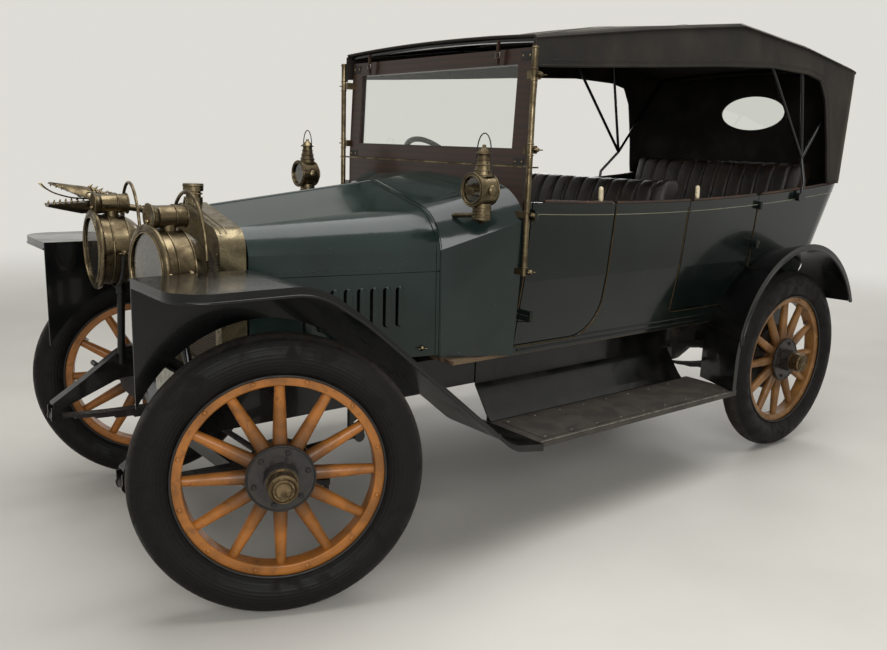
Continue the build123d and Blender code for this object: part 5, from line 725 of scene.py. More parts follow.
class CAR_OT_stage(bpy.types.Operator):
    """Adds the pale floor, the soft lamps and the camera"""

    bl_idname = "car.stage"
    bl_label = "Stage and camera"

    FLOOR_HALF = 30
    # Name, place, aimed at, size, watts
    LAMPS = (
        ("soft_top", (0.3, 0.6, 4.6), (0.0, 0.0, 0.6), (5.2, 3.2), 210),
        ("window_side", (3.4, 5.2, 2.6), (0.4, 0.3, 0.8), (3.6, 2.4), 170),
        ("far_fill", (-4.8, -3.6, 3.0), (0.0, 0.0, 0.8), (3.0, 2.4), 110),
    )
    # The photograph's camera, solved from it: lens in mm on a 36 mm sensor, place, line of sight and roll
    LENS = 34.53
    CAMERA_PLACE = (1.172 + AXLE_X, 2.8316, 1.4263)
    SIGHT = (-0.61346, -0.76214, -0.20692)
    ROLL = math.radians(1.906)

    def execute(self, context):
        context.scene.view_settings.view_transform = "Standard"
        self.floor(context.scene)
        self.air(context.scene)
        self.lamps(context.scene)
        self.camera(context.scene)
        return {"FINISHED"}

    def floor(self, scene):
        """Pale mottled floor, which takes the backdrop's own colour far out, so that no horizon shows."""
        half, level = self.FLOOR_HALF, min(0.0, CAD_BOX[0].z)
        corners = [(x, y, level) for x, y in ((-half, -half), (half, -half), (half, half), (-half, half))]
        floor = mesh_of("studio_floor", corners, [(0, 1, 2, 3)])
        plate = bpy.data.objects.new("studio_floor", floor)
        scene.collection.objects.link(plate)
        tree, shader, coords = finish("studio_floor_paint", "#cfccc5", 0.55)
        mottle = patches(tree, coords, 0.9, 0.3, 0.7)
        wire(tree, shader, Base_Color=layered(tree, "#d2cfc8", (mottle, "#c9c6bf")))
        reach = add(tree, "ShaderNodeVectorMath", {0: coords}, operation="LENGTH").outputs["Value"]
        far = add(tree, "ShaderNodeMapRange", {"Value": reach, "From Min": 3.2, "From Max": 9.0})
        share = add(tree, "ShaderNodeMath", {0: far, 1: seen_rays(tree)}, operation="MULTIPLY")
        glow = add(tree, "ShaderNodeEmission", {"Color": linear(BACKDROP), "Strength": 1.0})
        mixed = add(tree, "ShaderNodeMixShader", {0: share, 1: shader.outputs["BSDF"], 2: glow})
        output = next(n for n in tree.nodes if n.bl_idname == "ShaderNodeOutputMaterial")
        tree.links.new(mixed.outputs[0], output.inputs["Surface"])
        floor.materials.append(FINISHES["studio_floor_paint"])

    def air(self, scene):
        """Even air round the car: a third of the light that its colour shows."""
        scene.world = bpy.data.worlds.new("studio_air")
        scene.world.use_nodes = True
        air = scene.world.node_tree
        air.nodes.clear()
        values = {"Value": seen_rays(air), "To Min": 0.33, "To Max": 1.0}
        strength = add(air, "ShaderNodeMapRange", values, interpolation_type="LINEAR")
        backdrop = add(air, "ShaderNodeBackground", {"Color": linear(BACKDROP), "Strength": strength})
        add(air, "ShaderNodeOutputWorld", {"Surface": backdrop})

    def lamps(self, scene):
        """Broad soft lamps that the camera doesn't see."""
        for name, place, aim, size, watts in self.LAMPS:
            light = bpy.data.lights.new(name, "AREA")
            light.shape = "RECTANGLE"
            light.size, light.size_y = size
            light.energy = watts
            lamp = bpy.data.objects.new(name, light)
            lamp.location = place
            lamp.visible_camera = lamp.visible_transmission = False
            lamp.rotation_mode = "QUATERNION"
            lamp.rotation_quaternion = (Vector(aim) - Vector(place)).to_track_quat("-Z", "Y")
            scene.collection.objects.link(lamp)

    def camera(self, scene):
        """The camera of the photograph."""
        camera = bpy.data.cameras.new("photo_camera")
        camera.sensor_width = 36
        camera.lens = self.LENS
        viewer = bpy.data.objects.new("photo_camera", camera)
        ahead = Vector(self.SIGHT).normalized()
        level = ahead.cross(UP).normalized()
        head = level.cross(ahead)
        right = level * math.cos(self.ROLL) + head * math.sin(self.ROLL)
        top = head * math.cos(self.ROLL) - level * math.sin(self.ROLL)
        pose = Matrix((right, top, -ahead)).transposed().to_4x4()
        pose.translation = self.CAMERA_PLACE
        viewer.matrix_world = pose
        scene.collection.objects.link(viewer)
        scene.camera = viewer


class CAR_OT_paint(bpy.types.Operator):
    """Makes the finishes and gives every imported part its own"""

    bl_idname = "car.paint"
    bl_label = "Paint and metal"

    def execute(self, context):
        make_finishes(context.scene.car_paints)
        for finish_name, nodes in NODES_BY_FINISH.items():
            for node in nodes:
                materials = frame["nodes"][node].data.materials
                materials.clear()
                materials.append(FINISHES[finish_name])
        TREES["rod_along_path"] = rod_tree()
        TREES["fittings_at_places"] = places_tree()
        TREES["stitches_along_path"] = stitch_tree()
        return {"FINISHED"}


# Hood cloth: the roof deck, the side valances and the back curtain are one sheet over the bows.
# The tables are in millimetres.
# Distance behind the front axle, height of the roof's edge, rise of its crown
ROOF_LINE = (
    (980, 1808, 18),
    (1620, 1900, 34),
    (2230, 1975, 40),
    (2770, 1930, 38),
    (3290, 1856, 34),
    (3420, 1838, 34),
)
# Height, half width, distance of the back, radius of the rear corner
HOOD_PLAN = ((1200, 628, 3288, 180), (1320, 632, 3302, 180), (1900, 606, 3345, 120), (2100, 600, 3350, 120))
# Distance, height of the cloth's lower edge
VALANCE_LINE = (
    (940, 1702),
    (1250, 1724),
    (1700, 1760),
    (2100, 1794),
    (2480, 1818),
    (2800, 1812),
    (2930, 1788),
    (3000, 1700),
    (3050, 1576),
    (3090, 1470),
    (3120, 1375),
    (3150, 1290),
)
BOWS = (1012, 1620, 2420, 2770, 3230)
HOOD_FRONT, HOOD_BACK = 986, 3345
# Just ahead of the cloth's front, just ahead of its front strap, and where its bound lower edge ends
FRONT_EDGE, STRAP_PLACE, BOUND_TO = 984, 983, 3148
# From here back the cloth ends on the body's back, and from here back it has its light
FOOT_FROM, LIGHT_FROM = 3140, 3150
DECK_HEIGHT = 1.86
ROOF_HALF = 0.72
FRONT_HALF = 0.6
# Height, half width and half height of the oval rear light
REAR_LIGHT = (1.66, 0.2, 0.095)
# The net's steps along a side, round a corner, across the deck and down a wall
SIDE_STEPS, CORNER_STEPS, ACROSS, DROPS = 120, 14, 64, 30


def along(table, value):
    """Row of a table at a value between its rows."""
    for low, high in zip(table, table[1:]):
        if value <= high[0] or high is table[-1]:
            share = max(0.0, min(1.0, (value - low[0]) / (high[0] - low[0])))
            return [a + share * (b - a) for a, b in zip(low[1:], high[1:])]


def hood_edge(step, height):
    """Distance back and half width in mm of the hood's plan at one step along its side and corner."""
    half, rear, corner = along(HOOD_PLAN, height * 1000)
    centre = rear - corner
    if step <= SIDE_STEPS:
        return HOOD_FRONT + (centre - HOOD_FRONT) * step / SIDE_STEPS, half
    angle = math.pi / 2 * (step - SIDE_STEPS) / CORNER_STEPS
    return centre + corner * math.sin(angle), half - corner + corner * math.cos(angle)


def roof_height(distance, y):
    """Height of the roof at a distance back and a place across."""
    edge, crown = along(ROOF_LINE, distance)
    return (edge + crown - 1.2 * crown * (y / ROOF_HALF) ** 2) / 1000


def sag_at(distance):
    """Share of the full sag below the bows, 0 on a bow."""
    for near, far in zip(BOWS, BOWS[1:]):
        if near <= distance <= far:
            return math.sin(math.pi * (distance - near) / (far - near)) ** 2 * min(1.0, (far - near) / 700)
    return 0.0


def hood_net(depth, body_top, sag):
    """Points and faces of the hood, moved inwards by depth: its deck, its two sides and its back."""
    vertices, index, faces = [], {}, []
    last = SIDE_STEPS + CORNER_STEPS

    def point(key, place):
        """Number of the point with this key, which is made once."""
        if key not in index:
            index[key] = len(vertices)
            vertices.append(place)
        return index[key]

    def deck(row, k):
        """Place on the roof, which sags between the bows, rolls over its edge and ripples."""
        distance, half = hood_edge(row, DECK_HEIGHT)
        half = (half - depth * 1000) / 1000
        y = half * (2 * k / ACROSS - 1)
        flat = 1 - min(1.0, abs(y) / half) ** 4
        roll = 0.010 * max(0.0, 1 - (half - abs(y)) / 0.03) ** 2
        ripple = 0.0016 * (1 + noise.noise(Vector((distance * 0.0045, y * 5.0, 3.1)))) * flat
        z = roof_height(distance, y) - depth - sag * sag_at(distance) * flat - roll - ripple
        return Vector((back_mm(distance) + (depth if row > SIDE_STEPS else 0), y, z))

    for row in range(last + 1):
        for k in range(ACROSS + 1):
            point(("deck", row, k), deck(row, k))
    for row in range(last):
        for k in range(ACROSS):
            corners = ((row, k), (row + 1, k), (row + 1, k + 1), (row, k + 1))
            faces.append(tuple(index[("deck", *corner)] for corner in corners))

    def wall(side, row, drop, column=None):
        """Point down a side, or down the back where it has a column, from the edge of the deck."""
        key = ("deck", row, ACROSS if side > 0 else 0) if column is None else ("deck", last, column)
        if drop == 0:
            return index[key]
        top = vertices[index[key]].z
        distance = hood_edge(row, top)[0] if column is None else HOOD_BACK
        low = max(along(VALANCE_LINE, distance)[0] / 1000, body_top(distance) + 0.0004)
        t = drop / DROPS
        z = top + (low - top) * (t * 0.85 + 0.15 * t * t)
        full = max(0.0, min(1.0, (z - low) / 0.2)) if column is None and distance < 2950 else 1.0
        if column is None:
            distance, half = hood_edge(row, z)
            x, y = back_mm(distance), side * (half / 1000 - depth)
            if row > SIDE_STEPS:
                x += depth * math.sin(math.pi / 2 * (row - SIDE_STEPS) / CORNER_STEPS)
        else:
            half, rear, corner = along(HOOD_PLAN, z * 1000)
            x, y = back_mm(rear) + depth, ((half - corner) / 1000 - depth) * (2 * column / ACROSS - 1)
        # Drawn in under the deck, then in soft upright folds, and a little more at the lower edge
        tuck = 0.004 * math.exp(-t * 5)
        fold = 0.0035 * noise.noise(Vector((distance * 0.012, z * 3.0, side * 2.0))) * math.sin(math.pi * t)
        inward = tuck + max(0.0, fold) + 0.0012 * (1 - full)
        if column is None and row <= SIDE_STEPS:
            y -= side * inward
        else:
            x += inward
        return point(("wall", side, row, column, drop), Vector((x, y, z)))

    for side in (1, -1):
        for row in range(last):
            for drop in range(DROPS):
                corners = ((row, drop), (row, drop + 1), (row + 1, drop + 1), (row + 1, drop))
                loop = tuple(wall(side, *corner) for corner in corners)
                faces.append(loop if side > 0 else loop[::-1])

    def curtain(column, drop):
        """Point down the back, whose two edges are those of the sides."""
        if column in (0, ACROSS):
            return wall(-1 if column == 0 else 1, last, drop)
        return wall(0, last, drop, column)

    height, half_width, half_height = REAR_LIGHT
    for column in range(ACROSS):
        for drop in range(DROPS):
            corners = ((column, drop), (column, drop + 1), (column + 1, drop + 1), (column + 1, drop))
            loop = tuple(curtain(*corner) for corner in corners)
            middle = sum((vertices[i] for i in loop), Vector()) / 4
            if (middle.y / half_width) ** 2 + ((middle.z - height) / half_height) ** 2 > 1.0:
                faces.append(loop)
    return vertices, faces


def round_the_light(mesh):
    """Pulls the stepped edge of the rear light's hole onto its oval."""
    height, half_width, half_height = REAR_LIGHT
    work = bmesh.new()
    work.from_mesh(mesh)
    for vertex in work.verts:
        place = Vector((vertex.co.y / half_width, (vertex.co.z - height) / half_height))
        if vertex.is_boundary and vertex.co.x < back_mm(LIGHT_FROM) and abs(place.length - 1) < 0.75:
            place.normalize()
            vertex.co.y = place.x * half_width
            vertex.co.z = height + place.y * half_height
    work.to_mesh(mesh)
    work.free()


def cloth_uv(mesh):
    """A UV map in metres, along the hood and round its section."""
    layer = mesh.uv_layers.new(name="cloth")
    for polygon in mesh.polygons:
        upright = abs(polygon.normal.z) < 0.6
        back = upright and abs(polygon.normal.x) > abs(polygon.normal.y)
        for i in polygon.loop_indices:
            x, y, z = mesh.vertices[mesh.loops[i].vertex_index].co
            layer.data[i].uv = (y if back else x, z if upright else y)


def top_heights(tree, distance, outs):
    """Heights of the body's top, met from above at several places out from the middle."""
    hits = [tree.ray_cast(Vector((back_mm(distance), y, 1.6)), DOWN)[0] for y in outs]
    return [hit.z for hit in hits if hit is not None]


class CAR_OT_hood(bpy.types.Operator):
    """Stretches the hood cloth and its lining over the bows, with bound edges, seams and straps"""

    bl_idname = "car.hood"
    bl_label = "Hood cloth"

    def execute(self, context):
        sag = context.scene.car_sizes.hood_sag / 1000
        body = surface_of("body_shell", "rear_door_left", "rear_door_right")
        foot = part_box("hood_canopy")[0].z
        tops = []
        for distance in range(900, 3400, 25):
            heights = top_heights(body, min(distance, 3270), (0.60, 0.61, 0.615))
            tops.append((distance, max([foot if distance > FOOT_FROM else 0.0, *heights])))

        def body_top(distance):
            """Height of the body's top edge along its side, and at the back that of the hood's foot."""
            return along(tops, distance)[0]

        cloth = self.skin("hood_cloth", hood_net(0.0, body_top, sag), "hood_cloth_outside", 0.0022)
        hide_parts("hood_canopy")
        # The lining's dark colour is painted shade of the hood's inside
        self.skin("hood_lining", hood_net(0.0078, body_top, sag), "hood_cloth_lining_shaded", 0.0015)
        self.edges(body_top, sag)
        self.straps()
        return {"FINISHED"}

    def skin(self, name, net, finish_name, wall):
        """One layer of the hood, from its net to a sheet with its thickness."""
        mesh = mesh_of(name, *net)
        work = bmesh.new()
        work.from_mesh(mesh)
        bmesh.ops.remove_doubles(work, verts=work.verts, dist=2e-4)
        bmesh.ops.dissolve_degenerate(work, edges=work.edges, dist=1e-4)
        bmesh.ops.recalc_face_normals(work, faces=work.faces)
        if max(work.faces, key=lambda f: f.calc_center_median().z).normal.z < 0:
            bmesh.ops.reverse_faces(work, faces=work.faces)
        work.to_mesh(mesh)
        work.free()
        round_the_light(mesh)
        cloth_uv(mesh)
        piece = new_piece(name, mesh, "car", finish_name)
        thick = piece.modifiers.new("thickness", "SOLIDIFY")
        thick.thickness = wall
        thick.offset = -1
        bake_modifiers(piece)
        return piece

    def edges(self, body_top, sag):
        """Binds, pipes and sews the cloth along its edges and seams."""
        bound, piping, seams = [], [], []
        for side, _ in HANDS:
            low, rail = [], []
            for step in range(SIDE_STEPS + CORNER_STEPS + 1):
                distance, _ = hood_edge(step, 1.75)
                z = max(along(VALANCE_LINE, distance)[0] / 1000, body_top(distance) + 0.004)
                distance, half = hood_edge(step, z)
                if distance < BOUND_TO:
                    low.append(Vector((back_mm(distance), side * (half / 1000 - 0.005), z + 0.002)))
                distance, half = hood_edge(step, DECK_HEIGHT)
                z = roof_height(distance, half / 1000) - 0.0115
                rail.append(Vector((back_mm(distance) - 0.001, side * (half / 1000 - 0.0005), z)))
            top = roof_height(HOOD_FRONT, FRONT_HALF)
            front = []
            for k in range(7):
                z = top - 0.012 + (1.705 - top) * (k / 6)
                half = along(HOOD_PLAN, z * 1000)[0] / 1000
                front.append(Vector((back_mm(FRONT_EDGE), side * (half - 0.005), z)))
            bound += [low, front]
            piping.append(rail)
            seams.append([p + Vector((0, -side * 0.016, 0.0125)) for p in rail[2:-10]])
            outs = [side * (along(HOOD_PLAN, p.z * 1000)[0] / 1000 + 0.0003) for p in low[4:-2]]
            seams.append([Vector((p.x, y, p.z + 0.02)) for p, y in zip(low[4:-2], outs)])
            y, roof_seam = 0.3, []
            for distance in range(1000, 3300, 20):
                hang = sag * sag_at(distance) * (1 - (y / 0.61) ** 4)
                z = roof_height(distance, y) - hang + 0.0006
                roof_seam.append(Vector((back_mm(distance), side * y, z)))
            seams.append(roof_seam)
        shares = [k / 20 - 1 for k in range(41)]
        outs = [FRONT_HALF * share for share in shares]
        bound.append([Vector((back_mm(FRONT_EDGE), y, roof_height(FRONT_EDGE, y) - 0.004)) for y in outs])
        half, rear, corner = along(HOOD_PLAN, DECK_HEIGHT * 1000)
        outs = [(half - corner) / 1000 * share for share in shares]
        piping.append([Vector((back_mm(rear) - 0.001, y, roof_height(rear, y) - 0.0115)) for y in outs])
        height, half_width, half_height = REAR_LIGHT
        light = []
        for across, up in circle(1.0, 64):
            z = height + (half_height + 0.004) * up
            x = back_mm(along(HOOD_PLAN, z * 1000)[1]) + 0.002
            light.append(Vector((x, (half_width + 0.004) * across, z)))
        rods("hood_edge_binding", bound, 0.0052, "hood_cloth_outside", slot="hood_cloth")
        rods("hood_roof_piping", piping, 0.0034, "hood_cloth_outside", slot="hood_cloth")
        # The rear light's binding takes the lining's finish, dark as painted shade
        rods("rear_light_binding", [light], 0.006, "hood_cloth_lining_shaded", closed=True, slot="hood_cloth")
        stitches("hood_stitching", seams, "thread_black")

    def straps(self):
        """Two hide straps that hold the front bow, with their wire buckles."""
        straps, buckles = [], []
        for side, _ in HANDS:
            place = Vector((back_mm(STRAP_PLACE), side * 0.42, roof_height(1000, 0.42) - 0.02))
            straps.append([place + Vector((0.001, 0, -k * 0.012)) for k in range(8)])
            corners = ((-0.012, -0.009), (0.012, -0.009), (0.012, 0.009), (-0.012, 0.009))
            buckles.append([place + Vector((0.004, y, z - 0.05)) for y, z in corners])
        rods("hood_straps", straps, 0.009, "strap_hide", flatness=0.18)
        rods("hood_buckles", buckles, 0.0016, "nickel_steel", closed=True, sides=6)


def bake_modifiers(piece):
    """Applies a piece's modifiers to its mesh."""
    shown = piece.evaluated_get(bpy.context.evaluated_depsgraph_get())
    mesh = bpy.data.meshes.new_from_object(shown)
    piece.modifiers.clear()
    old = piece.data
    piece.data = mesh
    bpy.data.meshes.remove(old)


# Seats: stuffed hide cases sewn into pleats, each with the furthest that it may swell
SEATS = (
    ("front_seat_cushion", 0.016),
    ("front_seat_back", 0.018),
    ("rear_seat_cushion", 0.016),
    ("rear_seat_back", 0.018),
)
HIDE_ON_CLOTH = {
    "use_pressure": True,
    "uniform_pressure_force": 4,
    "quality": 4,
    "tension_stiffness": 12,
    "compression_stiffness": 12,
    "bending_stiffness": 0.4,
}
SWELL_FRAMES = 20
TUFT_PITCH = 0.17


def swell(piece, cap):
    """Blows the case up a little with Cloth pressure, keeps each point within cap, and applies it."""
    rest = [v.co.copy() for v in piece.data.vertices]
    cloth = piece.modifiers.new("stuffing", "CLOTH")
    for key, value in HIDE_ON_CLOTH.items():
        setattr(cloth.settings, key, value)
    cloth.settings.effector_weights.gravity = 0
    cloth.point_cache.frame_start = 1
    cloth.point_cache.frame_end = SWELL_FRAMES
    for number in range(1, SWELL_FRAMES + 1):
        bpy.context.scene.frame_set(number)
    shown = piece.evaluated_get(bpy.context.evaluated_depsgraph_get())
    moved = [v.co.copy() for v in shown.data.vertices]
    piece.modifiers.remove(cloth)
    bpy.context.scene.frame_set(1)
    for vertex, start, end in zip(piece.data.vertices, rest, moved):
        shift = end - start
        if shift.length > cap:
            shift *= cap / shift.length
        vertex.co = start + shift


class CAR_OT_seats(bpy.types.Operator):
    """Stuffs and pleats the seat cushions and backs, and buttons the backs"""

    bl_idname = "car.seats"
    bl_label = "Seats"

    def execute(self, context):
        pitch = context.scene.car_sizes.pleat / 1000
        for node, cap in SEATS:
            low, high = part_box(node)
            piece = bpy.data.objects.new(node + "_hide", merged_copy(node, node + "_hide"))
            context.scene.collection.objects.link(piece)
            remesh = piece.modifiers.new("even_skin", "REMESH")
            remesh.mode = "VOXEL"
            remesh.voxel_size = 0.014
            bake_modifiers(piece)
            soften = piece.modifiers.new("soft_corners", "SMOOTH")
            soften.factor = 0.6
            soften.iterations = 4
            bake_modifiers(piece)
            # The case starts 3 mm slack, because it swells
            normals = [v.normal.copy() for v in piece.data.vertices]
            for vertex, normal in zip(piece.data.vertices, normals):
                vertex.co -= normal * 0.003
            swell(piece, cap)
            finer = piece.modifiers.new("finer_skin", "SUBSURF")
            finer.levels = finer.render_levels = 1
            bake_modifiers(piece)
            count = round((high.y - low.y) / pitch)
            self.pleat(piece, "back" in node, count, low, high)
            piece.data.shade_smooth()
            dress(piece, "seat_hide")
            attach(piece, "car")
            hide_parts(node)
            if "back" in node:
                self.buttons(node, count, low, high)
        return {"FINISHED"}

    def pleat(self, piece, upright, count, low, high):
        """Sews channels across the width, and rows of tufts into a back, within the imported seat's box."""
        width = (high.y - low.y) / count
        normals = [v.normal.copy() for v in piece.data.vertices]
        for vertex, normal in zip(piece.data.vertices, normals):
            place = vertex.co
            forward, top = max(0.0, normal.x), max(0.0, normal.z)
            showing = min(1.0, forward + 0.8 * top if upright else top + 0.7 * forward)
            # 0 in the middle of a pleat and 1 on its seam
            seam = abs(((place.y - low.y) / width) % 1.0 - 0.5) * 2
            groove = max(0.0, (seam - 0.72) / 0.28) ** 2
            shift = showing * (0.003 * (1 - seam**2) - 0.011 * groove)
            if upright:
                tuft = math.cos(2 * math.pi * (place.z - low.z) / TUFT_PITCH)
                shift -= showing * 0.004 * max(0.0, tuft) ** 8 * max(0.0, seam - 0.4)
            vertex.co = place + normal * shift
        for vertex in piece.data.vertices:
            vertex.co.x = min(max(vertex.co.x, low.x), high.x + 0.01)
            vertex.co.y = min(max(vertex.co.y, low.y), high.y)
            vertex.co.z = min(max(vertex.co.z, low.z), high.z + 0.01)

    def buttons(self, node, count, low, high):
        """Buttons where the seams of a back cross its tuft rows."""
        places = []
        for row in (TUFT_PITCH, 2 * TUFT_PITCH):
            for k in range(1, count):
                places.append(Vector((high.x + 0.2, low.y + (high.y - low.y) * k / count, low.z + row)))
        sunk = [(hit - normal * 0.0085, normal) for hit, normal in touches(surface_of(node), places, AFT)]
        button = turned_shape("button", [(0.009, 0), (0.0085, 0.002), (0.005, 0.004), (0, 0.0046)], 12)
        fittings(node + "_buttons", button, sunk, "seat_hide", slot="seat_leather")


# Packed panels of each side of the body, and the bodies that they move with
PANELS = {
    1: {"body_shell": "car", "front_door_left": "front_left_door", "rear_door_left": "rear_left_door"},
    -1: {"body_shell": "car", "rear_door_right": "rear_right_door"},
}


def laid_lines(name, side, lines, radius, finish_name, lift):
    """Beads along lines of distance and height pairs, each laid on the panel that it crosses."""
    trees = {node: surface_of(node) for node in PANELS[side]}
    paths = {body: [] for body in PANELS[side].values()}
    for line in lines:
        last = None
        for start, end in zip(line, line[1:]):
            count = max(1, round((Vector(end) - Vector(start)).length / 0.012))
            for k in range(count + 1):
                distance, height = Vector(start).lerp(Vector(end), k / count)
                best = None
                for node, tree in trees.items():
                    outside = Vector((behind(distance), side * 1.2, height))
                    hit, normal, _, far = tree.ray_cast(outside, Vector((0, -side, 0)))
                    if hit is not None and far < 0.75 and (best is None or far < best[0]):
                        best = (far, node, hit + normal * lift)
                if best is None:
                    last = None
                    continue
                body = PANELS[side][best[1]]
                if last != body:
                    paths[body].append([])
                    last = body
                if not paths[body][-1] or (paths[body][-1][-1] - best[2]).length > 0.002:
                    paths[body][-1].append(best[2])
    beads(name, side, paths, radius, finish_name)


def beads(name, side, paths, radius, finish_name, **settings):
    """One piece of bead for each body, from the paths that lie on it."""
    for body, found in paths.items():
        found = [p for p in found if len(p) > 1]
        if found:
            rods(f"{name}_{body}_{dict(HANDS)[side]}", found, radius, finish_name, body, **settings)


def rounded_door(front, rear, bottom, top, front_radius, rear_radius):
    """Outline of a door seen from the side, open at the top, as distance and height pairs."""
    points = [(front, top)]
    for x, radius, start in (
        (front + front_radius, front_radius, math.pi),
        (rear - rear_radius, rear_radius, 1.5 * math.pi),
    ):
        for k in range(9):
            angle = start + math.pi / 2 * k / 8
            points.append((x + radius * math.cos(angle), bottom + radius + radius * math.sin(angle)))
    return [*points, (rear, top)]


def belt_heights():
    """Height of the body's top edge every 25 mm back from the screen."""
    body = surface_of("body_shell", "rear_door_left", "front_door_left")
    found = []
    for distance in range(1010, 3300, 25):
        heights = [z for z in top_heights(body, distance, (0.6, 0.61, 0.618)) if z > 1.1]
        if heights:
            found.append((distance, max(heights)))
    return found


class CAR_OT_body_trim(bpy.types.Operator):
    """Lays the beads, the coach line, the belt roll and the door pulls on the body"""

    bl_idname = "car.body_trim"
    bl_label = "Body trim"

    # Front, rear, bottom, top, front radius, rear radius
    REAR_DOOR = (1.93, 2.465, 0.733, 1.2, 0.02, 0.16)
    FRONT_DOOR = (0.99, 1.46, 0.687, 1.21, 0.02, 0.155)
    FOOT_LINES = (0.672, 0.694)
    BELT_OUT = 0.618
    # Distance, door, body
    PULLS = ((1.37, "front_door_left", "front_left_door"), (1.99, "rear_door_left", "rear_left_door"))

    def execute(self, context):
        sizes = context.scene.car_sizes
        belt = belt_heights()
        bead, drop = sizes.bead / 1000, sizes.line_drop / 1000
        below = [(d / 1000, z - drop) for d, z in belt]
        for side, _ in HANDS:
            laid_lines("coach_line", side, [below], 0.0016, "line_cream_enamel", 0.0002)
            doors = [rounded_door(*self.REAR_DOOR)]
            if side > 0:
                doors.append(rounded_door(*self.FRONT_DOOR))
            laid_lines("door_bead", side, doors, bead * 0.6, "bead_bronze", 0.0004)
            foot = [[(1.02 + 0.02 * k, z) for k in range(68)] for z in self.FOOT_LINES]
            laid_lines("foot_bead", side, foot, bead, "black_stove_enamel", 0.0005)
            if side < 0:
                laid_lines("panel_bead", side, [[(1.7, 0.7), (1.7, 1.2)]], bead * 0.6, "bead_bronze", 0.0004)
            self.roll(side, belt)
        self.pulls()
        return {"FINISHED"}

    def roll(self, side, belt):
        """Brown leather roll along the top of the body and doors."""
        trees = {node: surface_of(node) for node in PANELS[side]}
        paths = {}
        last = None
        for distance, height in belt[2:-2]:
            x, y = back_mm(distance), side * self.BELT_OUT
            for node, tree in trees.items():
                if tree.ray_cast(Vector((x, y, height + 0.05)), DOWN, 0.08)[0] is not None:
                    body = PANELS[side][node]
                    if last != body:
                        paths.setdefault(body, []).append([])
                        last = body
                    paths[body][-1].append(Vector((x, y, height + 0.0045)))
                    break
        beads("belt_roll", side, paths, 0.0085, "strap_hide", sides=10, flatness=0.75)

    def pulls(self):
        """Cream pulls that stand on the top of each left door."""
        lower = [(0.001, -0.03), (0.008, -0.026), (0.0095, -0.015)]
        profile = lower + [(radius, -up) for radius, up in reversed(lower)]
        for distance, node, body in self.PULLS:
            foot = touch(surface_of(node), (behind(distance), 0.616, 1.5), DOWN)[0]
            upright = [(foot + Vector((0.001, 0, 0.036)), Vector((0.05, 0, 1)))]
            fittings(f"door_pull_{body}", turned_shape("pull", profile, 16), upright, "ivory_button", body)


class CAR_OT_sheet_edges(bpy.types.Operator):
    """Rolls the edges of the fenders and trims the running boards"""

    bl_idname = "car.sheet_edges"
    bl_label = "Fender and board edges"

    def execute(self, context):
        wire_radius = context.scene.car_sizes.bead / 1000 * 1.25
        # Fender, its edge's place out, corner radius, front end and rear end
        fenders = (
            ("front_fenders", 0.7975, 0.1075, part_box("front_fenders")[1].x - 0.0025, behind(0.94)),
            ("rear_fenders", 0.7795, 0.0, REAR_AXLE_X + 0.56, REAR_AXLE_X - 0.44),
        )
        head = turned_shape("screw", [(0.006, 0), (0.0055, 0.0012), (0.003, 0.002), (0, 0.0022)], 12)
        for side, hand in HANDS:
            for node, *edge in fenders:
                places = [(x, side * out, 0.45) for x, out in self.outer_edge(*edge)]
                path = []
                for hit, _ in touches(surface_of(node), places, UP):
                    hit += Vector((0, side * 0.002, 0.001))
                    if not path or (hit - path[-1]).length < 0.12:
                        path.append(hit)
                rods(f"{node}_wired_edge_{hand}", [path], wire_radius, "black_stove_enamel", sides=10)
            low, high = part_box("running_boards")
            ends = (low.x + 0.012, high.x - 0.012)
            trim = [Vector((x, side * (high.y - 0.003), high.z - 0.006)) for x in ends]
            rods(f"board_edge_strip_{hand}", [trim], 0.005, "nickel_steel", flatness=0.6)
            alongs = [low.x + 0.06 + (high.x - low.x - 0.12) * k / 8 for k in range(9)]
            places = [(x, side * y, 0.6) for x in alongs for y in (0.545, 0.745)]
            screws = [(hit, UP) for hit, _ in touches(surface_of("running_boards"), places, DOWN)]
            fittings(f"board_screws_{hand}", head.copy(), screws, "nickel_steel")
        return {"FINISHED"}

    def outer_edge(self, y, corner, start, end):
        """Places along a fender's outer edge in plan, first its front and corner where it has them."""
        places = []
        if corner:
            inner = 0.465
            places += [(start, inner + (y - corner - inner) * k / 14) for k in range(14)]
            turns = [math.pi / 2 * k / 10 for k in range(10)]
            middle_x, middle_y = start - corner, y - corner
            places += [(middle_x + corner * math.cos(a), middle_y + corner * math.sin(a)) for a in turns]
        count = round((start - corner - end) / 0.015)
        return places + [(start - corner + (end - start + corner) * k / count, y) for k in range(count + 1)]


# Wheels


def hex_bolt(size, height):
    """Hexagon head on a washer, with its nut's chamfer."""
    washer = turned_shape("washer", [(size * 1.35, 0), (size * 1.35, 0.001), (size * 0.9, 0.0012)], 18)
    head = turned_shape("head", [(size, 0.001), (size, height), (size * 0.8, height + 0.0008)], 6)
    return joined("hex_bolt", [washer, head])


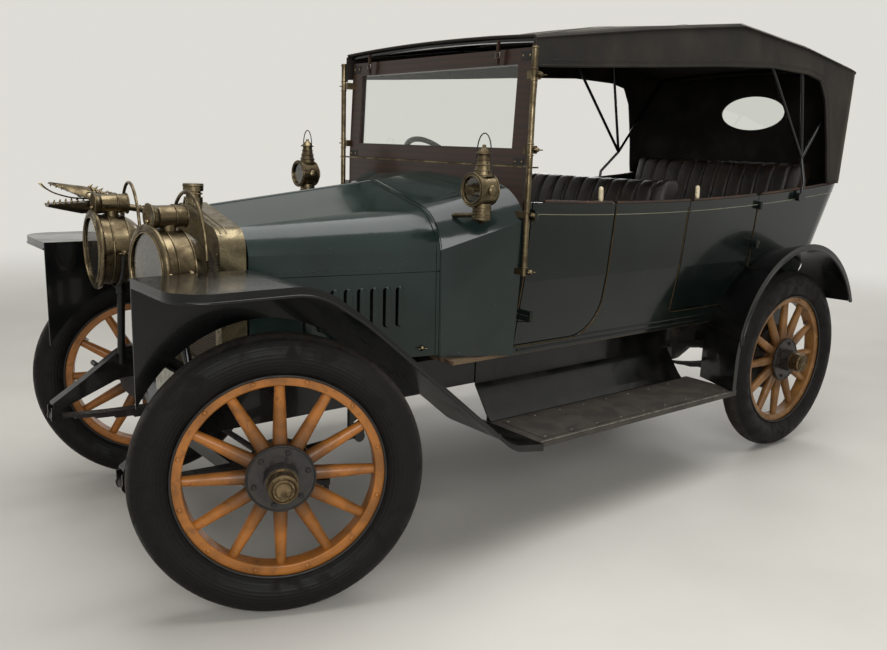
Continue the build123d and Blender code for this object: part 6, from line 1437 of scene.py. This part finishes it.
class CAR_OT_wheels(bpy.types.Operator):
    """Adds the bolts, cap rings, rim beads and valves of the four wheels"""

    bl_idname = "car.wheels"
    bl_label = "Wheel fittings"

    SPOKES = 12
    # Radii of the circles of flange bolts and felloe studs, and of the rim's edge
    BOLTS, STUDS, RIM = 0.083, 0.302, 0.317
    RIM_HALF = 0.036

    def execute(self, context):
        for place, turn in (("front", STEER), ("rear", 0.0)):
            for sign, hand in HANDS:
                self.fit(f"{place}_{hand}", turn, sign)
        return {"FINISHED"}

    def fit(self, name, turn, sign):
        """The fittings of one wheel, set on its packed hub and felloe."""
        centre = middle_of(f"tyre_{name}")
        out = Vector((-math.sin(turn), math.cos(turn), 0)) * sign
        fore = UP.cross(out)
        body = f"{name}_road_wheel"
        hub, felloe = surface_of(f"hub_{name}"), surface_of(f"wheel_{name}")

        def spot(radius, angle, height):
            """Place at a radius and an angle, a height out from the wheel's middle."""
            return centre + fore * (radius * math.cos(angle)) + UP * (radius * math.sin(angle)) + out * height

        def ring(radius, height, steps=64):
            """Circle about the axle."""
            return [spot(radius, 2 * math.pi * k / steps, height) for k in range(steps)]

        def face(tree, radius, angle):
            """Height of the outer face at a radius and an angle."""
            return (touch(tree, spot(radius, angle, 0.3), -out)[0] - centre).dot(out)

        step = 2 * math.pi / self.SPOKES
        turns = [k * step + step / 2 for k in range(self.SPOKES)]
        bolts = [(spot(self.BOLTS, a, face(hub, self.BOLTS, a)), out) for a in turns[::2]]
        fittings(f"flange_bolts_{name}", hex_bolt(0.0075, 0.007), bolts, "black_oxide_iron", body, smooth=False)
        studs = [(spot(self.STUDS, a, face(felloe, self.STUDS, a) - 0.0005), out) for a in turns]
        dome = turned_shape("felloe_stud", [(0.008, 0), (0.0075, 0.002), (0.005, 0.004), (0, 0.005)], 14)
        fittings(f"felloe_studs_{name}", dome, studs, f"spoke_enamel_{name}", body)
        cap = face(hub, 0.01, 0.3)
        cap_rings = [ring(0.037, cap), ring(0.024, cap + 0.0005)]
        rods(f"cap_rings_{name}", cap_rings, 0.0022, "cap_bronze", body, closed=True)
        flange = ring(0.101, face(hub, 0.1, 0.3))
        rods(f"flange_edge_{name}", [flange], 0.003, "black_oxide_iron", body, closed=True)
        rims = [ring(self.RIM, height, 120) for height in (self.RIM_HALF, -self.RIM_HALF)]
        rods(f"rim_beads_{name}", rims, 0.0045, "black_oxide_iron", body, closed=True)
        valve = [spot(0.322, 0.6, 0.0), spot(0.268, 0.6, 0.0)]
        rods(f"valve_{name}", [valve], 0.0045, "nickel_steel", body, sides=12)


# Lamps


def ring_path(radius, x, z=0.0, steps=56):
    """Circle about the forward axis of a lamp."""
    return [Vector((x, y, z + up)) for y, up in circle(radius, steps)]


def upright_ring(radius, height, x=0.0, steps=40):
    """Circle about an upright axis."""
    return [Vector((x + ahead, y, height)) for ahead, y in circle(radius, steps)]


def half_turn(steps):
    """Cosine and sine of equal steps over half a turn."""
    return [(math.cos(math.pi * k / steps), math.sin(math.pi * k / steps)) for k in range(steps + 1)]


def placed(paths, pose):
    """Paths moved from a lamp's own axes to their place on the car."""
    return [[pose @ p for p in path] for path in paths]


def knob(name, radius, height):
    """Small turned finial: a neck, a ball and a flat top."""
    shares = ((0.55, 0), (0.45, 0.25), (0.8, 0.4), (1, 0.65), (0.75, 0.9), (0, 1))
    return turned_shape(name, [(radius * out, height * up) for out, up in shares], 20)


def wing_nut():
    """Boss with two rounded ears."""
    boss = turned_shape("boss", [(0.011, 0), (0.011, 0.004), (0.008, 0.012), (0.006, 0.016), (0, 0.017)], 18)
    ears = []
    for sign, _ in HANDS:
        ear = turned_shape("ear", [(0, -0.009), (0.006, -0.0065), (0.009, 0), (0.006, 0.0065), (0, 0.009)], 16)
        ear.transform(Matrix.Translation((sign * 0.014, 0, 0.013)) @ Matrix.Diagonal((1, 0.3, 1, 1)))
        ears.append(ear)
    return joined("wing_nut", [boss, *ears])


class CAR_OT_headlamps(bpy.types.Operator):
    """Adds the rims, reflectors, burners, chimney hoods, bails and yokes of the headlamps"""

    bl_idname = "car.headlamps"
    bl_label = "Headlamps"

    # Place of the left lens, and how far the lamps turn out
    PLACE = (AXLE_X + 0.276, 0.272, 1.025)
    TURN_OUT = math.radians(4)
    # Radius and distance ahead of the lens
    RINGS = ((0.1195, 0.0005), (0.1265, -0.0175), (0.119, -0.106), (0.1225, -0.05))
    CHIMNEY_UP = 0.161
    FLARE = (
        (0.031, 0),
        (0.0345, 0),
        (0.036, 0.012),
        (0.041, 0.022),
        (0.042, 0.024),
        (0.0385, 0.024),
        (0.033, 0.012),
    )
    STEM = (
        (0.011, -0.075),
        (0.011, -0.06),
        (0.005, -0.055),
        (0.005, -0.02),
        (0.008, -0.016),
        (0.005, -0.012),
        (0, -0.01),
    )
    BURNER_BACK = -0.095
    YOKE_BACK = -0.075

    def execute(self, context):
        x, y, z = self.PLACE
        for side, hand in HANDS:
            pose = Matrix.Translation((x, side * y, z)) @ Matrix.Rotation(self.TURN_OUT * side, 4, "Z")
            self.case(hand, pose)
            self.inside(hand, pose)
            self.carrier(side, hand, pose)
        return {"FINISHED"}

    def case(self, hand, pose):
        """Turned rings of the case, and its chimney with a flared mouth."""
        rings = placed([ring_path(radius, ahead) for radius, ahead in self.RINGS], pose)
        rods(f"lamp_rings_{hand}", rings, 0.0034, "tarnished_brass", closed=True, slot="brass")
        rods(f"lens_bead_{hand}", placed([ring_path(0.114, 0.0008)], pose), 0.0026, "bright_brass", closed=True)
        chimney = placed([ring_path(0.0345, ahead, self.CHIMNEY_UP, 40) for ahead in (-0.126, -0.09)], pose)
        rods(f"chimney_rings_{hand}", chimney, 0.003, "tarnished_brass", closed=True)
        flare = turned_shape("flare", self.FLARE, 40)
        mouth = Matrix.Translation((-0.036, 0, self.CHIMNEY_UP)) @ Matrix.Rotation(math.pi / 2, 4, "Y")
        flare.transform(pose @ mouth)
        new_piece(f"chimney_hood_{hand}", flare, "car", "tarnished_brass")

    def inside(self, hand, pose):
        """Silvered bowl and a forked gas burner behind the glass."""
        rim, tip = math.radians(88), math.radians(5)
        bowl = []
        for k in range(17):
            angle = tip + (rim - tip) * (1 - k / 16)
            radius = 0.112 * math.sin(angle) / math.sin(rim)
            bowl.append((radius, -0.0505 - 0.13 * (math.cos(angle) - math.cos(rim))))
        end = bowl[-1][1] - 0.0005
        back = [(radius, x - 0.0007) for radius, x in reversed(bowl)]
        mesh = turned_shape("bowl", [*bowl, (0.0, end), (0.0, end - 0.0007), *back], 48)
        mesh.transform(pose @ Matrix.Rotation(math.pi / 2, 4, "Y"))
        new_piece(f"reflector_{hand}", mesh, "car", "silvered_reflector")
        stem = turned_shape("stem", self.STEM, 16)
        stem.transform(pose @ Matrix.Translation((self.BURNER_BACK, 0, 0)))
        new_piece(f"burner_{hand}", stem, "car", "bright_brass")
        arms = []
        for side, _ in HANDS:
            bends = ((0, -0.02), (side * 0.012, -0.012), (side * 0.015, 0.004))
            arms.append(smooth_path([Vector((self.BURNER_BACK, y, z)) for y, z in bends], 5))
        rods(f"burner_arms_{hand}", placed(arms, pose), 0.0032, "ivory_button")

    def carrier(self, side, hand, pose):
        """The bail over the lamp, its forked yoke with the nuts, and the catches of its rim."""
        arch = [Vector((-0.137, 0.122 * across, 0.035 + 0.2 * up)) for across, up in half_turn(28)]
        rods(f"lamp_bail_{hand}", placed([arch], pose), 0.0055, "tarnished_brass", sides=12)
        yoke = [Vector((self.YOKE_BACK, 0.133 * across, -0.133 * up)) for across, up in half_turn(28)]
        rods(f"lamp_yoke_{hand}", placed([yoke], pose), 0.0085, "black_oxide_iron", sides=12, flatness=0.7)
        turn = pose.to_3x3()
        nuts = [(pose @ Vector((self.YOKE_BACK, s * 0.139, 0.002)), turn @ Vector((0, s, 0))) for s, _ in HANDS]
        fittings(f"yoke_nuts_{hand}", wing_nut(), nuts, "tarnished_brass")
        catches = []
        for angle in (math.radians(90), math.radians(90 - 90 * side)):
            outwards = Vector((0, math.cos(angle), math.sin(angle)))
            catches.append((pose @ (outwards * 0.139 + AFT * 0.009), turn @ outwards))
        fittings(f"rim_catches_{hand}", knob("catch", 0.008, 0.014), catches, "bright_brass")


class CAR_OT_side_lamps(bpy.types.Operator):
    """Adds the rings, stepped caps, ribbed fonts, wire bails and side jewels of the side lamps"""

    bl_idname = "car.side_lamps"
    bl_label = "Side lamps"

    # Place of the left lens, and how far the lantern's upright axis stands behind it
    PLACE = (behind(0.775) + 0.048, 0.602, 1.28)
    LANTERN = -0.048
    # Radius and distance ahead of the lens
    RINGS = ((0.0565, 0.0), (0.0475, 0.0008), (0.0535, -0.0125), (0.0525, -0.078))
    # Radius and height of the ribs of the chimney, then of the font
    RIBS = (
        (0.0345, 0.0505),
        (0.031, 0.066),
        (0.027, 0.084),
        (0.0235, 0.102),
        (0.032, -0.062),
        (0.0325, -0.072),
        (0.0325, -0.082),
        (0.032, -0.092),
    )
    CAP = (
        (0.030, 0),
        (0.0305, 0.003),
        (0.02, 0.011),
        (0.0185, 0.016),
        (0.012, 0.02),
        (0.006, 0.026),
        (0.0075, 0.031),
        (0, 0.034),
    )
    FOOT = ((0.031, 0.006), (0.033, 0), (0.028, -0.006), (0.012, -0.011), (0.009, -0.018), (0, -0.02))
    JEWEL = ((0.018, 0), (0.018, 0.004), (0.0145, 0.0045), (0.012, 0.007), (0, 0.009))

    def execute(self, context):
        x, y, z = self.PLACE
        for side, hand in HANDS:
            pose = Matrix.Translation((x, side * y, z))
            rings = placed([ring_path(radius, ahead) for radius, ahead in self.RINGS], pose)
            rods(f"side_lamp_rings_{hand}", rings, 0.0026, "tarnished_brass", closed=True, slot="brass")
            ribs = placed([upright_ring(radius, up, self.LANTERN) for radius, up in self.RIBS], pose)
            rods(f"lantern_ribs_{hand}", ribs, 0.0022, "tarnished_brass", closed=True)
            self.turned(f"lantern_cap_{hand}", self.CAP, pose, 0.1195)
            bail = []
            for across, up in half_turn(32):
                out = 0.036 * across * (1 + 0.35 * up)
                bail.append(Vector((self.LANTERN, out, 0.055 + 0.135 * abs(up) ** 0.8)))
            rods(f"lantern_bail_{hand}", placed([bail], pose), 0.0022, "black_oxide_iron")
            self.turned(f"lantern_foot_{hand}", self.FOOT, pose, -0.1)
            facets = [(pose @ Vector((self.LANTERN, s * 0.0525, 0.0)), Vector((0, s, 0))) for s, _ in HANDS]
            fittings(f"side_jewels_{hand}", turned_shape("jewel", self.JEWEL, 24), facets, "tarnished_brass")
        return {"FINISHED"}

    def turned(self, name, profile, pose, up):
        """Turned piece on the lantern's upright axis."""
        mesh = turned_shape(name, profile, 28)
        mesh.transform(pose @ Matrix.Translation((self.LANTERN, 0, up)))
        new_piece(name, mesh, "car", "tarnished_brass")


# Windscreen, horn, radiator, bonnet and cabin


class CAR_OT_screen(bpy.types.Operator):
    """Adds the screen's wing nuts, pillar ferrules, corner plates with their screws, and foot strip"""

    bl_idname = "car.screen"
    bl_label = "Windscreen fittings"

    NUTS_UP = (1.42, 1.675, 1.19, 0.985)
    FERRULES_UP = (1.0, 1.2, 1.4, 1.44, 1.655, 1.695, 1.765)
    PLATES_UP = (1.375, 1.745)
    FOOT_STRIP_UP = 1.362
    PILLAR_OUT = 0.62
    PILLAR_RADIUS = 0.011

    def execute(self, context):
        pane, pillars = surface_of("windscreen_frame"), surface_of("screen_pillars")
        ahead = behind(0.5)
        screws, nuts, rings, plates = [], [], [], []
        for side, _ in HANDS:
            middles = [Vector((behind(1.0) + 0.012, side * 0.632, z)) for z in self.NUTS_UP]
            nuts += [(middle, Vector((0, side, 0))) for middle in middles]
            for z in self.FERRULES_UP:
                y = side * self.PILLAR_OUT
                middle = Vector((touch(pillars, (ahead, y, z), AFT)[0].x - self.PILLAR_RADIUS, y, z))
                rings.append([p + middle for p in upright_ring(0.0115, 0.0)])
            for z in self.PLATES_UP:
                spot = touch(pane, (ahead, side * 0.55, z), AFT)[0]
                plates.append(self.plate(spot + Vector((0.001, 0, 0))))
                screws += [(spot + Vector((0.0025, y, 0)), -AFT) for y in (-0.018, 0.018)]
        fittings("screen_wing_nuts", wing_nut(), nuts, "tarnished_brass", slot="brass")
        rods("pillar_ferrules", rings, 0.0024, "tarnished_brass", closed=True)
        slabs = joined("screen_corner_plates", plates)
        new_piece("screen_corner_plates", slabs, "car", "black_oxide_iron", smooth=False)
        screw = turned_shape("brass_screw", [(0.0045, 0), (0.004, 0.001), (0, 0.0016)], 12)
        fittings("screen_screws", screw, screws, "bright_brass")
        line = [(ahead, 0.54 - 1.08 * k / 30, self.FOOT_STRIP_UP) for k in range(31)]
        strip = [hit + Vector((0.002, 0, 0)) for hit, _ in touches(pane, line, AFT)]
        rods("screen_foot_strip", [strip], 0.0055, "tarnished_brass", flatness=0.5)
        return {"FINISHED"}

    def plate(self, middle):
        """Thin plate across the screen's corner, with its edges eased."""
        slab = bpy.data.meshes.new("corner_plate")
        shape = Matrix.Translation(middle) @ Matrix.Diagonal((0.003, 0.055, 0.03, 1))
        work = bmesh.new()
        bmesh.ops.create_cube(work, size=1.0, matrix=shape)
        bmesh.ops.bevel(work, geom=work.edges[:], offset=0.0008, segments=1, affect="EDGES")
        work.to_mesh(slab)
        work.free()
        return slab


class CAR_OT_horn(bpy.types.Operator):
    """Gives the serpent horn its eyes, scales, crest, teeth, nostrils and tongue, and the tube its collars"""

    bl_idname = "car.horn"
    bl_label = "Serpent horn"

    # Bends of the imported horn's tube, from the cowl to the back of the head
    ROUTE = ((0.7, -0.69, 1.15), (1.0, -0.6, 1.14), (1.33, -0.56, 1.118), (1.567, -0.552, 1.16))

    def execute(self, context):
        start = Vector(self.ROUTE[-1])
        ahead = (start - Vector(self.ROUTE[-2])).normalized()
        across = UP.cross(ahead).normalized()
        high = ahead.cross(across)
        skin = surface_of("horn")

        def spot(forward, side, up):
            """Place in the head's own axes."""
            return start + ahead * forward + across * side + high * up

        def on_top(forward, side):
            """Place on the head met from above, or 40 mm over its axis beside it."""
            hit = touch(skin, spot(forward, side, 0.2), -high)[0]
            return spot(forward, side, 0.04) if hit is None else hit

        eyes = [(touch(skin, spot(0.105, s * 0.2, 0.022), -across * s)[0], across * s) for s, _ in HANDS]
        socket = turned_shape("socket", [(0.015, -0.002), (0.0155, 0.002), (0.012, 0.004), (0.0095, 0.002)], 24)
        fittings("horn_eye_sockets", socket, eyes, "tarnished_brass")
        ball = turned_shape("eye", [(0.0095, -0.002), (0.0085, 0.003), (0.005, 0.006), (0, 0.007)], 20)
        fittings("horn_eyes", ball, eyes, "ivory_button")
        scales = []
        for row in range(6):
            for k in range(5):
                side = (k - 2) * 0.014 + (0.007 if row % 2 else 0)
                scales.append((on_top(0.005 + 0.016 * row, side), high * 0.9 - ahead * 0.7))
        scale = turned_shape("scale", [(0.008, -0.003), (0.0085, 0.001), (0.006, 0.005), (0, 0.0075)], 10)
        fittings("horn_scales", scale, scales, "tarnished_brass")
        crest = turned_shape("crest", [(0.006, -0.004), (0.005, 0.006), (0.0025, 0.016), (0, 0.022)], 10)
        spines = [(on_top(0.015 + 0.02 * k, 0.0), high - ahead * 0.9) for k in range(5)]
        fittings("horn_crest", crest, spines, "tarnished_brass")
        teeth = []
        for side, _ in HANDS:
            for k in range(6):
                forward = 0.12 + 0.02 * k
                # The jaws open from a hinge 70 mm ahead of the start, the lower one further
                upper = 0.014 + (forward - 0.07) * 0.16 + 0.004
                lower = 0.014 - (forward - 0.07) * 0.29 - 0.004
                teeth.append((spot(forward, side * 0.036, upper), -high))
                teeth.append((spot(forward, side * 0.036, lower), high))
        fang = turned_shape("fang", [(0.0045, 0), (0.0035, 0.006), (0, 0.013)], 8)
        fittings("horn_teeth", fang, teeth, "bright_brass")
        rim = [(0.006, -0.001), (0.0062, 0.002), (0.004, 0.0035), (0.0025, 0.001)]
        nostril = turned_shape("nostril", rim, 14)
        nostrils = [(on_top(0.222, s * 0.018), high) for s, _ in HANDS]
        fittings("horn_nostrils", nostril, nostrils, "tarnished_brass")
        middle = ((0.09, 0, 0.008), (0.15, 0, 0.002), (0.21, 0, 0.008), (0.245, 0, 0.02))
        tongue = [smooth_path([spot(*place) for place in middle], 6)]
        for s, _ in HANDS:
            fork = ((0.235, 0, 0.016), (0.255, s * 0.008, 0.026), (0.268, s * 0.014, 0.036))
            tongue.append(smooth_path([spot(*place) for place in fork], 5))
        rods("horn_tongue", tongue, 0.0028, "bright_brass")
        self.collars()
        return {"FINISHED"}

    def collars(self):
        """Three rings round the tube half way along each of its stretches."""
        rings = []
        for place, after in zip(self.ROUTE, self.ROUTE[1:]):
            axis = (Vector(after) - Vector(place)).normalized()
            middle = Vector(place).lerp(Vector(after), 0.5)
            aside = axis.cross(UP).normalized()
            top = aside.cross(axis)
            for shift in (-0.012, 0.0, 0.012):
                centre = middle + axis * shift
                rings.append([centre + (aside * out + top * up) * 0.0135 for out, up in circle(1.0, 28)])
        rods("horn_collars", rings, 0.0028, "tarnished_brass", closed=True)


class CAR_OT_radiator(bpy.types.Operator):
    """Adds the filler's rings and grip, and the tank beads and rivets of the radiator"""

    bl_idname = "car.radiator"
    bl_label = "Radiator fittings"

    def execute(self, context):
        low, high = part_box("radiator_cap")
        middle = (low + high) / 2
        reach = (high.x - low.x) / 2
        foot = Vector((middle.x, middle.y, 0))
        grip_up = high.z - 0.006
        shares = ((0.97, grip_up), (0.85, low.z + 0.012), (0.9, middle.z))
        rings = [[p + foot for p in upright_ring(reach * share, z)] for share, z in shares]
        rods("filler_rings", rings, 0.0028, "tarnished_brass", closed=True, slot="brass")
        ways = [Vector((ahead, out, 0)) for ahead, out in circle(1.0, 24)]
        grips = [(foot + way * (reach * 0.99) + UP * grip_up, way) for way in ways]
        grip = turned_shape("grip", [(0.0028, -0.001), (0.0026, 0.0012), (0.001, 0.002), (0, 0.0021)], 8)
        fittings("filler_grip", grip, grips, "tarnished_brass")
        shell = surface_of("radiator_shell")
        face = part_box("radiator_shell")[1].x
        tank = []
        for inset in (0.014, 0.034):
            line = [(face - inset, 0.285 * (k / 30 - 1), 1.5) for k in range(61)]
            tank.append([hit for hit, _ in touches(shell, line, DOWN)])
        rods("radiator_tank_beads", tank, 0.003, "radiator_brass", slot="brass")
        sides = [(face + 0.3, side * 0.284, 0.66 + 0.05 * k) for side, _ in HANDS for k in range(9)]
        rivet = turned_shape("rivet", [(0.005, 0), (0.0045, 0.0015), (0.0025, 0.0025), (0, 0.0028)], 12)
        fittings("radiator_rivets", rivet, touches(shell, sides, AFT), "radiator_brass")
        return {"FINISHED"}


class CAR_OT_bonnet(bpy.types.Operator):
    """Adds the catches of the bonnet's sides, the screws of its side hinges and its ridge hinge"""

    bl_idname = "car.bonnet"
    bl_label = "Bonnet fittings"

    CATCHES = (0.13, 0.66)
    SCREW_HEIGHT = 0.995
    KNUCKLE, KNUCKLE_RADIUS = 0.03, 0.0062

    def execute(self, context):
        for side, hand in HANDS:
            inwards = Vector((0, -side, 0))
            places = [(behind(distance), side, 0.7) for distance in self.CATCHES]
            catches = touches(surface_of(f"bonnet_side_{hand}"), places, inwards)
            flap, lid = f"bonnet_flap_{hand}", f"bonnet_lid_{hand}"
            fittings(f"bonnet_catches_{hand}", wing_nut(), catches, "tarnished_brass", flap)
            places = [(behind(0.07 + 0.62 * k / 13), side, self.SCREW_HEIGHT) for k in range(14)]
            screws = touches(surface_of(f"bonnet_top_{hand}"), places, inwards)
            screw = turned_shape("hinge_screw", [(0.0035, 0), (0.003, 0.001), (0, 0.0015)], 10)
            fittings(f"bonnet_hinge_screws_{hand}", screw, screws, "bonnet_green_enamel", lid)
        self.ridge_hinge()
        return {"FINISHED"}

    def ridge_hinge(self):
        """Knuckles of the long hinge on the bonnet's ridge, on the line about which both lids turn."""
        low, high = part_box("bonnet_top_left")
        hinge = next(row for row in frame["joints"] if row["name"] == "bonnet_left_hinge")
        foot = Vector(hinge["pos_m"])
        axis = Vector(hinge["axis"]).normalized()
        rear, front = (foot + axis * ((x - foot.x) / axis.x) for x in (low.x + 0.006, high.x - 0.006))
        count = round((front - rear).length / self.KNUCKLE)
        places = [(rear.lerp(front, (k + 0.5) / count), axis) for k in range(count)]
        half, radius = self.KNUCKLE / 2 - 0.0008, self.KNUCKLE_RADIUS
        knuckle = turned_shape("knuckle", [(0, -half), (radius, -half), (radius, half), (0, half)], 12)
        paint = {"finish_name": "bonnet_green_enamel", "slot": "bonnet_paint"}
        fittings("bonnet_ridge_hinge", knuckle, places, smooth=False, **paint)


class CAR_OT_cabin(bpy.types.Operator):
    """Adds the control levers on the steering wheel, with their quadrant, and the pedals"""

    bl_idname = "car.cabin"
    bl_label = "Cabin fittings"

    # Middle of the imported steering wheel, and the way that its column points
    WHEEL_MIDDLE = (0.16, -0.3, 1.3)
    COLUMN_AXIS = (-0.766, 0, 0.643)
    PEDALS = (-0.4, -0.3, -0.2)

    def execute(self, context):
        centre = Vector(self.WHEEL_MIDDLE)
        axis = Vector(self.COLUMN_AXIS).normalized()
        aside = Vector((0, 1, 0))
        up = axis.cross(aside)

        def spoke(angle):
            """Way across the column at an angle in degrees."""
            return aside * math.cos(math.radians(angle)) + up * math.sin(math.radians(angle))

        quadrant = [centre + axis * 0.03 + spoke(20 + 7 * k) * 0.06 for k in range(21)]
        levers = [[centre + axis * 0.032, centre + axis * 0.034 + spoke(angle) * 0.1] for angle in (60, 115)]
        rods("wheel_quadrant", [quadrant, *levers], 0.0035, "nickel_steel", sides=10)
        tips = [(lever[1], axis) for lever in levers]
        fittings("quadrant_knobs", knob("quadrant_knob", 0.009, 0.016), tips, "ivory_button")
        pedals, arms = [], []
        for y in self.PEDALS:
            foot = Vector((behind(1.0) + 0.1, y, 0.92))
            arms.append([Vector((behind(0.99) + 0.2, y, 0.78)), foot])
            pedals.append((foot, Vector((-0.8, 0, 0.6))))
        rods("pedal_arms", arms, 0.007, "black_oxide_iron")
        profile = [(0.03, 0), (0.032, 0.003), (0.03, 0.007), (0.012, 0.009), (0, 0.009)]
        pad = turned_shape("pedal_pad", profile, 24)
        fittings("pedal_pads", pad, pedals, "soft_rubber")
        return {"FINISHED"}


# Settings and panel


class CarSizes(bpy.types.PropertyGroup):
    """Sizes in millimetres that a user of the car would change"""

    bead: bpy.props.FloatProperty(
        name="Bead",
        description="Radius of the body's beads",
        default=4.0,
    )
    line_drop: bpy.props.FloatProperty(
        name="Coach line",
        description="Distance of the coach line below the belt",
        default=42.0,
    )
    pleat: bpy.props.FloatProperty(
        name="Pleats",
        description="Width of one seat pleat",
        default=85.0,
    )
    hood_sag: bpy.props.FloatProperty(
        name="Hood sag",
        description="How far the hood hangs between its bows",
        default=11.0,
    )


class CarPaints(bpy.types.PropertyGroup):
    """Colours that a user of the car would change, each as a hex colour"""

    body: bpy.props.StringProperty(
        name="Body",
        description="Enamel of the body and doors",
        default="#0c1311",
    )
    bonnet: bpy.props.StringProperty(
        name="Bonnet",
        description="Enamel of the bonnet and cowl",
        default="#16211f",
    )
    brass: bpy.props.StringProperty(
        name="Brass",
        description="Brass of lamps and horn",
        default="#786c54",
    )
    wheel_front: bpy.props.StringProperty(
        name="Front wheels",
        description="Paint of the front wheels",
        default="#a5672a",
    )
    # Darker than the front wheels' paint, as painted shade
    wheel_rear: bpy.props.StringProperty(
        name="Rear wheels",
        description="Paint of the rear wheels",
        default="#8a6236",
    )


class CAR_PT_panel(bpy.types.Panel):
    """Lists the dressing steps, the colours and the sizes"""

    bl_idname = "CAR_PT_panel"
    bl_label = "Brass era car"
    bl_space_type = "VIEW_3D"
    bl_region_type = "UI"
    bl_category = "Car"

    def draw(self, context):
        for group in (context.scene.car_paints, context.scene.car_sizes):
            for key in group.__annotations__:
                self.layout.prop(group, key)
        for step in STEPS:
            self.layout.operator(step.bl_idname)


STEPS = (
    CAR_OT_paint,
    CAR_OT_stage,
    CAR_OT_hood,
    CAR_OT_seats,
    CAR_OT_body_trim,
    CAR_OT_sheet_edges,
    CAR_OT_wheels,
    CAR_OT_headlamps,
    CAR_OT_side_lamps,
    CAR_OT_screen,
    CAR_OT_horn,
    CAR_OT_radiator,
    CAR_OT_bonnet,
    CAR_OT_cabin,
)
CLASSES = (CarPaints, CarSizes, *STEPS, CAR_PT_panel)


def register():
    for made in CLASSES:
        bpy.utils.register_class(made)
    bpy.types.Scene.car_paints = bpy.props.PointerProperty(type=CarPaints)
    bpy.types.Scene.car_sizes = bpy.props.PointerProperty(type=CarSizes)


def unregister():
    del bpy.types.Scene.car_sizes
    del bpy.types.Scene.car_paints
    for made in reversed(CLASSES):
        bpy.utils.unregister_class(made)


def main():
    register()
    for step in STEPS:
        group, name = step.bl_idname.split(".")
        getattr(getattr(bpy.ops, group), name)()


if __name__ == "__main__":
    main()
